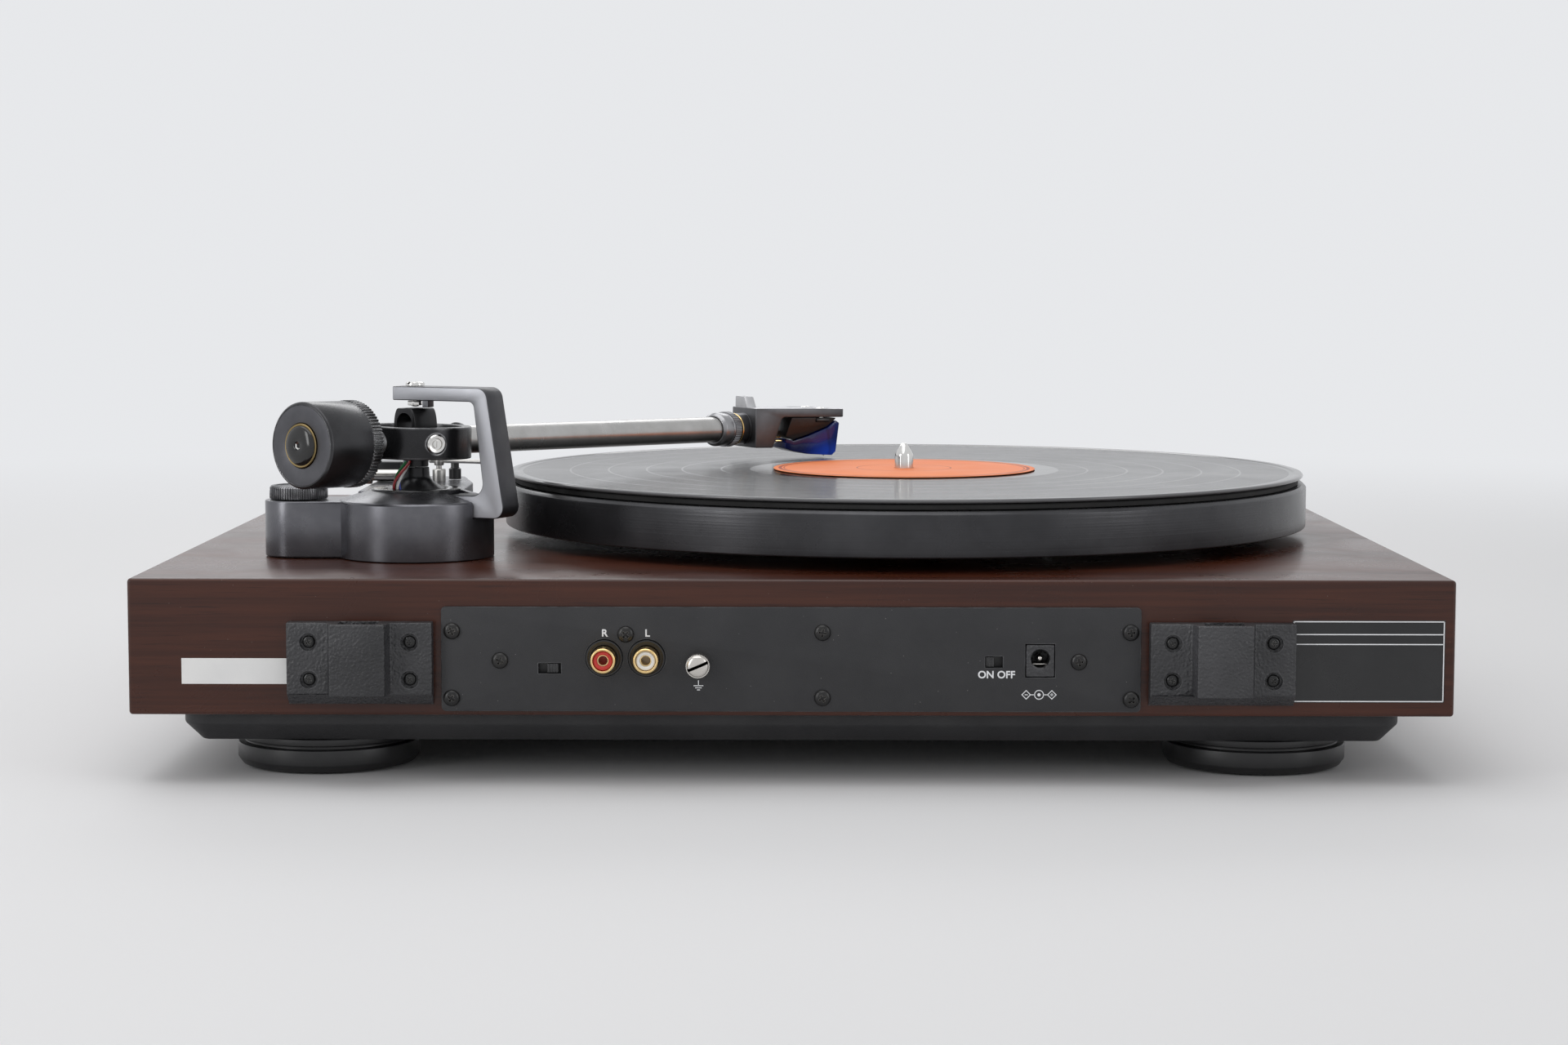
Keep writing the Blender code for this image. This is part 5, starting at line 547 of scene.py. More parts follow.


# each edge entry paints a highlight along edges, and a paintedLitFace entry paints lit faces lighter
finishes = {
    "tray": {"colour": (0.022, 0.022, 0.024), "second": (0.032, 0.032, 0.034), "rough": (0.48, 0.62),
        "grain": (0.0006, 0.00006), "pebble": 0.7},
    "foot": {"colour": (0.014, 0.014, 0.015), "second": (0.021, 0.021, 0.022), "rough": (0.28, 0.42),
        "grain": (0.0003, 0.000012), "rings": (0.0005, 0.000015)},
    "rubber": {"colour": (0.012, 0.012, 0.012), "second": (0.022, 0.021, 0.021), "rough": (0.72, 0.9),
        "grain": (0.0004, 0.00004)},
    "powder": {"colour": (0.014, 0.014, 0.016), "second": (0.020, 0.020, 0.022), "rough": (0.40, 0.50),
        "grain": (0.00038, 0.00006), "pebble": 0.5, "dust": 0.5,
        "edge": (0.7, 0.0005, (0.22, 0.22, 0.23))},
    "bracket": {"colour": (0.015, 0.015, 0.017), "second": (0.048, 0.048, 0.052), "rough": (0.32, 0.46),
        "grain": (0.00090, 0.00036), "pebble": 0.9, "edge": (0.6, 0.0006, (0.18, 0.18, 0.19))},
    "ringBlack": {"colour": (0.018, 0.018, 0.020), "second": (0.026, 0.026, 0.028), "rough": (0.20, 0.30),
        "metal": 0.55, "grain": (0.00025, 0.000008), "rings": (0.0003, 0.000012),
        "edge": (1.0, 0.0010, (0.78, 0.78, 0.80))},
    "forceRing": {"colour": (0.030, 0.030, 0.032), "second": (0.045, 0.045, 0.047), "rough": (0.22, 0.32),
        "metal": 0.75, "grain": (0.00028, 0.000012), "edge": (1.0, 0.00032, (0.80, 0.80, 0.81))},
    "dialMetal": {"colour": (0.050, 0.050, 0.054), "second": (0.075, 0.075, 0.08), "rough": (0.26, 0.38),
        "metal": 0.9, "grain": (0.00022, 0.000012), "edge": (1.0, 0.00024, (0.85, 0.85, 0.87))},
    "lidBlack": {"colour": (0.012, 0.012, 0.013), "second": (0.018, 0.018, 0.019), "rough": (0.08, 0.18),
        "metal": 0.3, "grain": (0.0003, 0.000005), "rings": (0.0004, 0.000006),
        "edge": (1.0, 0.0004, (0.50, 0.50, 0.52))},
    "satin": {"colour": (0.50, 0.49, 0.47), "second": (0.58, 0.57, 0.55), "rough": (0.34, 0.46),
        "metal": 1.0, "grain": (0.0003, 0.00001), "rings": (0.0003, 0.00001)},
    "pocketScrew": {"colour": (0.012, 0.012, 0.013), "second": (0.022, 0.022, 0.022),
        "rough": (0.10, 0.22), "metal": 0.4, "grain": (0.0003, 0.00001),
        "edge": (0.8, 0.00018, (0.40, 0.39, 0.37))},
    "thumb": {"colour": (0.016, 0.016, 0.017), "second": (0.024, 0.024, 0.025), "rough": (0.26, 0.40),
        "grain": (0.0003, 0.00001), "edge": (1.0, 0.0002, (0.24, 0.24, 0.25))},
    "black": {"colour": (0.010, 0.010, 0.011), "second": (0.016, 0.016, 0.017), "rough": (0.26, 0.40),
        "grain": (0.0003, 0.00001)},
    "gold": {"colour": (0.80, 0.56, 0.24), "second": (0.86, 0.65, 0.34), "rough": (0.16, 0.28),
        "metal": 1.0, "grain": (0.0003, 0.000004), "rings": (0.00022, 0.000006)},
    "red": {"colour": (0.50, 0.022, 0.018), "second": (0.56, 0.035, 0.028), "rough": (0.26, 0.38),
        "grain": (0.0003, 0.000006)},
    "white": {"colour": (0.78, 0.76, 0.71), "second": (0.84, 0.82, 0.78), "rough": (0.26, 0.38),
        "grain": (0.0003, 0.000006)},
    "nickel": {"colour": (0.58, 0.55, 0.51), "second": (0.68, 0.66, 0.63), "rough": (0.18, 0.32),
        "metal": 1.0, "grain": (0.0003, 0.000006), "rings": (0.0003, 0.000006)},
    "steel": {"colour": (0.48, 0.48, 0.49), "second": (0.58, 0.58, 0.58), "rough": (0.28, 0.42),
        "metal": 1.0, "grain": (0.0004, 0.00001), "rings": (0.0004, 0.000012)},
    "blackScrew": {"colour": (0.020, 0.020, 0.021), "second": (0.035, 0.034, 0.033), "rough": (0.20, 0.34),
        "metal": 0.6, "grain": (0.0003, 0.000012), "edge": (0.8, 0.0002, (0.42, 0.40, 0.37))},
    "anodised": {"colour": (0.018, 0.018, 0.020), "second": (0.026, 0.026, 0.028), "rough": (0.26, 0.36),
        "metal": 0.55, "grain": (0.00025, 0.000008), "rings": (0.0003, 0.000012),
        "edge": (0.5, 0.0004, (0.16, 0.16, 0.17))},
    "casting": {"colour": (0.120, 0.120, 0.132), "second": (0.155, 0.155, 0.168), "rough": (0.24, 0.33),
        "metal": 0.85, "grain": (0.00022, 0.000012), "edge": (0.35, 0.0004, (0.40, 0.40, 0.42))},
    # the yoke's flat faces are painted lighter, a painted highlight
    "blasted": {"colour": (0.050, 0.050, 0.055), "second": (0.068, 0.068, 0.074), "rough": (0.34, 0.46),
        "paintedLitFace": ((0.4226, 0.9063, 0), (0.38, 0.385, 0.41)), "metal": 0.8, "grain": (0.00020, 0.00003),
        "pebble": 0.7, "edge": (0.6, 0.0003, (0.62, 0.62, 0.66))},
    "titanium": {"colour": (0.40, 0.393, 0.38), "second": (0.48, 0.472, 0.46), "rough": (0.24, 0.34),
        "metal": 1.0, "grain": (0.00025, 0.000008), "rings": (0.0002, 0.000008)},
    # the headshell's top is painted lighter, a painted highlight
    "shell": {"colour": (0.085, 0.085, 0.09), "second": (0.11, 0.11, 0.117), "rough": (0.30, 0.42),
        "paintedLitFace": ((0, 0, 1), (0.50, 0.50, 0.52)), "metal": 0.75, "grain": (0.00022, 0.000012),
        "edge": (0.9, 0.0004, (0.62, 0.62, 0.64))},
    "tab": {"colour": (0.42, 0.42, 0.43), "second": (0.50, 0.50, 0.51), "rough": (0.28, 0.38),
        "metal": 0.8, "grain": (0.00022, 0.000012), "edge": (0.8, 0.0003, (0.80, 0.80, 0.81))},
    "platterSide": {"colour": (0.034, 0.034, 0.037), "second": (0.052, 0.052, 0.056),
        "rough": (0.22, 0.32), "metal": 0.6, "grain": (0.0006, 0.000008), "rings": (0.0006, 0.00003),
        "edge": (0.8, 0.0005, (0.30, 0.30, 0.31))},
    "knurl": {"colour": (0.26, 0.26, 0.27), "second": (0.34, 0.34, 0.35), "rough": (0.24, 0.34),
        "metal": 0.95, "grain": (0.00022, 0.000012), "edge": (0.9, 0.00014, (0.80, 0.80, 0.82))},
    "weight": {"colour": (0.036, 0.036, 0.038), "second": (0.050, 0.050, 0.053), "rough": (0.22, 0.32),
        "metal": 0.75, "grain": (0.00028, 0.000018), "edge": (0.9, 0.0005, (0.60, 0.60, 0.62))},
    "weightEnd": {"colour": (0.080, 0.080, 0.088), "second": (0.105, 0.105, 0.114), "rough": (0.38, 0.48),
        "metal": 0.8, "grain": (0.00028, 0.00002), "rings": (0.0003, 0.00001)},
    "glossBlack": {"colour": (0.008, 0.008, 0.008), "second": (0.013, 0.012, 0.012), "rough": (0.08, 0.20),
        "grain": (0.0004, 0.000003), "coat": 0.1},
    "brass": {"colour": (0.27, 0.20, 0.09), "second": (0.36, 0.27, 0.13), "rough": (0.26, 0.40),
        "metal": 1.0, "grain": (0.0003, 0.000006)},
    "polished": {"colour": (0.66, 0.65, 0.63), "second": (0.74, 0.73, 0.71), "rough": (0.08, 0.20),
        "metal": 1.0, "grain": (0.0003, 0.000003), "rings": (0.00025, 0.000004)},
    "bronze": {"colour": (0.46, 0.29, 0.12), "second": (0.55, 0.37, 0.18), "rough": (0.36, 0.5),
        "metal": 1.0, "grain": (0.0003, 0.00002)},
    "copper": {"colour": (0.46, 0.17, 0.07), "second": (0.58, 0.25, 0.11), "rough": (0.3, 0.45),
        "metal": 0.9, "grain": (0.0005, 0.00003)},
    "ferrite": {"colour": (0.045, 0.045, 0.048), "second": (0.07, 0.07, 0.072), "rough": (0.55, 0.7),
        "grain": (0.0003, 0.00003)},
    "paintedWhite": {"colour": (0.74, 0.75, 0.77), "second": (0.80, 0.81, 0.83), "rough": (0.45, 0.6),
        "grain": (0.0002, 0.000004)},
    "stickerWhite": {"colour": (0.72, 0.72, 0.72), "second": (0.80, 0.80, 0.79), "rough": (0.5, 0.62),
        "grain": (0.0008, 0.000006)},
    "plateBlack": {"colour": (0.010, 0.010, 0.011), "second": (0.015, 0.015, 0.016), "rough": (0.22, 0.36),
        "grain": (0.0005, 0.000006)},
}


def make(name, centre=(0, 0, 0), turn=(0, 0, 0), suffix=""):
    return finishLook(name + suffix, finishes[name], centre, turn)


veneer = {"dark": (0.017, 0.0040, 0.0021), "middle": (0.038, 0.0092, 0.0042),
          "light": (0.072, 0.0185, 0.0080), "streak": (0.088, 0.024, 0.0105), "streaks": 0.42,
          "pore": (0.012, 0.0035, 0.002), "pores": 0.6, "dust": (0.22, 0.19, 0.17), "relief": 0.00002}


def veneerLook():
    look, tree, at = newLook("mahoganyVeneer")
    grain = linkGroup(tree, "veneer", {"Vector": at})
    band = addNode(tree, "ValToRGB", {"Fac": grain["Band"]})
    ramp = band.color_ramp.elements
    ramp.new(0.50)
    for stop, place, colour in zip(ramp, (0.30, 0.50, 0.72), ("dark", "middle", "light")):
        stop.position = place
        stop.color = (*veneer[colour], 1)
    streak = maths(tree, "MULTIPLY", ranged(tree, grain["Streak"], 0.38, 0.66), veneer["streaks"])
    colour = mixColour(tree, streak, band.outputs["Color"], veneer["streak"])
    pore = maths(tree, "MULTIPLY", grain["Pore"], veneer["pores"])
    colour = mixColour(tree, pore, colour, veneer["pore"])
    marks = linkGroup(tree, "handling", {"Vector": at, "Low": 0.24, "High": 0.36, "Dust": 0.5})
    colour = mixColour(tree, marks["Speck"], colour, veneer["dust"])
    normal = bumped(tree, grain["Streak"], 0.5, veneer["relief"])
    return endLook(look, colour, marks["Roughness"], normal, Coat_Weight=0.12, Coat_Roughness=0.07,
                   Specular_IOR_Level=0.32)


vinyl = {"grooveStart": 0.0590, "rim": 0.1502, "grooveEnd": 0.1455, "pitch": 0.00075, "depth": 0.000014,
         "gaps": (0.0700, 0.0850, 0.0985, 0.1130, 0.1275), "gapWidth": 0.00035, "unevenPitch": 0.0011,
         "plain": (0.0035, 0.0035, 0.004), "grooved": (0.0085, 0.0085, 0.009),
         "groovedRough": 0.07, "paintedRimHighlight": (0.10, 0.10, 0.105), "dust": (0.30, 0.29, 0.28)}


def vinylLook():
    # grooves about the spindle, with plain bands between the tracks, and a painted highlight on the rim
    look, tree, at = newLook("groovedVinyl", platterAxis)
    radius = radiusOf(tree, at)[0]
    inside = maths(tree, "GREATER_THAN", radius, vinyl["grooveStart"])
    cut = maths(tree, "MULTIPLY", inside, maths(tree, "LESS_THAN", radius, vinyl["grooveEnd"]))
    for place in vinyl["gaps"]:
        away = maths(tree, "ABSOLUTE", maths(tree, "SUBTRACT", radius, place))
        cut = maths(tree, "MULTIPLY", cut, maths(tree, "GREATER_THAN", away, vinyl["gapWidth"]))
    wave = maths(tree, "SINE", maths(tree, "MULTIPLY", radius, 2 * math.pi / vinyl["pitch"]))
    lines = linkGroup(tree, "turning", {"Vector": at, "Pitch": vinyl["unevenPitch"]})
    height = maths(tree, "MULTIPLY", maths(tree, "ADD", wave, lines["Height"]), cut)
    marks = linkGroup(tree, "handling", {"Vector": at, "Low": 0.09, "High": 0.16, "Dust": 0.8})
    rough = maths(tree, "ADD", marks["Roughness"], maths(tree, "MULTIPLY", cut, vinyl["groovedRough"]))
    colour = mixColour(tree, cut, vinyl["plain"], vinyl["grooved"])
    # painted highlight: the rim beyond the grooves is painted light grey
    colour = mixColour(tree, maths(tree, "GREATER_THAN", radius, vinyl["rim"]), colour, vinyl["paintedRimHighlight"])
    colour = mixColour(tree, marks["Speck"], colour, vinyl["dust"])
    return endLook(look, colour, rough, bumped(tree, height, 1.0, vinyl["depth"]))


label = {"paper": (0.72, 0.17, 0.045), "second": (0.84, 0.25, 0.075), "ink": (0.30, 0.05, 0.02),
         "rings": ((0.0475, 0.0006), (0.0460, 0.0002), (0.0180, 0.0002)), "fibre": 0.0009, "relief": 0.00003}


def labelLook():
    # orange paper with plain printed rings, each a radius and half a width
    look, tree, at = newLook("orangePaper", platterAxis)
    radius = radiusOf(tree, at)[0]
    fibre = linkGroup(tree, "grain", {"Vector": at, "Size": label["fibre"], "Sharpness": 0.3})
    colour = mixColour(tree, fibre["Tone"], label["paper"], label["second"])
    for place, width in label["rings"]:
        away = maths(tree, "ABSOLUTE", maths(tree, "SUBTRACT", radius, place))
        colour = mixColour(tree, maths(tree, "LESS_THAN", away, width), colour, label["ink"])
    marks = linkGroup(tree, "handling", {"Vector": at, "Low": 0.55, "High": 0.7})
    return endLook(look, colour, marks["Roughness"], bumped(tree, fibre["Height"], 1.0, label["relief"]))


resin = {"near": 0.0240, "far": 0.0400, "low": -0.0098, "high": -0.0030, "fade": 0.8,
         "smoke": (0.006, 0.010, 0.080), "bright": (0.015, 0.07, 0.70), "second": (0.03, 0.13, 0.92),
         "clear": 0.45, "relief": 0.000006}


def resinLook():
    # smoky blue, brightest at the low corner by the stylus
    look, tree, at = newLook("blueResin", headAxis.translation, anglesOf(headAxis))
    grain = linkGroup(tree, "grain", {"Vector": at, "Size": 0.0008, "Sharpness": 0.2})
    parts = addNode(tree, "SeparateXYZ", {0: at}).outputs
    along = ranged(tree, parts[0], resin["near"], resin["far"], interpolation_type="SMOOTHSTEP")
    above = ranged(tree, parts[2], resin["low"], resin["high"], interpolation_type="SMOOTHSTEP")
    below = maths(tree, "SUBTRACT", 1.0, maths(tree, "MULTIPLY", above, resin["fade"]))
    bright = mixColour(tree, grain["Tone"], resin["bright"], resin["second"])
    colour = mixColour(tree, maths(tree, "MULTIPLY", along, below), resin["smoke"], bright)
    marks = linkGroup(tree, "handling", {"Vector": at, "Low": 0.08, "High": 0.18})
    return endLook(look, colour, marks["Roughness"], bumped(tree, grain["Height"], 0.4, resin["relief"]),
                   Transmission_Weight=resin["clear"], IOR=1.5)


board = {"track": (0.015, 0.080, 0.035, 1), "second": (0.020, 0.105, 0.045, 1),
         "line": (0.035, 0.15, 0.065, 1), "dust": (0.5, 0.48, 0.42), "scale": 160.0, "relief": 0.00003}


def boardLook():
    look, tree, at = newLook("greenBoard")
    tracks = addNode(tree, "TexBrick", {"Vector": at, "Scale": board["scale"], "Color1": board["track"],
                                        "Color2": board["second"], "Mortar": board["line"]}).outputs
    marks = linkGroup(tree, "handling", {"Vector": at, "Low": 0.3, "High": 0.45, "Dust": 0.4})
    colour = mixColour(tree, marks["Speck"], tracks["Color"], board["dust"])
    return endLook(look, colour, marks["Roughness"], bumped(tree, tracks["Fac"], 0.5, board["relief"]))


def wireLook(name, colour, lighter):
    # lighter is how much brighter the second tone is
    return finishLook(name + "Cover", {"colour": colour, "second": tuple(part * lighter for part in colour),
                                       "rough": (0.28, 0.4), "grain": (0.0004, 0.00001)})


print("materials ready")

# Plinth and tray

plinthSize = {"width": 0.435, "depth": 0.350, "height": 0.045, "edge": 0.0012, "wall": 0.020,
              "deck": 0.012, "motorHole": 0.0703, "windowWidth": 0.178, "windowHeight": 0.0182,
              "windowDrop": 0.0281, "motor": 0.060, "wires": 0.010, "knobHole": 0.0033}
traySize = {"inset": 0.014, "corner": 0.009, "slope": 0.006, "wall": 0.009, "floor": 0.003}


def makePlinth():
    size = plinthSize
    low = deck - size["height"]
    middle = rear - size["depth"] / 2
    body = block((size["width"], size["depth"], size["height"]), (0, middle, low + size["height"] / 2))
    roundEdges(body, size["edge"], 5)
    inner = size["height"] - size["deck"] + 0.002
    hollow = block((size["width"] - 2 * size["wall"], size["depth"] - 2 * size["wall"], inner),
                   (0, middle, deck - size["deck"] - inner / 2))
    motor = placed(drum(size["motor"], 0.03, 64, -0.02), atPlatter)
    recess = placed(drum(size["motorHole"], 0.006, 96, -0.0030), atPlatter)
    wires = placed(drum(size["wires"], 0.03, 32, -0.02), atPivot)
    knobHole = placed(drum(size["knobHole"], 0.03, 24, -0.02), move(*knobPlace, deck))
    window = block((size["windowWidth"], size["wall"] + 0.004, size["windowHeight"]),
                   (0, rear - size["wall"] / 2, deck - size["windowDrop"]))
    body = carved(body, [hollow, motor, recess, wires, knobHole, window])
    newPiece("veneeredPlinth", body, veneerLook(), "chassis", ("plinth",))


def makeTray():
    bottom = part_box("bottom_tray")[0].z
    size = traySize
    width = plinthSize["width"] - 2 * size["inset"]
    depth = plinthSize["depth"] - 2 * size["inset"]
    middle = rear - plinthSize["depth"] / 2
    height = deck - plinthSize["height"] - gap - bottom
    body = block((width, depth, height))
    upright = [edge for edge in body.edges if edge.verts[0].co.z * edge.verts[1].co.z < 0]
    bevelEdges(body, upright, size["corner"], 10)
    floorEdges = [edge for edge in body.edges if max(vert.co.z for vert in edge.verts) < 0
                  and len({face.normal.z < -0.5 for face in edge.link_faces}) > 1]
    bevelEdges(body, floorEdges, size["slope"], 1)
    roundEdges(body, 0.0006, 3, 25)
    placed(body, move(0, middle, bottom + height / 2))
    walls = 2 * size["wall"]
    hollow = block((width - walls, depth - walls, height), (0, middle, bottom + size["floor"] + height / 2))
    body = carved(body, [hollow])
    newPiece("mouldedTray", body, make("tray"), "chassis", ("bottom_tray",))


# Feet

footSize = {"height": 0.0122, "radius": 0.031, "topRadius": 0.0296, "groove": 0.0012, "neck": 0.0024,
            "lip": 0.0030, "lift": 0.0008, "padRadius": 0.0255, "pad": 0.0026}
footPlaces = {"front_left": (-0.1595, -0.1305), "front_right": (0.1595, -0.1305),
              "rear_left": (-0.1595, 0.1195), "rear_right": (0.1595, 0.1195)}


def makeFeet():
    size = footSize
    top = size["height"] - gap
    grooveTop = top - size["neck"]
    grooveLow = grooveTop - size["groove"]
    seat = size["padRadius"] + gap
    profile = [(0, top), (size["topRadius"], top), (size["topRadius"], grooveTop),
               (size["topRadius"] - size["groove"], grooveTop),
               (size["topRadius"] - size["groove"], grooveLow), (size["radius"], grooveLow),
               (size["radius"], size["lip"]), (size["radius"] - size["lip"] / 2, size["lift"]),
               (seat, size["lift"]), (seat, size["pad"] + gap), (0, size["pad"] + gap)]
    rim = [(0, size["pad"]), (size["padRadius"], size["pad"]), (size["padRadius"], 0.0004),
           (size["padRadius"] - 0.0004, 0), (0.0195, 0), (0.0190, 0.0007), (0.0165, 0.0007),
           (0.0160, 0), (0.0085, 0), (0.0080, 0.0007), (0, 0.0007)]
    for ending, (x, y) in footPlaces.items():
        shape = roundEdges(spun(profile, 112), 0.00028, 3)
        look = make("foot", (x, y, 0), suffix="_" + ending)
        newPiece("turnedFoot_" + ending, placed(shape, move(x, y, 0)), look, "chassis",
                 ("foot_" + ending,))
        pad = placed(spun(rim, 72), move(x, y, 0))
        newPiece("rubberPad_" + ending, pad, make("rubber", (x, y, 0), suffix="_" + ending), "chassis",
                 ("foot_pad_" + ending,))


makePlinth()
makeTray()
makeFeet()
print("plinth, tray and feet made")

# Rear panel and its screws

panelSize = {"width": 0.229, "height": 0.0345, "thickness": 0.0012, "drop": 0.0261, "corner": 0.0015}
rcaPlaces = {"right": 0.06115, "left": 0.04725}
rcaSize = {"drop": 0.0257, "boss": 0.00595, "bossProud": 0.0010, "barrel": 0.0041, "wall": 0.0008,
           "proud": 0.0072, "seat": 0.0035, "recess": 0.0006, "hole": 0.0019}
switches = {"phono_line": {"x": 0.0790, "drop": 0.02915, "window": (0.0075, 0.0035), "body": "phono_slide"},
            "auto_stop": {"x": -0.0664, "drop": 0.02685, "window": (0.0058, 0.0038), "body": "stop_slide"}}
dcSize = {"x": -0.0815, "drop": 0.0264, "width": 0.0092, "height": 0.0105, "proud": 0.0006,
          "hole": 0.0031, "rise": 0.0007, "depth": 0.0095, "pin": 0.0010}
groundSize = {"x": 0.03035, "drop": 0.02756, "washer": 0.0037, "thickness": 0.0006, "bore": 0.0018,
              "thumb": 0.00395, "length": 0.0066, "ridges": 44, "slot": (0.0010, 0.0100, 0.0024)}


def makePanel():
    size = panelSize
    across = size["width"] / 2
    up = size["height"] / 2
    corner = size["corner"]
    body = plate([(-across, -up, corner), (across, -up, corner), (across, up, corner),
                  (-across, up, corner)], size["thickness"], 6)
    roundEdges(body, 0.00022, 2, 60)
    placed(body, onPanel(0, size["drop"], panelFace - size["thickness"] / 2) @ turnX(90))
    tools = []
    for x in rcaPlaces.values():
        tools.append(placed(drum(rcaSize["boss"] + gap, 0.006, 64, -0.003),
                            onPanel(x, rcaSize["drop"]) @ outwards))
    tools.append(placed(drum(0.0021, 0.006, 32, -0.003),
                        onPanel(groundSize["x"], groundSize["drop"]) @ outwards))
    for switch in switches.values():
        width, height = switch["window"]
        tools.append(placed(block((width, 0.006, height)), onPanel(switch["x"], switch["drop"])))
    tools.append(placed(block((dcSize["width"] + 2 * gap, 0.006, dcSize["height"] + 2 * gap)),
                        onPanel(dcSize["x"], dcSize["drop"])))
    newPiece("connectorPanel", carved(body, tools), make("powder"), "chassis", ("rear_panel",))


screwSize = {"panelHead": 0.00275, "panelDome": 0.0014, "bracketHead": 0.0021, "bracketDome": 0.0009}
panelScrews = ((0.1110, 0.0169), (0.1112, 0.0390), (-0.1111, 0.0171), (-0.1114, 0.0392),
               (-0.0103, 0.01725), (-0.0103, 0.0388), (0.0953, 0.0266), (-0.0942, 0.0268),
               (0.0541, 0.0179))


def screwHead(radius, dome, turn=0):
    # a pan head with a cross recess
    profile = [(0, dome), (radius * 0.35, dome * 0.98), (radius * 0.62, dome * 0.86),
               (radius * 0.84, dome * 0.62), (radius * 0.96, dome * 0.34), (radius, 0.0001), (radius, 0),
               (0, 0)]
    head = spun(profile, 40)
    across = radius * 1.16
    slotWidth = radius * 0.30
    tools = []
    for angle in (0, 90):
        wedge = block((across, slotWidth, dome * 1.5), (0, 0, dome * 0.95))
        low = [vert for vert in wedge.verts if vert.co.z < dome]
        bmesh.ops.scale(wedge, vec=(0.55, 0.8, 1), verts=low)
        tools.append(placed(wedge, turnZ(angle + turn)))
    return carved(head, tools)


def makePanelScrews():
    heads = []
    for index, (x, drop) in enumerate(panelScrews):
        heads.append(placed(screwHead(screwSize["panelHead"], screwSize["panelDome"], 23 + index * 37),
                            onPanel(x, drop) @ outwards))
    newPiece("panelScrews", gathered(*heads), make("blackScrew"), "chassis")


# Sockets and switches

def makeRcaSockets():
    size = rcaSize
    face = panelFace + size["bossProud"]
    low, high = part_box("rca_jack_block")
    parts = [block((0.030, 0.011, high.z - low.z), (0.0542, rear - 0.0055, (low.z + high.z) / 2))]
    for x in rcaPlaces.values():
        boss = [(0, -0.006), (size["boss"], -0.006), (size["boss"], size["bossProud"]),
                (size["boss"] - 0.0006, size["bossProud"]),
                (size["boss"] - 0.0009, size["bossProud"] - 0.0003),
                (size["barrel"] + gap, size["bossProud"] - 0.0003), (size["barrel"] + gap, -0.0035),
                (0, -0.0035)]
        shape = roundEdges(spun(boss, 80), 0.00012, 2)
        parts.append(placed(shape, onPanel(x, size["drop"]) @ outwards))
    newPiece("socketBlock", gathered(*parts), make("black", suffix="Socket"), "chassis",
             ("rca_jack_block",))
    seat = face - size["seat"]
    length = size["seat"] + size["proud"]
    inner = size["barrel"] - size["wall"]
    for side, x in rcaPlaces.items():
        lip = size["barrel"]
        ring = [(inner, 0.0003), (lip, 0.0003), (lip, length - 0.0030), (lip - 0.00012, length - 0.0028),
                (lip - 0.00012, length - 0.0025), (lip, length - 0.0023), (lip, length - 0.0003),
                (lip - 0.0003, length), (inner + 0.0001, length), (inner, length - 0.0002)]
        at = move(x, seat, deck - size["drop"]) @ outwards
        barrel = placed(roundEdges(spun(ring, 72), 0.00008, 2, 40), at)
        look = make("gold", (x, seat, deck - size["drop"]), (-90, 0, 0), "_" + side)
        newPiece("goldBarrel_" + side, barrel, look, "chassis", ("rca_barrel_" + side,))
        core = inner - gap / 2
        end = length - size["recess"]
        hole = size["hole"]
        plug = [(0, end - 0.0075), (hole, end - 0.0075), (hole, end - 0.0003), (hole + 0.0003, end),
                (core - 0.0003, end), (core, end - 0.0003), (core, 0.0003), (0, 0.0003)]
        insert = placed(spun(plug, 64), at)
        colour = "red" if side == "right" else "white"
        newPiece("colouredInsert_" + side, insert, make(colour, suffix="Insert"), "chassis",
                 ("rca_insert_" + side,))
        sleeve = [(hole - 0.00035, end - 0.007), (hole - 0.00005, end - 0.007),
                  (hole - 0.00005, end - 0.0012), (hole - 0.00035, end - 0.0012)]
        newPiece("centreContact_" + side, placed(spun(sleeve, 40), at),
                 make("gold", suffix="Contact_" + side), "chassis")


def makeDcSocket():
    size = dcSize
    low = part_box("dc_jack")[0]
    face = panelFace + size["proud"]
    depth = face - low.y
    body = block((size["width"], depth, size["height"]),
                 (size["x"], face - depth / 2, deck - size["drop"]))
    roundEdges(body, 0.00045, 3)
    at = move(size["x"], face, deck - size["drop"] + size["rise"]) @ outwards
    hole = placed(drum(size["hole"], size["depth"] + 0.002, 64, -size["depth"]), at)
    lead = placed(drum(size["hole"], 0.0006, 64, -0.0003, size["hole"] + 0.0006), at)
    body = carved(body, [hole, lead])
    below = deck - size["drop"] - size["height"] / 2
    stand = block((size["width"], 0.010, below - low.z + 0.001),
                  (size["x"], rear - 0.0062, (below + low.z) / 2))
    newPiece("powerSocket", gathered(body, stand), make("bracket", suffix="Power"), "chassis",
             ("dc_jack",))
    tip = [(0, -0.0012), (0.00045, -0.0013), (0.00082, -0.0016), (size["pin"], -0.0021),
           (size["pin"], -size["depth"]), (0, -size["depth"])]
    newPiece("powerPin", placed(spun(tip, 32), at), make("nickel", suffix="Pin"), "chassis")
    spring = placed(block((0.0046, 0.0004, 0.006), (0, 0.00215, -0.0062)), at)
    newPiece("powerSpring", roundEdges(spring, 0.0001, 2), make("nickel", suffix="Spring"), "chassis")


def makeSwitches():
    for name, switch in switches.items():
        low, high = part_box(name + "_slider")
        width = high.x - low.x
        height = high.z - low.z
        length = high.y - low.y
        middle = (low + high) / 2
        ribs = [block((width, length - 0.0003, height), (0, -0.00015, 0))]
        for step in (-1.5, -0.5, 0.5, 1.5):
            ribs.append(block((width / 8, 0.0006, height), (step * width / 4.2, length / 2 - 0.0003, 0)))
        thumb = gathered(*[roundEdges(part, 0.00006, 2) for part in ribs])
        newPiece(name + "Thumb", placed(thumb, Matrix.Translation(middle)),
                 make("thumb", suffix="_" + name), switch["body"], (name + "_slider",))
        dress(name + "_switch", make("black", suffix="Housing_" + name))


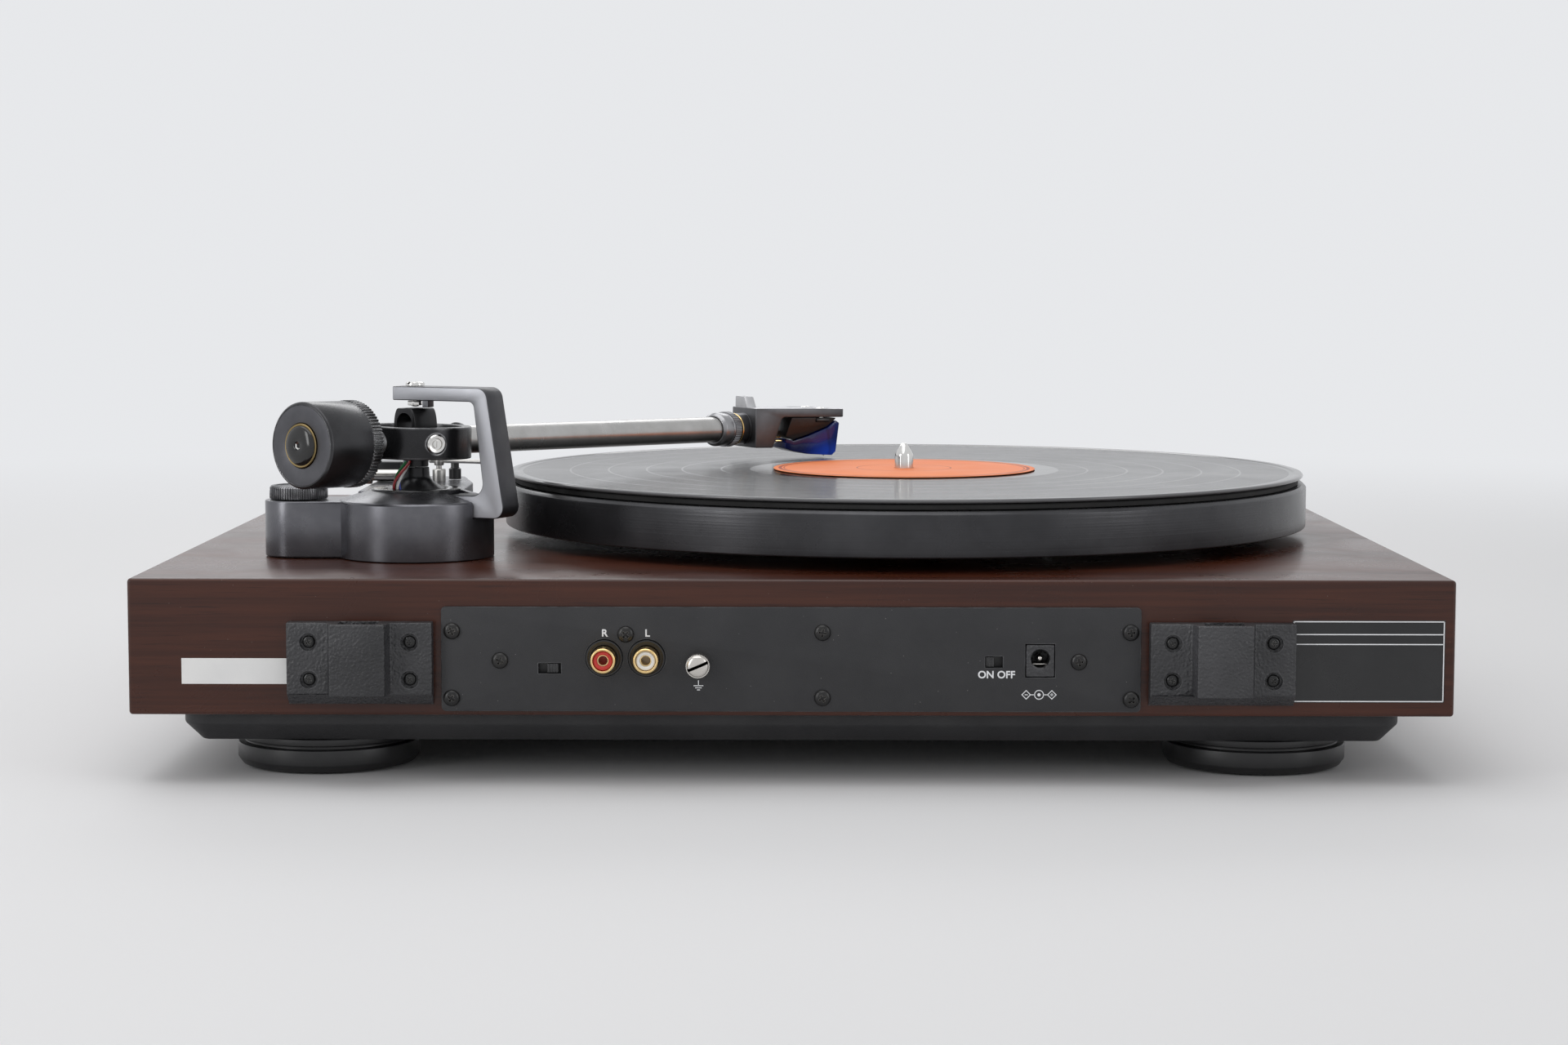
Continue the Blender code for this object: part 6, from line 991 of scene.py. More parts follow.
def makeGround():
    size = groundSize
    start = panelFace + gap
    at = move(size["x"], start, deck - size["drop"]) @ outwards
    bore = size["bore"]
    flat = [(bore, 0), (size["washer"], 0), (size["washer"], size["thickness"]), (bore, size["thickness"])]
    washer = roundEdges(spun(flat, 56), 0.00012, 2)
    look = make("nickel", (size["x"], start, deck - size["drop"]), (-90, 0, 0), "Washer")
    newPiece("terminalWasher", placed(washer, at), look, "washer", ("ground_washer",))
    nut = knurled(size["thumb"], size["length"] - 0.0011, size["ridges"], 0.00016)
    domed = [(0, 0.0066), (0.0022, 0.00655), (0.0030, 0.0063), (0.0035, 0.0058), (0.0037, 0.0052),
             (0.0037, 0.0050), (0, 0.0050)]
    slot = placed(block(size["slot"], (0, 0, size["length"])), turnZ(-67))
    slotAgain = slot.copy()
    face = carved(spun(domed, 56), [slot])
    hollow = drum(bore, 0.0045, 32, -0.0001)
    nut = carved(nut, [hollow, slotAgain])
    whole = placed(gathered(nut, face), at @ move(0, 0, size["thickness"] + gap))
    look = make("nickel", (size["x"], start, deck - size["drop"]), (-90, 0, 0), "Thumb")
    newPiece("terminalScrew", whole, look, "thumbscrew", ("ground_thumbscrew",))
    dress("ground_post", make("nickel", suffix="Post"))


makePanel()
makePanelScrews()
makeRcaSockets()
makeDcSocket()
makeSwitches()
makeGround()
print("rear panel and sockets made")

# Print on the panel, and the two bare plates

printSize = {"letter": 0.0024, "lift": 0.00002, "line": 0.00028, "thickness": 0.00006,
             "words": (("R", 0.0610, 0.0186), ("L", 0.0470, 0.0186), ("ON", -0.0638, 0.0321),
                       ("OFF", -0.0704, 0.0321)),
             "plug": (-0.0812, 0.0376), "ring": 0.0016, "dot": 0.00055, "apart": 0.0042,
             "earth": 0.0303, "earthBars": ((0.0032, 0.0348), (0.0021, 0.0355), (0.0010, 0.0362)),
             "earthStem": (0.0018, 0.0339)}


def printRing(radius, width, sides=40):
    # width is taken across the flats of a square
    inner = radius - width * (1 if sides > 4 else 1.42)
    thickness = printSize["thickness"]
    return spun([(inner, 0), (radius, 0), (radius, thickness), (inner, thickness)], sides)


def printBar(wide, tall, x=0):
    thickness = printSize["thickness"]
    return block((wide, tall, thickness), (x, 0, thickness / 2))


def makePrint():
    size = printSize
    lift = panelFace + size["lift"]
    line = size["line"]
    ring = size["ring"]
    apart = size["apart"]
    parts = [placed(lettering(text, size["letter"]), onPanel(x, drop, lift) @ readable)
             for text, x, drop in size["words"]]
    signs = [printRing(ring, line), drum(size["dot"], size["thickness"], 24)]
    for side in (-1, 1):
        signs.append(placed(printRing(ring, line, 4), move(side * apart, 0, 0)))
        signs.append(printBar(0.0012, line, side * apart / 2))
        signs.append(printBar(0.0010, line, side * apart))
    signs.append(printBar(line, 0.0010, apart))
    plug = onPanel(*size["plug"], lift) @ readable
    parts += [placed(sign, plug) for sign in signs]
    for width, drop in size["earthBars"]:
        parts.append(placed(printBar(width, line), onPanel(size["earth"], drop, lift) @ readable))
    tall, drop = size["earthStem"]
    parts.append(placed(printBar(line, tall), onPanel(size["earth"], drop, lift) @ readable))
    newPiece("panelPrint", gathered(*parts), make("paintedWhite"), "chassis")


plateSize = {"sticker": (0.1646, 0.1999, 0.0262, 0.0347), "plate": (-0.2140, -0.1641, 0.0131, 0.0402)}


def makePlates():
    left, right, top, bottom = plateSize["sticker"]
    centre = move((left + right) / 2, rear + 0.00008, deck - (top + bottom) / 2)
    sheet = roundEdges(block((right - left, 0.00014, bottom - top)), 0.00004, 1)
    newPiece("bareSticker", placed(sheet, centre), make("stickerWhite"), "chassis")
    left, right, top, bottom = plateSize["plate"]
    wide = right - left
    tall = bottom - top
    centre = move((left + right) / 2, rear + 0.00015, deck - (top + bottom) / 2)
    sheet = roundEdges(block((wide, 0.00028, tall)), 0.00008, 1)
    newPiece("barePlate", placed(sheet, centre), make("plateBlack"), "chassis")
    line = 0.00035
    edge = 0.0004
    bars = []
    for side in (-1, 1):
        bars.append(block((wide - 2 * edge, 0.00004, line), (0, 0.00016, side * (tall / 2 - edge))))
        bars.append(block((line, 0.00004, tall - 2 * edge), (side * (wide / 2 - edge), 0.00016, 0)))
    for share in (0.17, 0.29):
        bars.append(block((wide - 2 * edge, 0.00004, line), (0, 0.00016, tall * (0.5 - share))))
    newPiece("plateBorder", placed(gathered(*bars), centre), make("paintedWhite", suffix="Border"),
             "chassis")


makePrint()
makePlates()

# Hinge brackets

bracketSize = {"width": 0.0475, "height": 0.0274, "depth": 0.011, "flange": 0.005, "block": 0.0180,
               "ramp": 0.0012, "under": 0.0038, "centre": 0.1409, "drop": 0.0275, "pocket": 0.00295,
               "pocketDepth": 0.0012, "socket": (0.0130, 0.0075, 0.0210), "wall": 0.0020,
               "screwsAcross": (-0.01645, 0.01645), "screwDrops": (-0.0073, 0.0050)}


def makeBrackets():
    size = bracketSize
    half = size["width"] / 2
    inner = size["block"] / 2
    flange = size["flange"]
    tall = size["height"]
    deep = size["depth"] - gap
    for side, sign in (("left", -1), ("right", 1)):
        x = sign * size["centre"]
        body = plate([(-half, 0), (half, 0), (half, flange), (inner + size["ramp"], flange),
                      (inner, deep), (-inner, deep), (-inner - size["ramp"], flange), (-half, flange)],
                     tall)
        wedge = plate([(flange, -tall / 2 + size["under"]), (0.0006, -tall / 2 - 0.0001),
                       (0.0006, -tall / 2 - 0.004), (0.020, -tall / 2 - 0.004),
                       (0.020, -tall / 2 + size["under"])], size["width"] + 0.006)
        wedge = placed(wedge, turnZ(90) @ turnX(90))
        body = carved(body, [wedge])
        flatJoined(body)
        roundEdges(body, 0.00055, 3, 25, lambda edge: edge.verts[0].co.y + edge.verts[1].co.y > 0.0008)
        at = move(x, rear + gap, deck - size["drop"])
        width, depth, length = size["socket"]
        tools = [block((width, depth, length + 0.002),
                       (0, size["depth"] - gap - size["wall"] - depth / 2,
                        tall / 2 - length + (length + 0.002) / 2))]
        heads = []
        for across in size["screwsAcross"]:
            for drop in size["screwDrops"]:
                spot = move(across, flange, -drop) @ outwards
                tools.append(placed(drum(size["pocket"], 0.006, 48, -size["pocketDepth"]), spot.copy()))
                heads.append(placed(screwHead(screwSize["bracketHead"], screwSize["bracketDome"],
                                              across * 9000 + drop * 4000),
                                    at @ spot @ move(0, 0, -size["pocketDepth"])))
        body = placed(carved(body, tools), at)
        newPiece("hingeBracket_" + side, body, make("bracket", suffix="_" + side), "chassis",
                 ("hinge_bracket_" + side,))
        newPiece("bracketScrews_" + side, gathered(*heads), make("pocketScrew", suffix="_" + side),
                 "chassis")


makeBrackets()
print("brackets and plates made")

# Platter, mat, record, label and spindle

platterSize = {"radius": 0.152, "under": 0.0048, "top": 0.0207, "chamfer": 0.0012, "rim": 0.012,
               "web": 0.0060, "hub": 0.0125, "hubDrop": 0.0020, "hole": 0.00385, "ribs": 8,
               "rib": (0.086, 0.003, 0.007), "ribAt": 0.1005}
discSize = {"mat": 0.149, "matThickness": 0.0019, "record": 0.1508, "recordThickness": 0.0011,
            "bead": 0.0014, "label": 0.050, "labelThickness": 0.0002, "pressedRing": 0.0160}
spindleSize = {"radius": 0.00355, "end": -0.0285,
               "nose": ((0, 0.0343), (0.0006, 0.03425), (0.0011, 0.0340), (0.0017, 0.0331),
                        (0.00235, 0.0320), (0.00300, 0.0309), (0.00335, 0.0302), (0.00350, 0.0298))}


def makePlatter():
    size = platterSize
    web = size["top"] - size["web"]
    radius = size["radius"]
    profile = [(radius - size["chamfer"], size["top"]), (radius, size["top"] - size["chamfer"]),
               (radius, size["under"] + 0.0004), (radius - 0.0004, size["under"]),
               (radius - size["rim"], size["under"]), (radius - size["rim"] - size["chamfer"], web),
               (size["hub"], web), (size["hub"], web - size["hubDrop"]),
               (size["hole"], web - size["hubDrop"]), (size["hole"], size["top"])]
    body = roundEdges(spun(profile, 224), 0.0002, 3)
    ribs = [body]
    for index in range(size["ribs"]):
        rib = block(size["rib"], (size["ribAt"], 0, web - 0.0016))
        ribs.append(placed(rib, turnZ(360 / size["ribs"] * index)))
    whole = placed(gathered(*ribs), atPlatter)
    newPiece("turnedPlatter", whole, make("platterSide", platterAxis),
             "turning_platter", ("platter",))
    discs = discSize
    hole = size["hole"]
    low = size["top"] + gap
    high = low + discs["matThickness"]
    edge = discs["mat"]
    mat = [(edge - 0.0004, high), (edge, high - 0.0004), (edge, low), (hole, low), (hole, high)]
    newPiece("rubberMat", placed(roundEdges(spun(mat, 192), 0.00015, 2), atPlatter),
             make("rubber", platterAxis, suffix="Mat"), "turning_platter", ("platter_mat",))
    low = high + gap
    groove = low + discs["recordThickness"]
    rim = low + discs["bead"]
    edge = discs["record"]
    disc = [(discs["label"] + 0.0005, groove), (edge - 0.0040, groove), (edge - 0.0036, groove + 0.00004),
            (edge - 0.0032, rim - 0.00006), (edge - 0.0028, rim), (edge - 0.0008, rim),
            (edge - 0.0004, rim - 0.0001), (edge - 0.0001, rim - 0.0004), (edge, (rim + low) / 2),
            (edge - 0.0001, low + 0.0004), (edge - 0.0004, low + 0.0001), (edge - 0.0008, low),
            (hole, low), (hole, groove)]
    newPiece("pressedRecord", placed(spun(disc, 224), atPlatter), vinylLook(),
             "turning_platter", ("record",), 40)
    low = groove + gap
    high = low + discs["labelThickness"]
    edge = discs["label"]
    ring = discs["pressedRing"]
    paper = [(hole, low), (edge, low), (edge, high - 0.00005), (edge - 0.00005, high),
             (ring + 0.0005, high), (ring, high - 0.00004), (ring - 0.0005, high), (hole, high)]
    newPiece("paperLabel", placed(spun(paper, 160), atPlatter), labelLook(),
             "turning_platter", ("record_label",))
    radius = spindleSize["radius"]
    end = spindleSize["end"]
    pin = [*spindleSize["nose"], (radius, 0.0294), (radius, end + 0.0005), (radius - 0.0005, end), (0, end)]
    newPiece("steelSpindle", placed(spun(pin, 64), atPlatter),
             make("polished", platterAxis, suffix="Spindle"), "turning_platter", ("spindle",),
             50)
    dress("rotor_magnet", make("ferrite"))
    dress("motor_base", make("steel", platterAxis, suffix="Motor"))
    dress("bearing_bush", make("bronze"))
    dress("motor_stator", make("copper"))
    dress("main_board", boardLook())


makePlatter()
print("platter and record made")

# Tonearm base

baseSize = {"tower": 0.0272, "wallTop": 0.0200, "top": 0.0235, "topRadius": 0.0160, "dialReach": 0.0415,
            "dialShift": 0.0010, "dialRadius": 0.0117, "wingTop": 0.0230,
            "slot": (0.0165, 0.0116, 0.0120), "slotStart": 0.0137, "slotLow": 0.0145, "spigot": 0.0058,
            "spigotLow": 0.0132, "rodHole": 0.0013, "stem": 0.0033, "stemLow": 0.0137, "lid": 0.0157,
            "lidHole": 0.0103, "sleeve": 0.0024}


def makeBase():
    size = baseSize
    radius = size["tower"]
    tower = [(0, size["top"]), (size["topRadius"], size["top"]),
             (radius - 0.0007, size["wallTop"] + 0.00035), (radius, size["wallTop"] - 0.0003),
             (radius, gap), (0, gap)]
    body = roundEdges(spun(tower, 160), 0.00022, 3, 20)
    end = size["dialRadius"]
    shift = size["dialShift"]
    high = size["wallTop"] - gap
    dialBlock = plate([(0, -end - shift), (size["dialReach"] + end, -end - shift, end * 0.999),
                       (size["dialReach"] + end, end - shift, end * 0.999), (0, end - shift)], high, 24)
    roundEdges(dialBlock, 0.0006, 3, 45)
    placed(dialBlock, move(0, 0, gap + high / 2))
    high = size["wingTop"] - gap
    wing = plate([(-0.0155, 0), (-0.0155, -0.042, 0.003), (-0.0095, -0.072, 0.003),
                  (0.0205, -0.072, 0.003), (0.0205, 0)], high, 8)
    roundEdges(wing, 0.0006, 3, 45)
    placed(wing, move(0, 0, gap + high / 2))
    body = carved(body, [dialBlock, wing], "UNION")
    length, across, high = size["slot"]
    middle = (size["slotStart"] + length / 2, 0, size["slotLow"] + high / 2)
    slot = placed(block((length, across, high), middle), yokeTurn)
    spigot = drum(size["spigot"], 0.0125, 48, size["spigotLow"])
    rodHole = placed(drum(size["rodHole"], 0.008, 24, size["wingTop"] - 0.004), move(*guide))
    stem = placed(drum(size["stem"], 0.0085, 32, size["stemLow"]), move(size["dialReach"], -shift, 0))
    body = carved(body, [slot, spigot, rodHole, stem])
    newPiece("armBaseCasting", placed(body, atPivot), make("casting", pivot),
             "chassis", ("tonearm_base",))
    top = size["top"]
    hole = size["lidHole"]
    edge = size["lid"]
    lid = [(hole, top - 0.0001), (edge, top - 0.0001), (edge, top + 0.0004), (edge - 0.0004, top + 0.0007),
           (hole, top + 0.0007)]
    newPiece("towerLid", placed(roundEdges(spun(lid, 128), 0.0001, 2),
                                atPivot),
             make("lidBlack", pivot), "chassis")
    top = size["wingTop"]
    hole = size["rodHole"]
    edge = size["sleeve"]
    sleeve = [(hole, top - 0.0002), (edge, top - 0.0002), (edge, top + 0.0045), (edge - 0.0003, top + 0.0048),
              (hole, top + 0.0048)]
    newPiece("liftSleeve", placed(roundEdges(spun(sleeve, 48), 0.00012, 2),
                                  atPivot @ move(*guide)),
             make("satin", pivot + guide, suffix="Sleeve"), "chassis")


pillarSize = {"top": 0.0315, "neck": 0.0288, "foot": 0.0238, "neckRadius": 0.0048, "flare": 0.0052,
              "root": 0.0055, "low": 0.0135, "steps": 14}


def makePillar():
    size = pillarSize
    radius = size["neckRadius"]
    top = size["top"]
    foot = size["foot"]
    profile = [(0, top), (radius - 0.0004, top), (radius - 0.0002, top - 0.0002), (radius, size["neck"])]
    for step in range(1, size["steps"] + 1):
        share = step / size["steps"]
        profile.append((radius + size["flare"] * share ** 2,
                        size["neck"] + (foot + 0.0004 - size["neck"]) * share))
    profile += [(radius + size["flare"], foot), (size["root"], foot), (size["root"], size["low"]),
                (0, size["low"])]
    newPiece("flaredPillar", placed(spun(profile, 80), atPivot), make("anodised", pivot, suffix="Pillar"),
             "chassis", ("bearing_pillar",), 40)


yokeSize = {"thickness": 0.0110, "top": 0.0599, "arm": 0.0048, "behind": 0.0059, "topReach": 0.0318,
            "footReach": 0.0392, "legTop": 0.0051, "legFoot": 0.0083, "footLow": 0.0148,
            "footTop": 0.0225, "footBehind": 0.0140, "outer": 0.0040, "inner": 0.0045}


def makeYoke():
    size = yokeSize
    under = size["top"] - size["arm"]
    body = plate([(-size["behind"], size["top"]), (-size["behind"], under),
                  (size["topReach"] - size["legTop"], under, size["inner"] / 2),
                  (size["footReach"] - size["legFoot"], size["footTop"], size["inner"]),
                  (size["footBehind"], size["footTop"]), (size["footBehind"], size["footLow"]),
                  (size["footReach"], size["footLow"], size["outer"]),
                  (size["topReach"], size["top"], size["outer"])], size["thickness"], 14)
    roundEdges(body, 0.0004, 3, 40)
    hole = placed(drum(0.0018, 0.012, 32, under - 0.003), turnX(-90))
    tab = block((0.0023, 0.0025 + size["arm"] / 2, 0.0040),
                (0.0052, under - 0.0025 + (0.0025 + size["arm"] / 2) / 2, 0))
    roundEdges(tab, 0.0002, 2)
    body = gathered(carved(body, [hole]), tab)
    look = make("blasted", pivot, suffix="Yoke")
    newPiece("blastedYoke", placed(body, yokeFace), look, "chassis", ("bearing_yoke",))


pivotScrewSize = {"head": 0.0034, "headHeight": 0.0012, "shank": 0.0015, "tip": 0.0526, "nut": 0.0028,
                  "nutHeight": 0.0016, "slot": (0.0085, 0.0009, 0.0014)}


def makePivotScrew():
    size = pivotScrewSize
    top = yokeSize["top"] + gap
    under = yokeSize["top"] - yokeSize["arm"] - gap
    high = top + size["headHeight"]
    wide = size["head"]
    shank = size["shank"]
    profile = [(0, high), (wide - 0.0007, high), (wide - 0.0003, high - 0.0002), (wide, top + 0.0005),
               (wide, top), (shank, top), (shank, under), (shank, under - 0.0018),
               (shank - 0.0004, under - 0.0020), (0, size["tip"])]
    screw = carved(spun(profile, 56), [block(size["slot"], (0, 0, high))])
    nut = roundEdges(drum(size["nut"], size["nutHeight"], 6, under - size["nutHeight"]), 0.00018, 2, 40)
    whole = placed(gathered(screw, nut), swing)
    newPiece("pivotScrew", whole, make("polished", pivot, suffix="PivotScrew"), "chassis",
             ("upper_pivot_screw",))


makeBase()
makePillar()
makeYoke()
makePivotScrew()
print("tonearm base made")

# Gimbal

gimbalSize = {"width": 0.0104, "length": 0.0112, "top": 0.0523, "bottom": 0.0350, "bore": 0.0037,
              "boreHeight": 0.0470, "crest": 0.0030, "shoulder": 0.0455, "stem": 0.0044,
              "trunnion": 0.0042, "reach": 0.0095, "ring": 0.0195, "wall": 0.0033, "ringHeight": 0.0112}


def makeGimbal():
    size = gimbalSize
    half = size["width"] / 2
    arch = []
    for step in range(11):
        angle = math.radians(9 * step)
        arch.append((size["crest"] + (half - size["crest"]) * math.cos(angle),
                     size["shoulder"] + (size["top"] - size["shoulder"]) * math.sin(angle)))
    mirrored = [(-x, y) for x, y in reversed(arch)]
    body = plate([(-half, size["bottom"]), (half, size["bottom"]), *arch, *mirrored], size["length"], 14)
    roundEdges(body, 0.0003, 2, 40)
    placed(body, turnZ(90) @ turnX(90))
    low = pillarSize["top"] + gap
    stem = drum(size["stem"], size["bottom"] - low + 0.0004, 56, low)
    trunnion = placed(drum(size["trunnion"], 2 * size["reach"], 56, -size["reach"]),
                      move(0, 0, armHeight) @ turnZ(sidewards) @ turnX(90))
    body = carved(body, [stem, trunnion], "UNION")
    body = carved(body, [placed(drum(size["bore"], 0.016, 48, -0.008),
                                move(0, 0, size["boreHeight"]) @ turnY(90))])
    newPiece("gimbalBlock", placed(body, swing), make("anodised", pivot, suffix="Block"), "arm_yaw",
             ("gimbal_block",))
    outer = size["ring"]
    inner = outer - size["wall"]
    up = size["ringHeight"] / 2
    ring = roundEdges(spun([(outer, up), (outer, -up), (inner, -up), (inner, up)], 144),
                      0.0005, 3)
    tools = []
    for side in (-1, 1):
        at = turnZ(sidewards) @ turnX(side * 90)
        tools.append(placed(drum(0.0036, 0.004, 56, outer - 0.0015), at.copy()))
        tools.append(placed(drum(0.0023, 0.008, 32, inner - 0.002), at.copy()))
    newPiece("gimbalRing", placed(carved(ring, tools), tilt),
             make("ringBlack", pivot + Vector((0, 0, armHeight))), "arm_tilt",
             ("gimbal_ring",))
    top = outer + 0.0004
    head = [(0, top - 0.0002), (0.0013, top - 0.0002), (0.0014, top - 0.0007), (0.0019, top - 0.0007),
            (0.0021, top - 0.0001), (0.0029, top), (0.0033, top - 0.0004), (0.0033, top - 0.0016),
            (0.0020, top - 0.0016), (0.0020, size["reach"] + 0.0007), (0, size["reach"] + 0.0003)]
    for side, name in ((-1, "front"), (1, "rear")):
        at = tilt @ turnZ(sidewards) @ turnX(side * 90)
        slot = block((0.0004, 0.0022, 0.0008), (0, 0, top - 0.0002))
        screw = carved(spun(head, 56), [slot])
        newPiece("bearingScrew_" + name, placed(screw, at), make("polished", suffix="Bearing_" + name),
                 "arm_tilt", ("bearing_screw_" + name,))


# Tonearm tube, collar and headshell

tubeSize = {"radius": 0.0050, "bore": 0.0040, "start": 0.0162, "end": 0.1717, "collarStart": 0.1660,
            "collar": 0.0070, "collarLength": 0.0110, "shaftEnd": 0.0500, "hugs": 0.0198,
            "colletHugs": 0.0196}


def makeTube():
    size = tubeSize
    start = size["start"]
    radius = size["radius"]
    ring = [(radius, start), (radius, size["end"]), (size["bore"], size["end"]), (size["bore"], start)]
    tube = placed(spun(ring, 72), turnY(90))
    tube = carved(tube, [drum(size["hugs"], 0.030, 128, -0.015)])
    look = make("titanium", tubeLine.translation, tubeAngles)
    newPiece("titaniumTube", placed(tube, tilt), look, "arm_tilt", ("arm_tube",))
    seat = [(0.0049, 0.0199), (0.0058, 0.0199), (0.0062, 0.0203), (0.0062, 0.0212), (0.0058, 0.0218),
            (0.0051, 0.0222), (0.0049, 0.0222)]
    collet = placed(spun(seat, 56), turnY(90))
    collet = carved(collet, [drum(size["colletHugs"], 0.030, 128, -0.015)])
    newPiece("tubeCollet", placed(collet, tilt), make("anodised", suffix="Collet"), "arm_tilt")
    rodLine = [(0, start), (radius, start), (radius, size["shaftEnd"]), (0, size["shaftEnd"])]
    shaft = placed(spun(rodLine, 56), turnY(-90))
    shaft = carved(shaft, [drum(size["hugs"], 0.030, 128, -0.015)])
    newPiece("threadedShaft", placed(shaft, tilt),
             finishLook("shaftThread", dict(finishes["steel"], rings=(0.0008, 0.00012)),
                        weightLine.translation, tubeAngles), "arm_tilt", ("counterweight_shaft",))
    outer = size["collar"]
    long = size["collarLength"]
    bore = radius + gap / 2
    body = [(bore, 0), (outer - 0.0014, 0), (outer - 0.0004, 0.0011), (outer - 0.0004, long - 0.0055),
            (outer - 0.0008, long - 0.0052), (outer - 0.0008, long - 0.0049),
            (outer - 0.0005, long - 0.0046), (outer - 0.0005, long - 0.0008), (outer - 0.0010, long),
            (bore, long)]
    ring = roundEdges(spun(body, 80), 0.00012, 2)
    band = placed(knurled(outer, 0.0035, 52, 0.00022), move(0, 0, long - 0.0011 - 0.0035))
    band = carved(band, [drum(bore, 0.012, 48, 0)])
    at = tubeLine @ move(0, 0, size["collarStart"])
    newPiece("knurledCollar", placed(gathered(ring, band), at), make("knurl", suffix="Collar"),
             "turning_collar", ("headshell_collar",))


shellSize = {"start": 0.0012, "length": 0.0413, "top": 0.0445, "noseTop": 0.0443, "slope": 0.0270,
             "under": 0.0410, "blockLow": 0.0288, "blockLong": 0.0080, "blockSlant": 0.0040,
             "width": 0.0204, "noseWidth": 0.0180, "armHeight": 0.03604, "tabHeight": 0.0044,
             "tabLong": 0.0042, "tabOuter": 0.0086, "tabBase": 0.0106, "tabTop": 0.0075,
             "slot": (0.0120, 0.0026, 0.010), "slotAt": 0.0300, "slotsAcross": (-0.00635, 0.00635),
             "screwsAt": 0.0326, "neck": 0.0062, "neckEnd": 0.1880}


def makeHeadshell():
    size = shellSize
    base = size["armHeight"]
    top, nose, under, low = [size[key] - base for key in ("top", "noseTop", "under", "blockLow")]
    end = size["start"] + size["length"]
    blockEnd = size["start"] + size["blockLong"]
    half = size["width"] / 2
    tip = size["noseWidth"] / 2
    side = plate([(size["start"], top), (size["start"], low), (blockEnd, low),
                  (blockEnd + size["blockSlant"], under, 0.0020), (end, under), (end, nose),
                  (size["slope"], top)], size["width"] + 0.004, 8)
    placed(side, turnX(90))
    plan = plate([(size["start"] - 0.002, -half), (size["slope"], -half), (end, -tip, 0.0025),
                  (end, tip, 0.0025), (size["slope"], half), (size["start"] - 0.002, half)], 0.032, 8)
    body = carved(side, [plan], "INTERSECT")
    flatJoined(body)
    roundEdges(body, 0.0004, 3, 35)
    slots = []
    for across in size["slotsAcross"]:
        slots.append(block(size["slot"], (size["slotAt"], across, under)))
    body = carved(body, slots)
    outer = size["tabOuter"]
    crest = top + size["tabHeight"]
    tab = plate([(outer - size["tabBase"], top - 0.0004), (outer, top - 0.0004), (outer, crest, 0.0008),
                 (outer - size["tabTop"], crest, 0.0012)], size["tabLong"], 5)
    roundEdges(tab, 0.0003, 2, 40)
    placed(tab, move(size["start"] + 0.0004 + size["tabLong"] / 2, 0, 0) @ turnZ(90) @ turnX(90))
    body = placed(body, headAxis)
    newPiece("shellTab", placed(tab, headAxis), make("tab"), "arm_tilt")
    neckStart = tubeSize["collarStart"] + tubeSize["collarLength"] + gap
    wide = size["neck"]
    neck = spun([(0, neckStart), (wide - 0.0004, neckStart), (wide, neckStart + 0.0004),
                 (wide, size["neckEnd"]), (0, size["neckEnd"])], 72)
    seat = tubeSize["end"] + gap
    plug = spun([(0, seat), (tubeSize["radius"], seat), (tubeSize["radius"], neckStart + 0.0004),
                 (0, neckStart + 0.0004)], 56)
    body = gathered(body, placed(neck, tubeLine), placed(plug, tubeLine))
    inner = wide - 0.0004
    collarRing = spun([(inner, neckStart + 0.0001), (wide + 0.00015, neckStart + 0.0001),
                       (wide + 0.0003, neckStart + 0.0003), (wide + 0.0003, neckStart + 0.0007),
                       (inner, neckStart + 0.0007)], 72)
    newPiece("neckRing", placed(collarRing, tubeLine), make("gold", suffix="Neck"), "arm_tilt")
    newPiece("darkHeadshell", body, make("shell"), "arm_tilt", ("headshell",))
    screws = []
    for across in size["slotsAcross"]:
        at = headAxis @ move(size["screwsAt"], across, top - 0.0006)
        screws.append(placed(screwHead(0.0021, 0.0010, 30 + across * 5000), at))
        screws.append(placed(drum(0.0011, 0.0040, 24, -0.0040), at))
    newPiece("cartridgeScrews", gathered(*screws), make("polished", suffix="CartridgeScrew"), "arm_tilt")


cartridgeSize = {"start": 0.0166, "length": 0.0220, "lean": 0.0020, "bottom": 0.0319, "width": 0.0164,
                 "noseDrop": 0.0005, "low": 0.0254, "foot": 0.0100, "overhang": 0.0020, "toe": 0.0015,
                 "noseRise": 0.0132, "stylus": 0.0380,
                 "under": ((0.0, 0.0010), (0.0039, 0.0), (0.0102, 0.0020), (0.0186, 0.0053)),
                 "unitUnder": ((0.0007, 0.0029), (0.0049, 0.0016), (0.0114, 0.0005), (0.0203, 0.0001))}
# each lead: place across, height, colour
leads = {"redLead": (0.0036, 0.0352, (0.45, 0.02, 0.02)),
         "greenLead": (0.0012, 0.0339, (0.02, 0.22, 0.06)),
         "blueLead": (-0.0012, 0.0326, (0.02, 0.05, 0.40)),
         "whiteLead": (-0.0036, 0.0313, (0.70, 0.70, 0.68))}
leadShape = {"radius": 0.00036, "end": 0.0102, "sag": 0.0009, "fall": 0.0010, "draw": 0.30, "steps": 12,
             "pin": 0.00055, "pinLength": 0.0030, "pinProud": 0.0018}


def drawnIn(bm, top, bottom, topWidth, bottomWidth):
    for vert in bm.verts:
        share = min(max((top - vert.co.y) / (top - bottom), 0), 1)
        vert.co.z *= (topWidth + (bottomWidth - topWidth) * share) / topWidth
    return bm


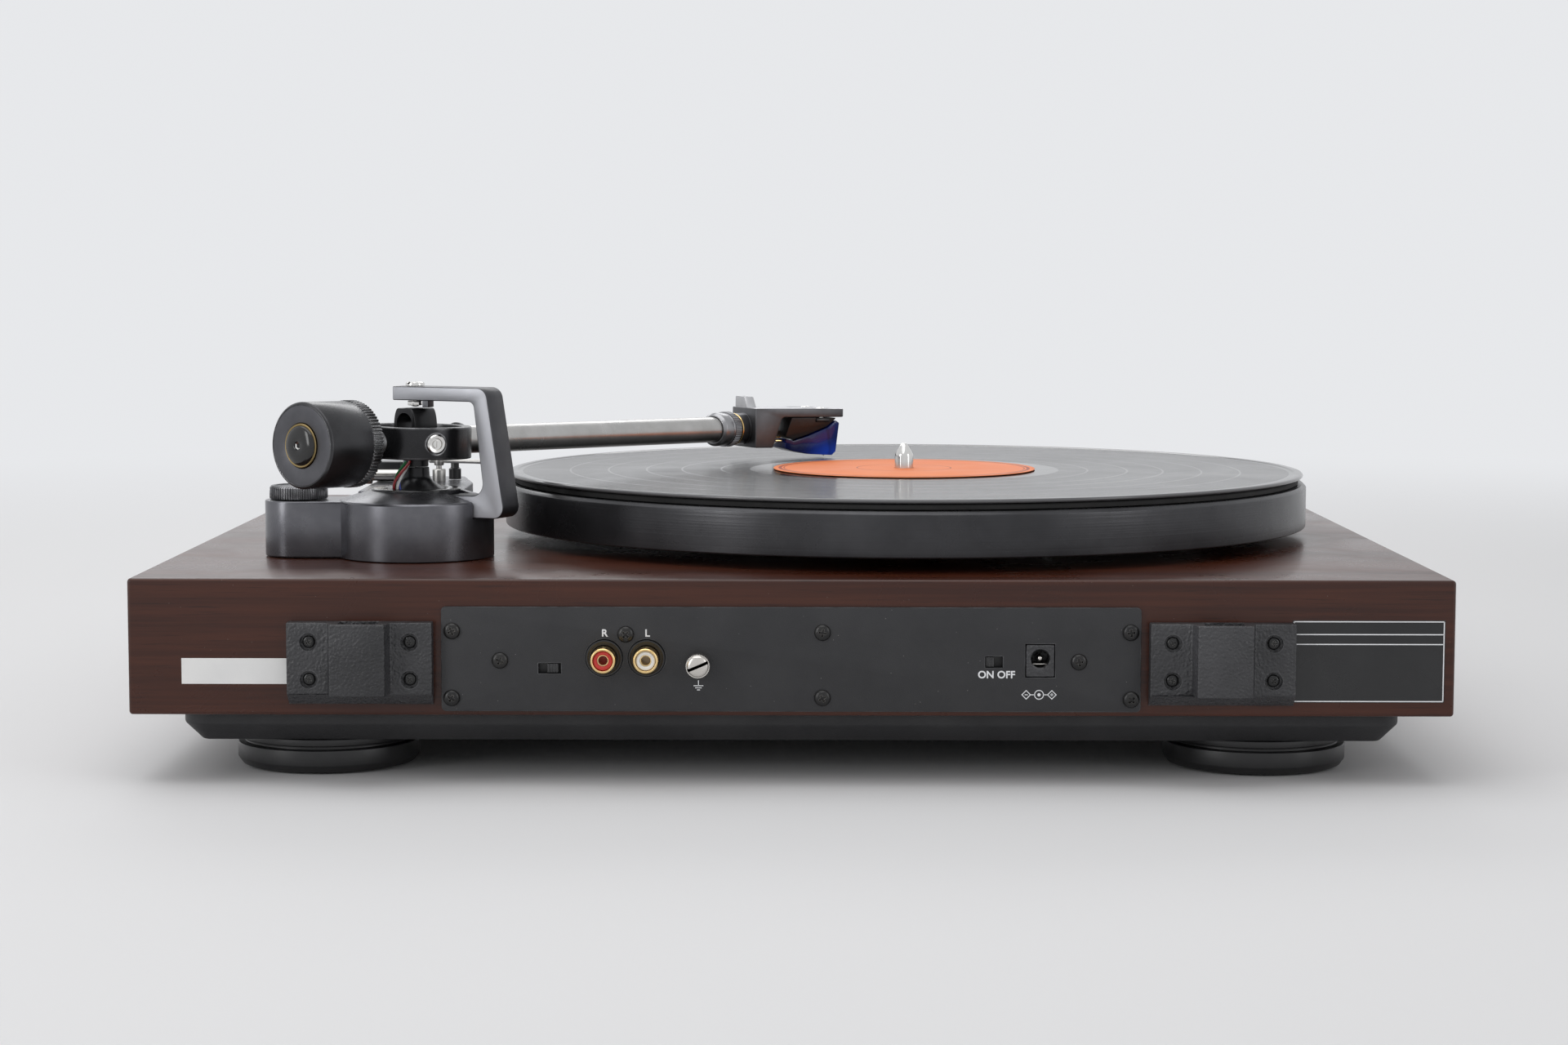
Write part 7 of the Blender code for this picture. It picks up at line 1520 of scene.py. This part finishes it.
def makeCartridge():
    size = cartridgeSize
    base = shellSize["armHeight"]
    top = shellSize["under"] - gap - base
    bottom = size["bottom"] - base
    start = size["start"]
    end = start + size["length"]
    low = size["low"] - base
    line = [(start + reach, bottom + rise) for reach, rise in size["under"]]
    line.append((end, top - size["noseDrop"]))
    corners = [(start + size["lean"], top), (*line[0], 0.0008), *line[1:], (end, top)]
    body = plate(corners, size["width"], 5)
    splitAt(body, (0, (top + bottom) / 2, 0), (0, 1, 0))
    drawnIn(body, top, low, size["width"], size["foot"])
    roundEdges(body, 0.0004, 3, 35)
    ear = roundEdges(block((0.0060, 0.0018, 0.0175), (0.0326, top - 0.0009, 0)), 0.0005, 3)
    body = placed(gathered(body, ear), headAxis @ turnX(90))
    newPiece("cartridgeShell", body, make("black", suffix="Cartridge"), "arm_tilt",
             ("cartridge_body",))
    tip = end + size["overhang"]
    unit = [(reach + 0.0003, height - 0.0006) for reach, height in reversed(line)]
    unit += [(start + reach, low + rise) for reach, rise in size["unitUnder"]]
    unit += [(tip - size["toe"], low, 0.0004), (tip, low + size["toe"], 0.0004),
             (tip, low + size["noseRise"], 0.0006)]
    unit = plate(unit, size["width"], 5)
    drawnIn(unit, top, low, size["width"], size["foot"])
    roundEdges(unit, 0.0003, 2, 35)
    newPiece("stylusGrip", placed(unit, headAxis @ turnX(90)), resinLook(), "arm_tilt",
             ("stylus_unit",))
    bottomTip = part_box("stylus_unit")[0].z - (deck + base)
    reach = size["stylus"]
    ends = [(reach - 0.0028, 0, low + 0.0008), (reach - 0.0002, 0, bottomTip + 0.0007)]
    cantilever = rod(ends, 0.00022, 4)
    diamond = placed(drum(0.00005, 0.0009, 20, bottomTip, 0.00022), move(reach, 0, 0))
    newPiece("stylusTip", placed(gathered(cantilever, diamond), headAxis),
             make("polished", suffix="Stylus"), "arm_tilt")
    pins = []
    shape = leadShape
    slope = size["lean"] / (top - line[0][1])
    for name, (across, height, colour) in leads.items():
        lift = height - base
        face = start + (lift - line[0][1]) * slope
        pin = drum(shape["pin"], shape["pinLength"], 20, -0.0004)
        pins.append(placed(pin, headAxis @ move(face, across, lift) @ turnY(-90)))
        first = face - shape["pinProud"]
        path = []
        for step in range(shape["steps"] + 1):
            share = step / shape["steps"]
            sag = math.sin(math.pi * share) * shape["sag"]
            path.append((first + (shape["end"] - first) * share, across * (1 - shape["draw"] * share),
                         lift - shape["fall"] * share - sag))
        lead = placed(rod(path, shape["radius"], 4), headAxis)
        newPiece(name, lead, wireLook(name, colour, 1.25),
                 "arm_tilt")
    newPiece("cartridgePins", gathered(*pins), make("gold", suffix="Pins"), "arm_tilt")


makeGimbal()
makeTube()
makeHeadshell()
makeCartridge()
print("tonearm made")

# Counterweight

weightSize = {"radius": 0.01475, "length": 0.0245, "ring": 0.0150, "ringWidth": 0.0045, "bore": 0.0078,
              "bush": 0.0075, "dome": 0.0020, "cap": 0.0069, "ridges": 74, "ridgeDepth": 0.00045,
              "crown": 0.0004}


def makeWeight():
    size = weightSize
    long = size["length"]
    start = size["ringWidth"] + gap
    inner = size["bore"]
    outer = size["radius"]
    side = [(inner, start), (outer, start), (outer, long - 0.0007), (outer - 0.0007, long),
            (outer - 0.0011, long), (outer - 0.0011, long - 0.00025), (inner, long - 0.00025)]
    body = roundEdges(spun(side, 144), 0.00015, 2)
    newPiece("blackWeight", placed(body, weightLine), make("weight", weightLine.translation, weightAngles),
             "turning_weight", ("counterweight",))
    face = [(inner, long - 0.0003), (outer - 0.00115, long - 0.0003), (outer - 0.00115, long - 0.00005),
            (outer - 0.0013, long), (inner + 0.0002, long), (inner, long - 0.0001)]
    newPiece("weightFace", placed(spun(face, 144), weightLine),
             make("weightEnd", weightLine.translation, weightAngles), "turning_weight")
    ring = knurled(size["ring"], size["ringWidth"], size["ridges"], size["ridgeDepth"], size["crown"])
    ring = carved(ring, [drum(inner, 0.010, 64, -0.002)])
    newPiece("knurledForceRing", placed(ring, weightLine),
             make("forceRing", weightLine.translation, weightAngles), "turning_force_ring",
             ("force_ring",))
    bush = size["bush"]
    cap = size["cap"]
    crest = long + size["dome"]
    dome = [(0, crest - 0.0012), (0.0014, crest - 0.0012), (0.0014, crest - 0.0001), (0.0016, crest)]
    for step in range(1, 15):
        angle = math.radians(90 * step / 14)
        dome.append((0.0026 + (cap - 0.0026) * math.sin(angle),
                     crest - size["dome"] * 1.15 * (1 - math.cos(angle) ** 0.7)))
    dome += [(bush, long - 0.0004), (bush, 0), (0.0053, 0), (0.0053, 0.0240), (0, 0.0240)]
    newPiece("domedBush", placed(spun(dome, 96), weightLine),
             make("glossBlack", weightLine.translation, weightAngles), "weight_carriage",
             ("counterweight_bush",), 40)
    trim = [(0.0066, long - 0.0003), (0.0075, long - 0.0003), (0.0075, long + 0.0003),
            (0.0073, long + 0.0005), (0.0066, long + 0.0004)]
    newPiece("brassTrim", placed(spun(trim, 96), weightLine), make("brass"),
             "weight_carriage")
    key = spun([(0.0009, long + 0.0009), (0.00135, long + 0.0009), (0.00135, long + 0.0016),
                (0.0009, long + 0.0013)], 6)
    newPiece("capKeyway", placed(key, weightLine), make("polished", suffix="Key"), "weight_carriage")


makeWeight()

# Cueing lift, arm rest, dial and knob

liftSize = {"rod": 0.0010, "rodLow": 0.0236, "hub": 0.0018, "barTop": 0.0315, "bar": 0.0008,
            "reach": 0.0431, "sweep": 42, "boxX": 0.0100, "boxY": -0.0455, "boxWidth": 0.0100,
            "boxLength": 0.0090, "boxHeight": 0.0072}


def makeLift():
    size = liftSize
    height = size["barTop"] - size["bar"]
    path = []
    for step in range(37):
        angle = math.radians(size["sweep"] * step / 36)
        path.append((-size["reach"] * math.sin(angle), -size["reach"] * math.cos(angle), height))
    bar = rod(path, size["bar"], 6)
    ends = []
    for point in (path[0], path[-1]):
        cap = bmesh.new()
        bmesh.ops.create_uvsphere(cap, u_segments=20, v_segments=12, radius=size["bar"])
        ends.append(placed(cap, move(*point)))
    low = size["rodLow"]
    wide = size["hub"]
    shaft = placed(drum(size["rod"], height - low, 28, low), move(*guide))
    hub = spun([(0, height - 0.0016), (wide - 0.0002, height - 0.0016), (wide, height - 0.0012),
                (wide, height + 0.0003), (wide - 0.0004, height + 0.0007), (0, height + 0.0007)], 36)
    placed(hub, move(*guide))
    whole = placed(gathered(bar, shaft, hub, *ends), atPivot)
    newPiece("liftBar", whole, make("satin", suffix="LiftBar"), "lift", ("lift_bar",))
    box = block((size["boxWidth"], size["boxLength"], size["boxHeight"]))
    upright = [edge for edge in box.edges if abs(edge.verts[0].co.z - edge.verts[1].co.z) > 0.001]
    bevelEdges(box, upright, 0.0016, 6)
    roundEdges(box, 0.0005, 3, 45)
    place = (size["boxX"] + size["boxWidth"] / 2, size["boxY"],
             baseSize["wingTop"] + gap + size["boxHeight"] / 2)
    newPiece("liftHousing", placed(box, atPivot @ move(*place)),
             make("black", suffix="Lift"), "chassis", ("lift_housing",))


leverSize = {"axis": (0.142, 0.0549, 0.0943), "shaft": 0.0021, "shaftLength": 0.0108, "hub": 0.0033,
             "hubLength": 0.0036, "arm": 0.0290, "armRadius": 0.0013, "knob": 0.0021}


def makeLever():
    size = leverSize
    axis = Matrix.Translation(size["axis"])
    long = size["shaftLength"]
    middle = long + size["hubLength"] / 2
    shaft = placed(drum(size["shaft"], middle, 40), turnY(90))
    hub = roundEdges(drum(size["hub"], size["hubLength"], 56), 0.0004, 3, 40)
    hub = placed(hub, move(long, 0, 0) @ turnY(90))
    arm = rod([(middle, 0, 0), (middle, -size["arm"] - 0.0002, 0)], size["armRadius"], 6)
    newPiece("cueLever", placed(gathered(shaft, hub, arm), axis), make("nickel", suffix="Lever"),
             "lever", ("cue_lever",))
    radius = size["knob"]
    grip = [(0, 0), (radius - 0.0005, 0), (radius - 0.0001, 0.0005), (radius - 0.00015, 0.0060),
            (radius, 0.0075), (radius - 0.0003, 0.0082), (radius - 0.0009, 0.0085), (0, 0.0085)]
    knob = placed(spun(grip, 40), move(middle, -size["arm"], 0) @ turnX(90))
    newPiece("leverGrip", placed(knob, axis), make("black", suffix="Grip"), "lever",
             smooth=45)


restSize = {"place": (-0.007585, -0.05397, 0), "centre": 0.03942, "hollow": 0.0053, "outer": 0.0077,
            "width": 0.0050, "post": 0.0015, "foot": 0.00225, "low": 0.0233}


def makeArmRest():
    at = atPivot @ move(*restSize["place"])
    centre = restSize["centre"]
    hollow = restSize["hollow"]
    outer = restSize["outer"]
    saddle = centre - hollow
    neck = saddle - 0.0011
    thin = restSize["post"]
    foot = restSize["foot"]
    low = restSize["low"]
    post = [(0, neck), (thin, neck), (thin, 0.0278), (thin + 0.0002, 0.0274), (foot, 0.0271), (foot, low),
            (0, low)]
    outline = [(-0.0050, saddle - 0.0022, 0.0006), (-0.0050, saddle - 0.0004)]
    for step in range(17):
        angle = math.radians(-90 + 90 * step / 16)
        outline.append((hollow * math.cos(angle), centre + hollow * math.sin(angle)))
    outline += [(hollow, centre + 0.0030), (outer, centre + 0.0030, 0.0008),
                (outer, centre - hollow / 2, 0.0020), (hollow / 2, saddle - 0.0022, 0.0012)]
    cradle = roundEdges(plate(outline, restSize["width"], 6), 0.0003, 2, 45)
    cradle = placed(cradle, turnZ(-8) @ turnX(90))
    whole = placed(gathered(spun(post, 48), cradle), at)
    newPiece("armRest", whole, make("black", suffix="Rest"), "chassis", ("arm_rest",))


dialSize = {"place": (0.1735, 0.0925), "low": 0.0888, "height": 0.0047, "radius": 0.01015, "ridges": 66,
            "ridgeDepth": 0.00035, "crown": 0.0003, "dish": 0.0085, "floor": 0.0042, "marks": 8,
            "markTurn": 35, "digit": 0.0013, "digitAt": 0.0052, "tickAt": 0.0072}


def makeDial():
    size = dialSize
    x, y = size["place"]
    dish = size["dish"]
    floor = size["floor"]
    body = knurled(size["radius"], size["height"] - 0.0004, size["ridges"], size["ridgeDepth"], size["crown"])
    hollow = spun([(0, floor), (dish - 0.0003, floor), (dish, 0.0050), (0, 0.0050)], 96)
    stem = drum(0.0030, 0.0075, 32, -0.0060)
    rim = spun([(dish, 0.0040), (0.0097, 0.0040), (0.0097, 0.0044), (0.0094, 0.0047), (0.0088, 0.0047),
                (dish, 0.0044)], 112)
    body = gathered(carved(body, [hollow]), rim, stem)
    look = make("dialMetal", (x, y, size["low"]))
    newPiece("skateDial", placed(body, move(x, y, size["low"])), look, "skate_dial",
             ("anti_skate_dial",))
    ticks = []
    numbers = []
    for step in range(size["marks"]):
        turned = turnZ(step * size["markTurn"])
        ticks.append(placed(block((0.0013, 0.00022, 0.00006), (size["tickAt"], 0, floor + 0.00001)), turned))
        digit = placed(lettering(str(step), size["digit"], 0.00004), move(0, -0.0006, floor - 0.00001))
        numbers.append(placed(digit, turned @ move(size["digitAt"], 0, 0) @ turnZ(-90)))
    newPiece("dialMarks", placed(gathered(*ticks, *numbers), move(x, y, size["low"])),
             make("paintedWhite", suffix="Dial"), "skate_dial")


knobSize = {"mark": (0.0012, 0.0072, 0.0003), "markAt": (0, 0.0068, 0.0133)}


def makeKnob():
    size = knobSize
    x, y = knobPlace
    profile = [(0, 0.0133), (0.0108, 0.0133), (0.0111, 0.0135), (0.0117, 0.0135), (0.0123, 0.0132),
               (0.0125, 0.0127), (0.0135, 0.0010), (0.0133, 0.0005), (0.0131, gap), (0.0030, gap),
               (0.0030, -0.0140), (0, -0.0140)]
    knob = spun(profile, 112)
    newPiece("speedKnob", placed(knob, move(x, y, deck)), make("anodised", (x, y, deck), suffix="Knob"),
             "knob", ("speed_knob",), 40)
    mark = roundEdges(block(size["mark"], size["markAt"]), 0.0001, 2)
    newPiece("knobMark", placed(mark, move(x, y, deck)), make("paintedWhite", suffix="Knob"), "knob")


makeLift()
makeLever()
makeArmRest()
makeDial()
makeKnob()
print("counterweight and small parts made")

# Signal wires between the base and the gimbal block

wireSize = {"radius": 0.00048, "spread": 0.0010, "bow": 0.0012, "low": (0.0052, 0.0092, 0.0236),
            "high": (0.0022, 0.0050, 0.0338), "steps": 24, "twist": 150}
wireColours = {"redWire": (0.30, 0.02, 0.025), "whiteWire": (0.62, 0.62, 0.62),
               "blueWire": (0.02, 0.04, 0.30), "greenWire": (0.02, 0.16, 0.05)}


def makeWires():
    # four twisted wires, blended between the base and the arm
    size = wireSize
    low = Vector(size["low"])
    high = Vector(size["high"])
    for index, (name, colour) in enumerate(wireColours.items()):
        path = []
        for step in range(size["steps"] + 1):
            share = step / size["steps"]
            ease = share ** 2 * (3 - 2 * share)
            bow = size["bow"] * math.sin(math.pi * share)
            angle = math.radians(90 * index + size["twist"] * share)
            x = low.x + (high.x - low.x) * ease + bow + size["spread"] * math.cos(angle)
            y = low.y + (high.y - low.y) * ease + bow + size["spread"] * math.sin(angle)
            path.append(Vector((x, y, low.z + (high.z - low.z) * share)) + pivot)
        mesh = rod(path, size["radius"], 4)
        data = meshFrom(mesh, name)
        data.materials.append(wireLook(name, colour, 1.3))
        data.shade_smooth()
        wire = linked(name, data)
        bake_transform(wire)
        if index == 0:
            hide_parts("signal_wires")
    hole = spun([(0.0013, 0.0234), (0.0021, 0.0234), (0.0022, 0.0240), (0.0018, 0.0243), (0.0013, 0.0240)],
                40)
    newPiece("wireGrommet", placed(hole, atPivot @ move(low.x, low.y, 0)),
             make("rubber", suffix="Grommet"), "chassis")


makeWires()
print("wires made")

# Studio

# each lamp: name, place, the point it faces, width, height, power
studio = {"floor": (0.74, 0.74, 0.75), "floorRadius": 7.0, "fade": (0.55, 1.6),
          "sky": (0.80, 0.81, 0.83), "skyLight": 0.50,
          "lamps": (("overhead", (0.25, 0.15, 1.45), (0, 0, 0.05), 1.7, 1.1, 9.0),
                    ("leftStrip", (1.45, 1.15, 0.75), (0.1, 0.05, 0.08), 0.45, 1.3, 8.0),
                    ("rightStrip", (-1.55, 1.0, 0.70), (-0.1, 0.05, 0.06), 0.45, 1.2, 4.0),
                    ("backRim", (0.3, -1.5, 0.95), (0, 0, 0.08), 1.6, 0.4, 5.0))}


def makeStudio():
    bm = bmesh.new()
    bmesh.ops.create_circle(bm, cap_ends=True, segments=96, radius=studio["floorRadius"])
    mesh = meshFrom(bm, "studioFloor")
    floor = linked("studioFloor", mesh)
    look, tree, at = newLook("paleFloor")
    shader = tree.nodes["Principled BSDF"]
    shade = mixColour(tree, noise(tree, at, 1.3, detail=3.0), studio["floor"],
                      tuple(part * 0.97 for part in studio["floor"]))
    feed(tree, shader.inputs["Base Color"], shade)
    feed(tree, shader.inputs["Roughness"], 0.75)
    far = addNode(tree, "VectorMath", {0: at}, operation="LENGTH").outputs["Value"]
    fade = ranged(tree, far, *studio["fade"], interpolation_type="SMOOTHSTEP")
    glow = addNode(tree, "Emission", {"Color": (*studio["sky"], 1)})
    joined = addNode(tree, "MixShader", {0: fade, 1: shader.outputs[0], 2: glow.outputs[0]})
    feed(tree, tree.nodes["Material Output"].inputs["Surface"], joined.outputs[0])
    mesh.materials.append(look)
    world = bpy.data.worlds.new("studioWorld")
    bpy.context.scene.world = world
    world.use_nodes = True
    sky = world.node_tree
    sky.nodes.clear()
    seen = addNode(sky, "Background", {"Color": (*studio["sky"], 1), "Strength": 1.0})
    lit = addNode(sky, "Background", {"Color": (1, 1, 1, 1), "Strength": studio["skyLight"]})
    ray = addNode(sky, "LightPath").outputs
    direct = maths(sky, "MAXIMUM", ray["Is Camera Ray"], ray["Is Glossy Ray"])
    direct = maths(sky, "MAXIMUM", direct, ray["Is Transmission Ray"])
    blend = addNode(sky, "MixShader", {0: direct, 1: lit.outputs[0], 2: seen.outputs[0]})
    addNode(sky, "OutputWorld", {"Surface": blend.outputs[0]})
    for name, place, aim, wide, tall, power in studio["lamps"]:
        lamp = bpy.data.lights.new(name, "AREA")
        lamp.shape = "RECTANGLE"
        lamp.size = wide
        lamp.size_y = tall
        lamp.energy = power
        made = linked(name, lamp)
        made.location = place
        made.rotation_euler = (Vector(aim) - Vector(place)).to_track_quat("-Z", "Y").to_euler()


# fitted to the photograph
cameraSize = {"place": (-0.0009, 1.1415, 0.1730), "ahead": (0.00335, -0.99613, -0.08786),
              "right": (-0.99999, -0.00348, 0.00140), "lens": 68.65, "sensor": 36}


def makeCamera():
    lens = bpy.data.cameras.new("photoCamera")
    lens.lens = cameraSize["lens"]
    lens.sensor_width = cameraSize["sensor"]
    lens.clip_start = 0.01
    lens.clip_end = 50
    camera = linked("photoCamera", lens)
    ahead = Vector(cameraSize["ahead"]).normalized()
    up = Vector(cameraSize["right"]).cross(ahead).normalized()
    right = ahead.cross(up)
    turned = Matrix((right, up, -ahead)).transposed().to_4x4()
    camera.matrix_world = Matrix.Translation(cameraSize["place"]) @ turned
    bpy.context.scene.camera = camera


makeStudio()
makeCamera()
bpy.context.scene.view_settings.view_transform = "Standard"
print("studio and camera set")
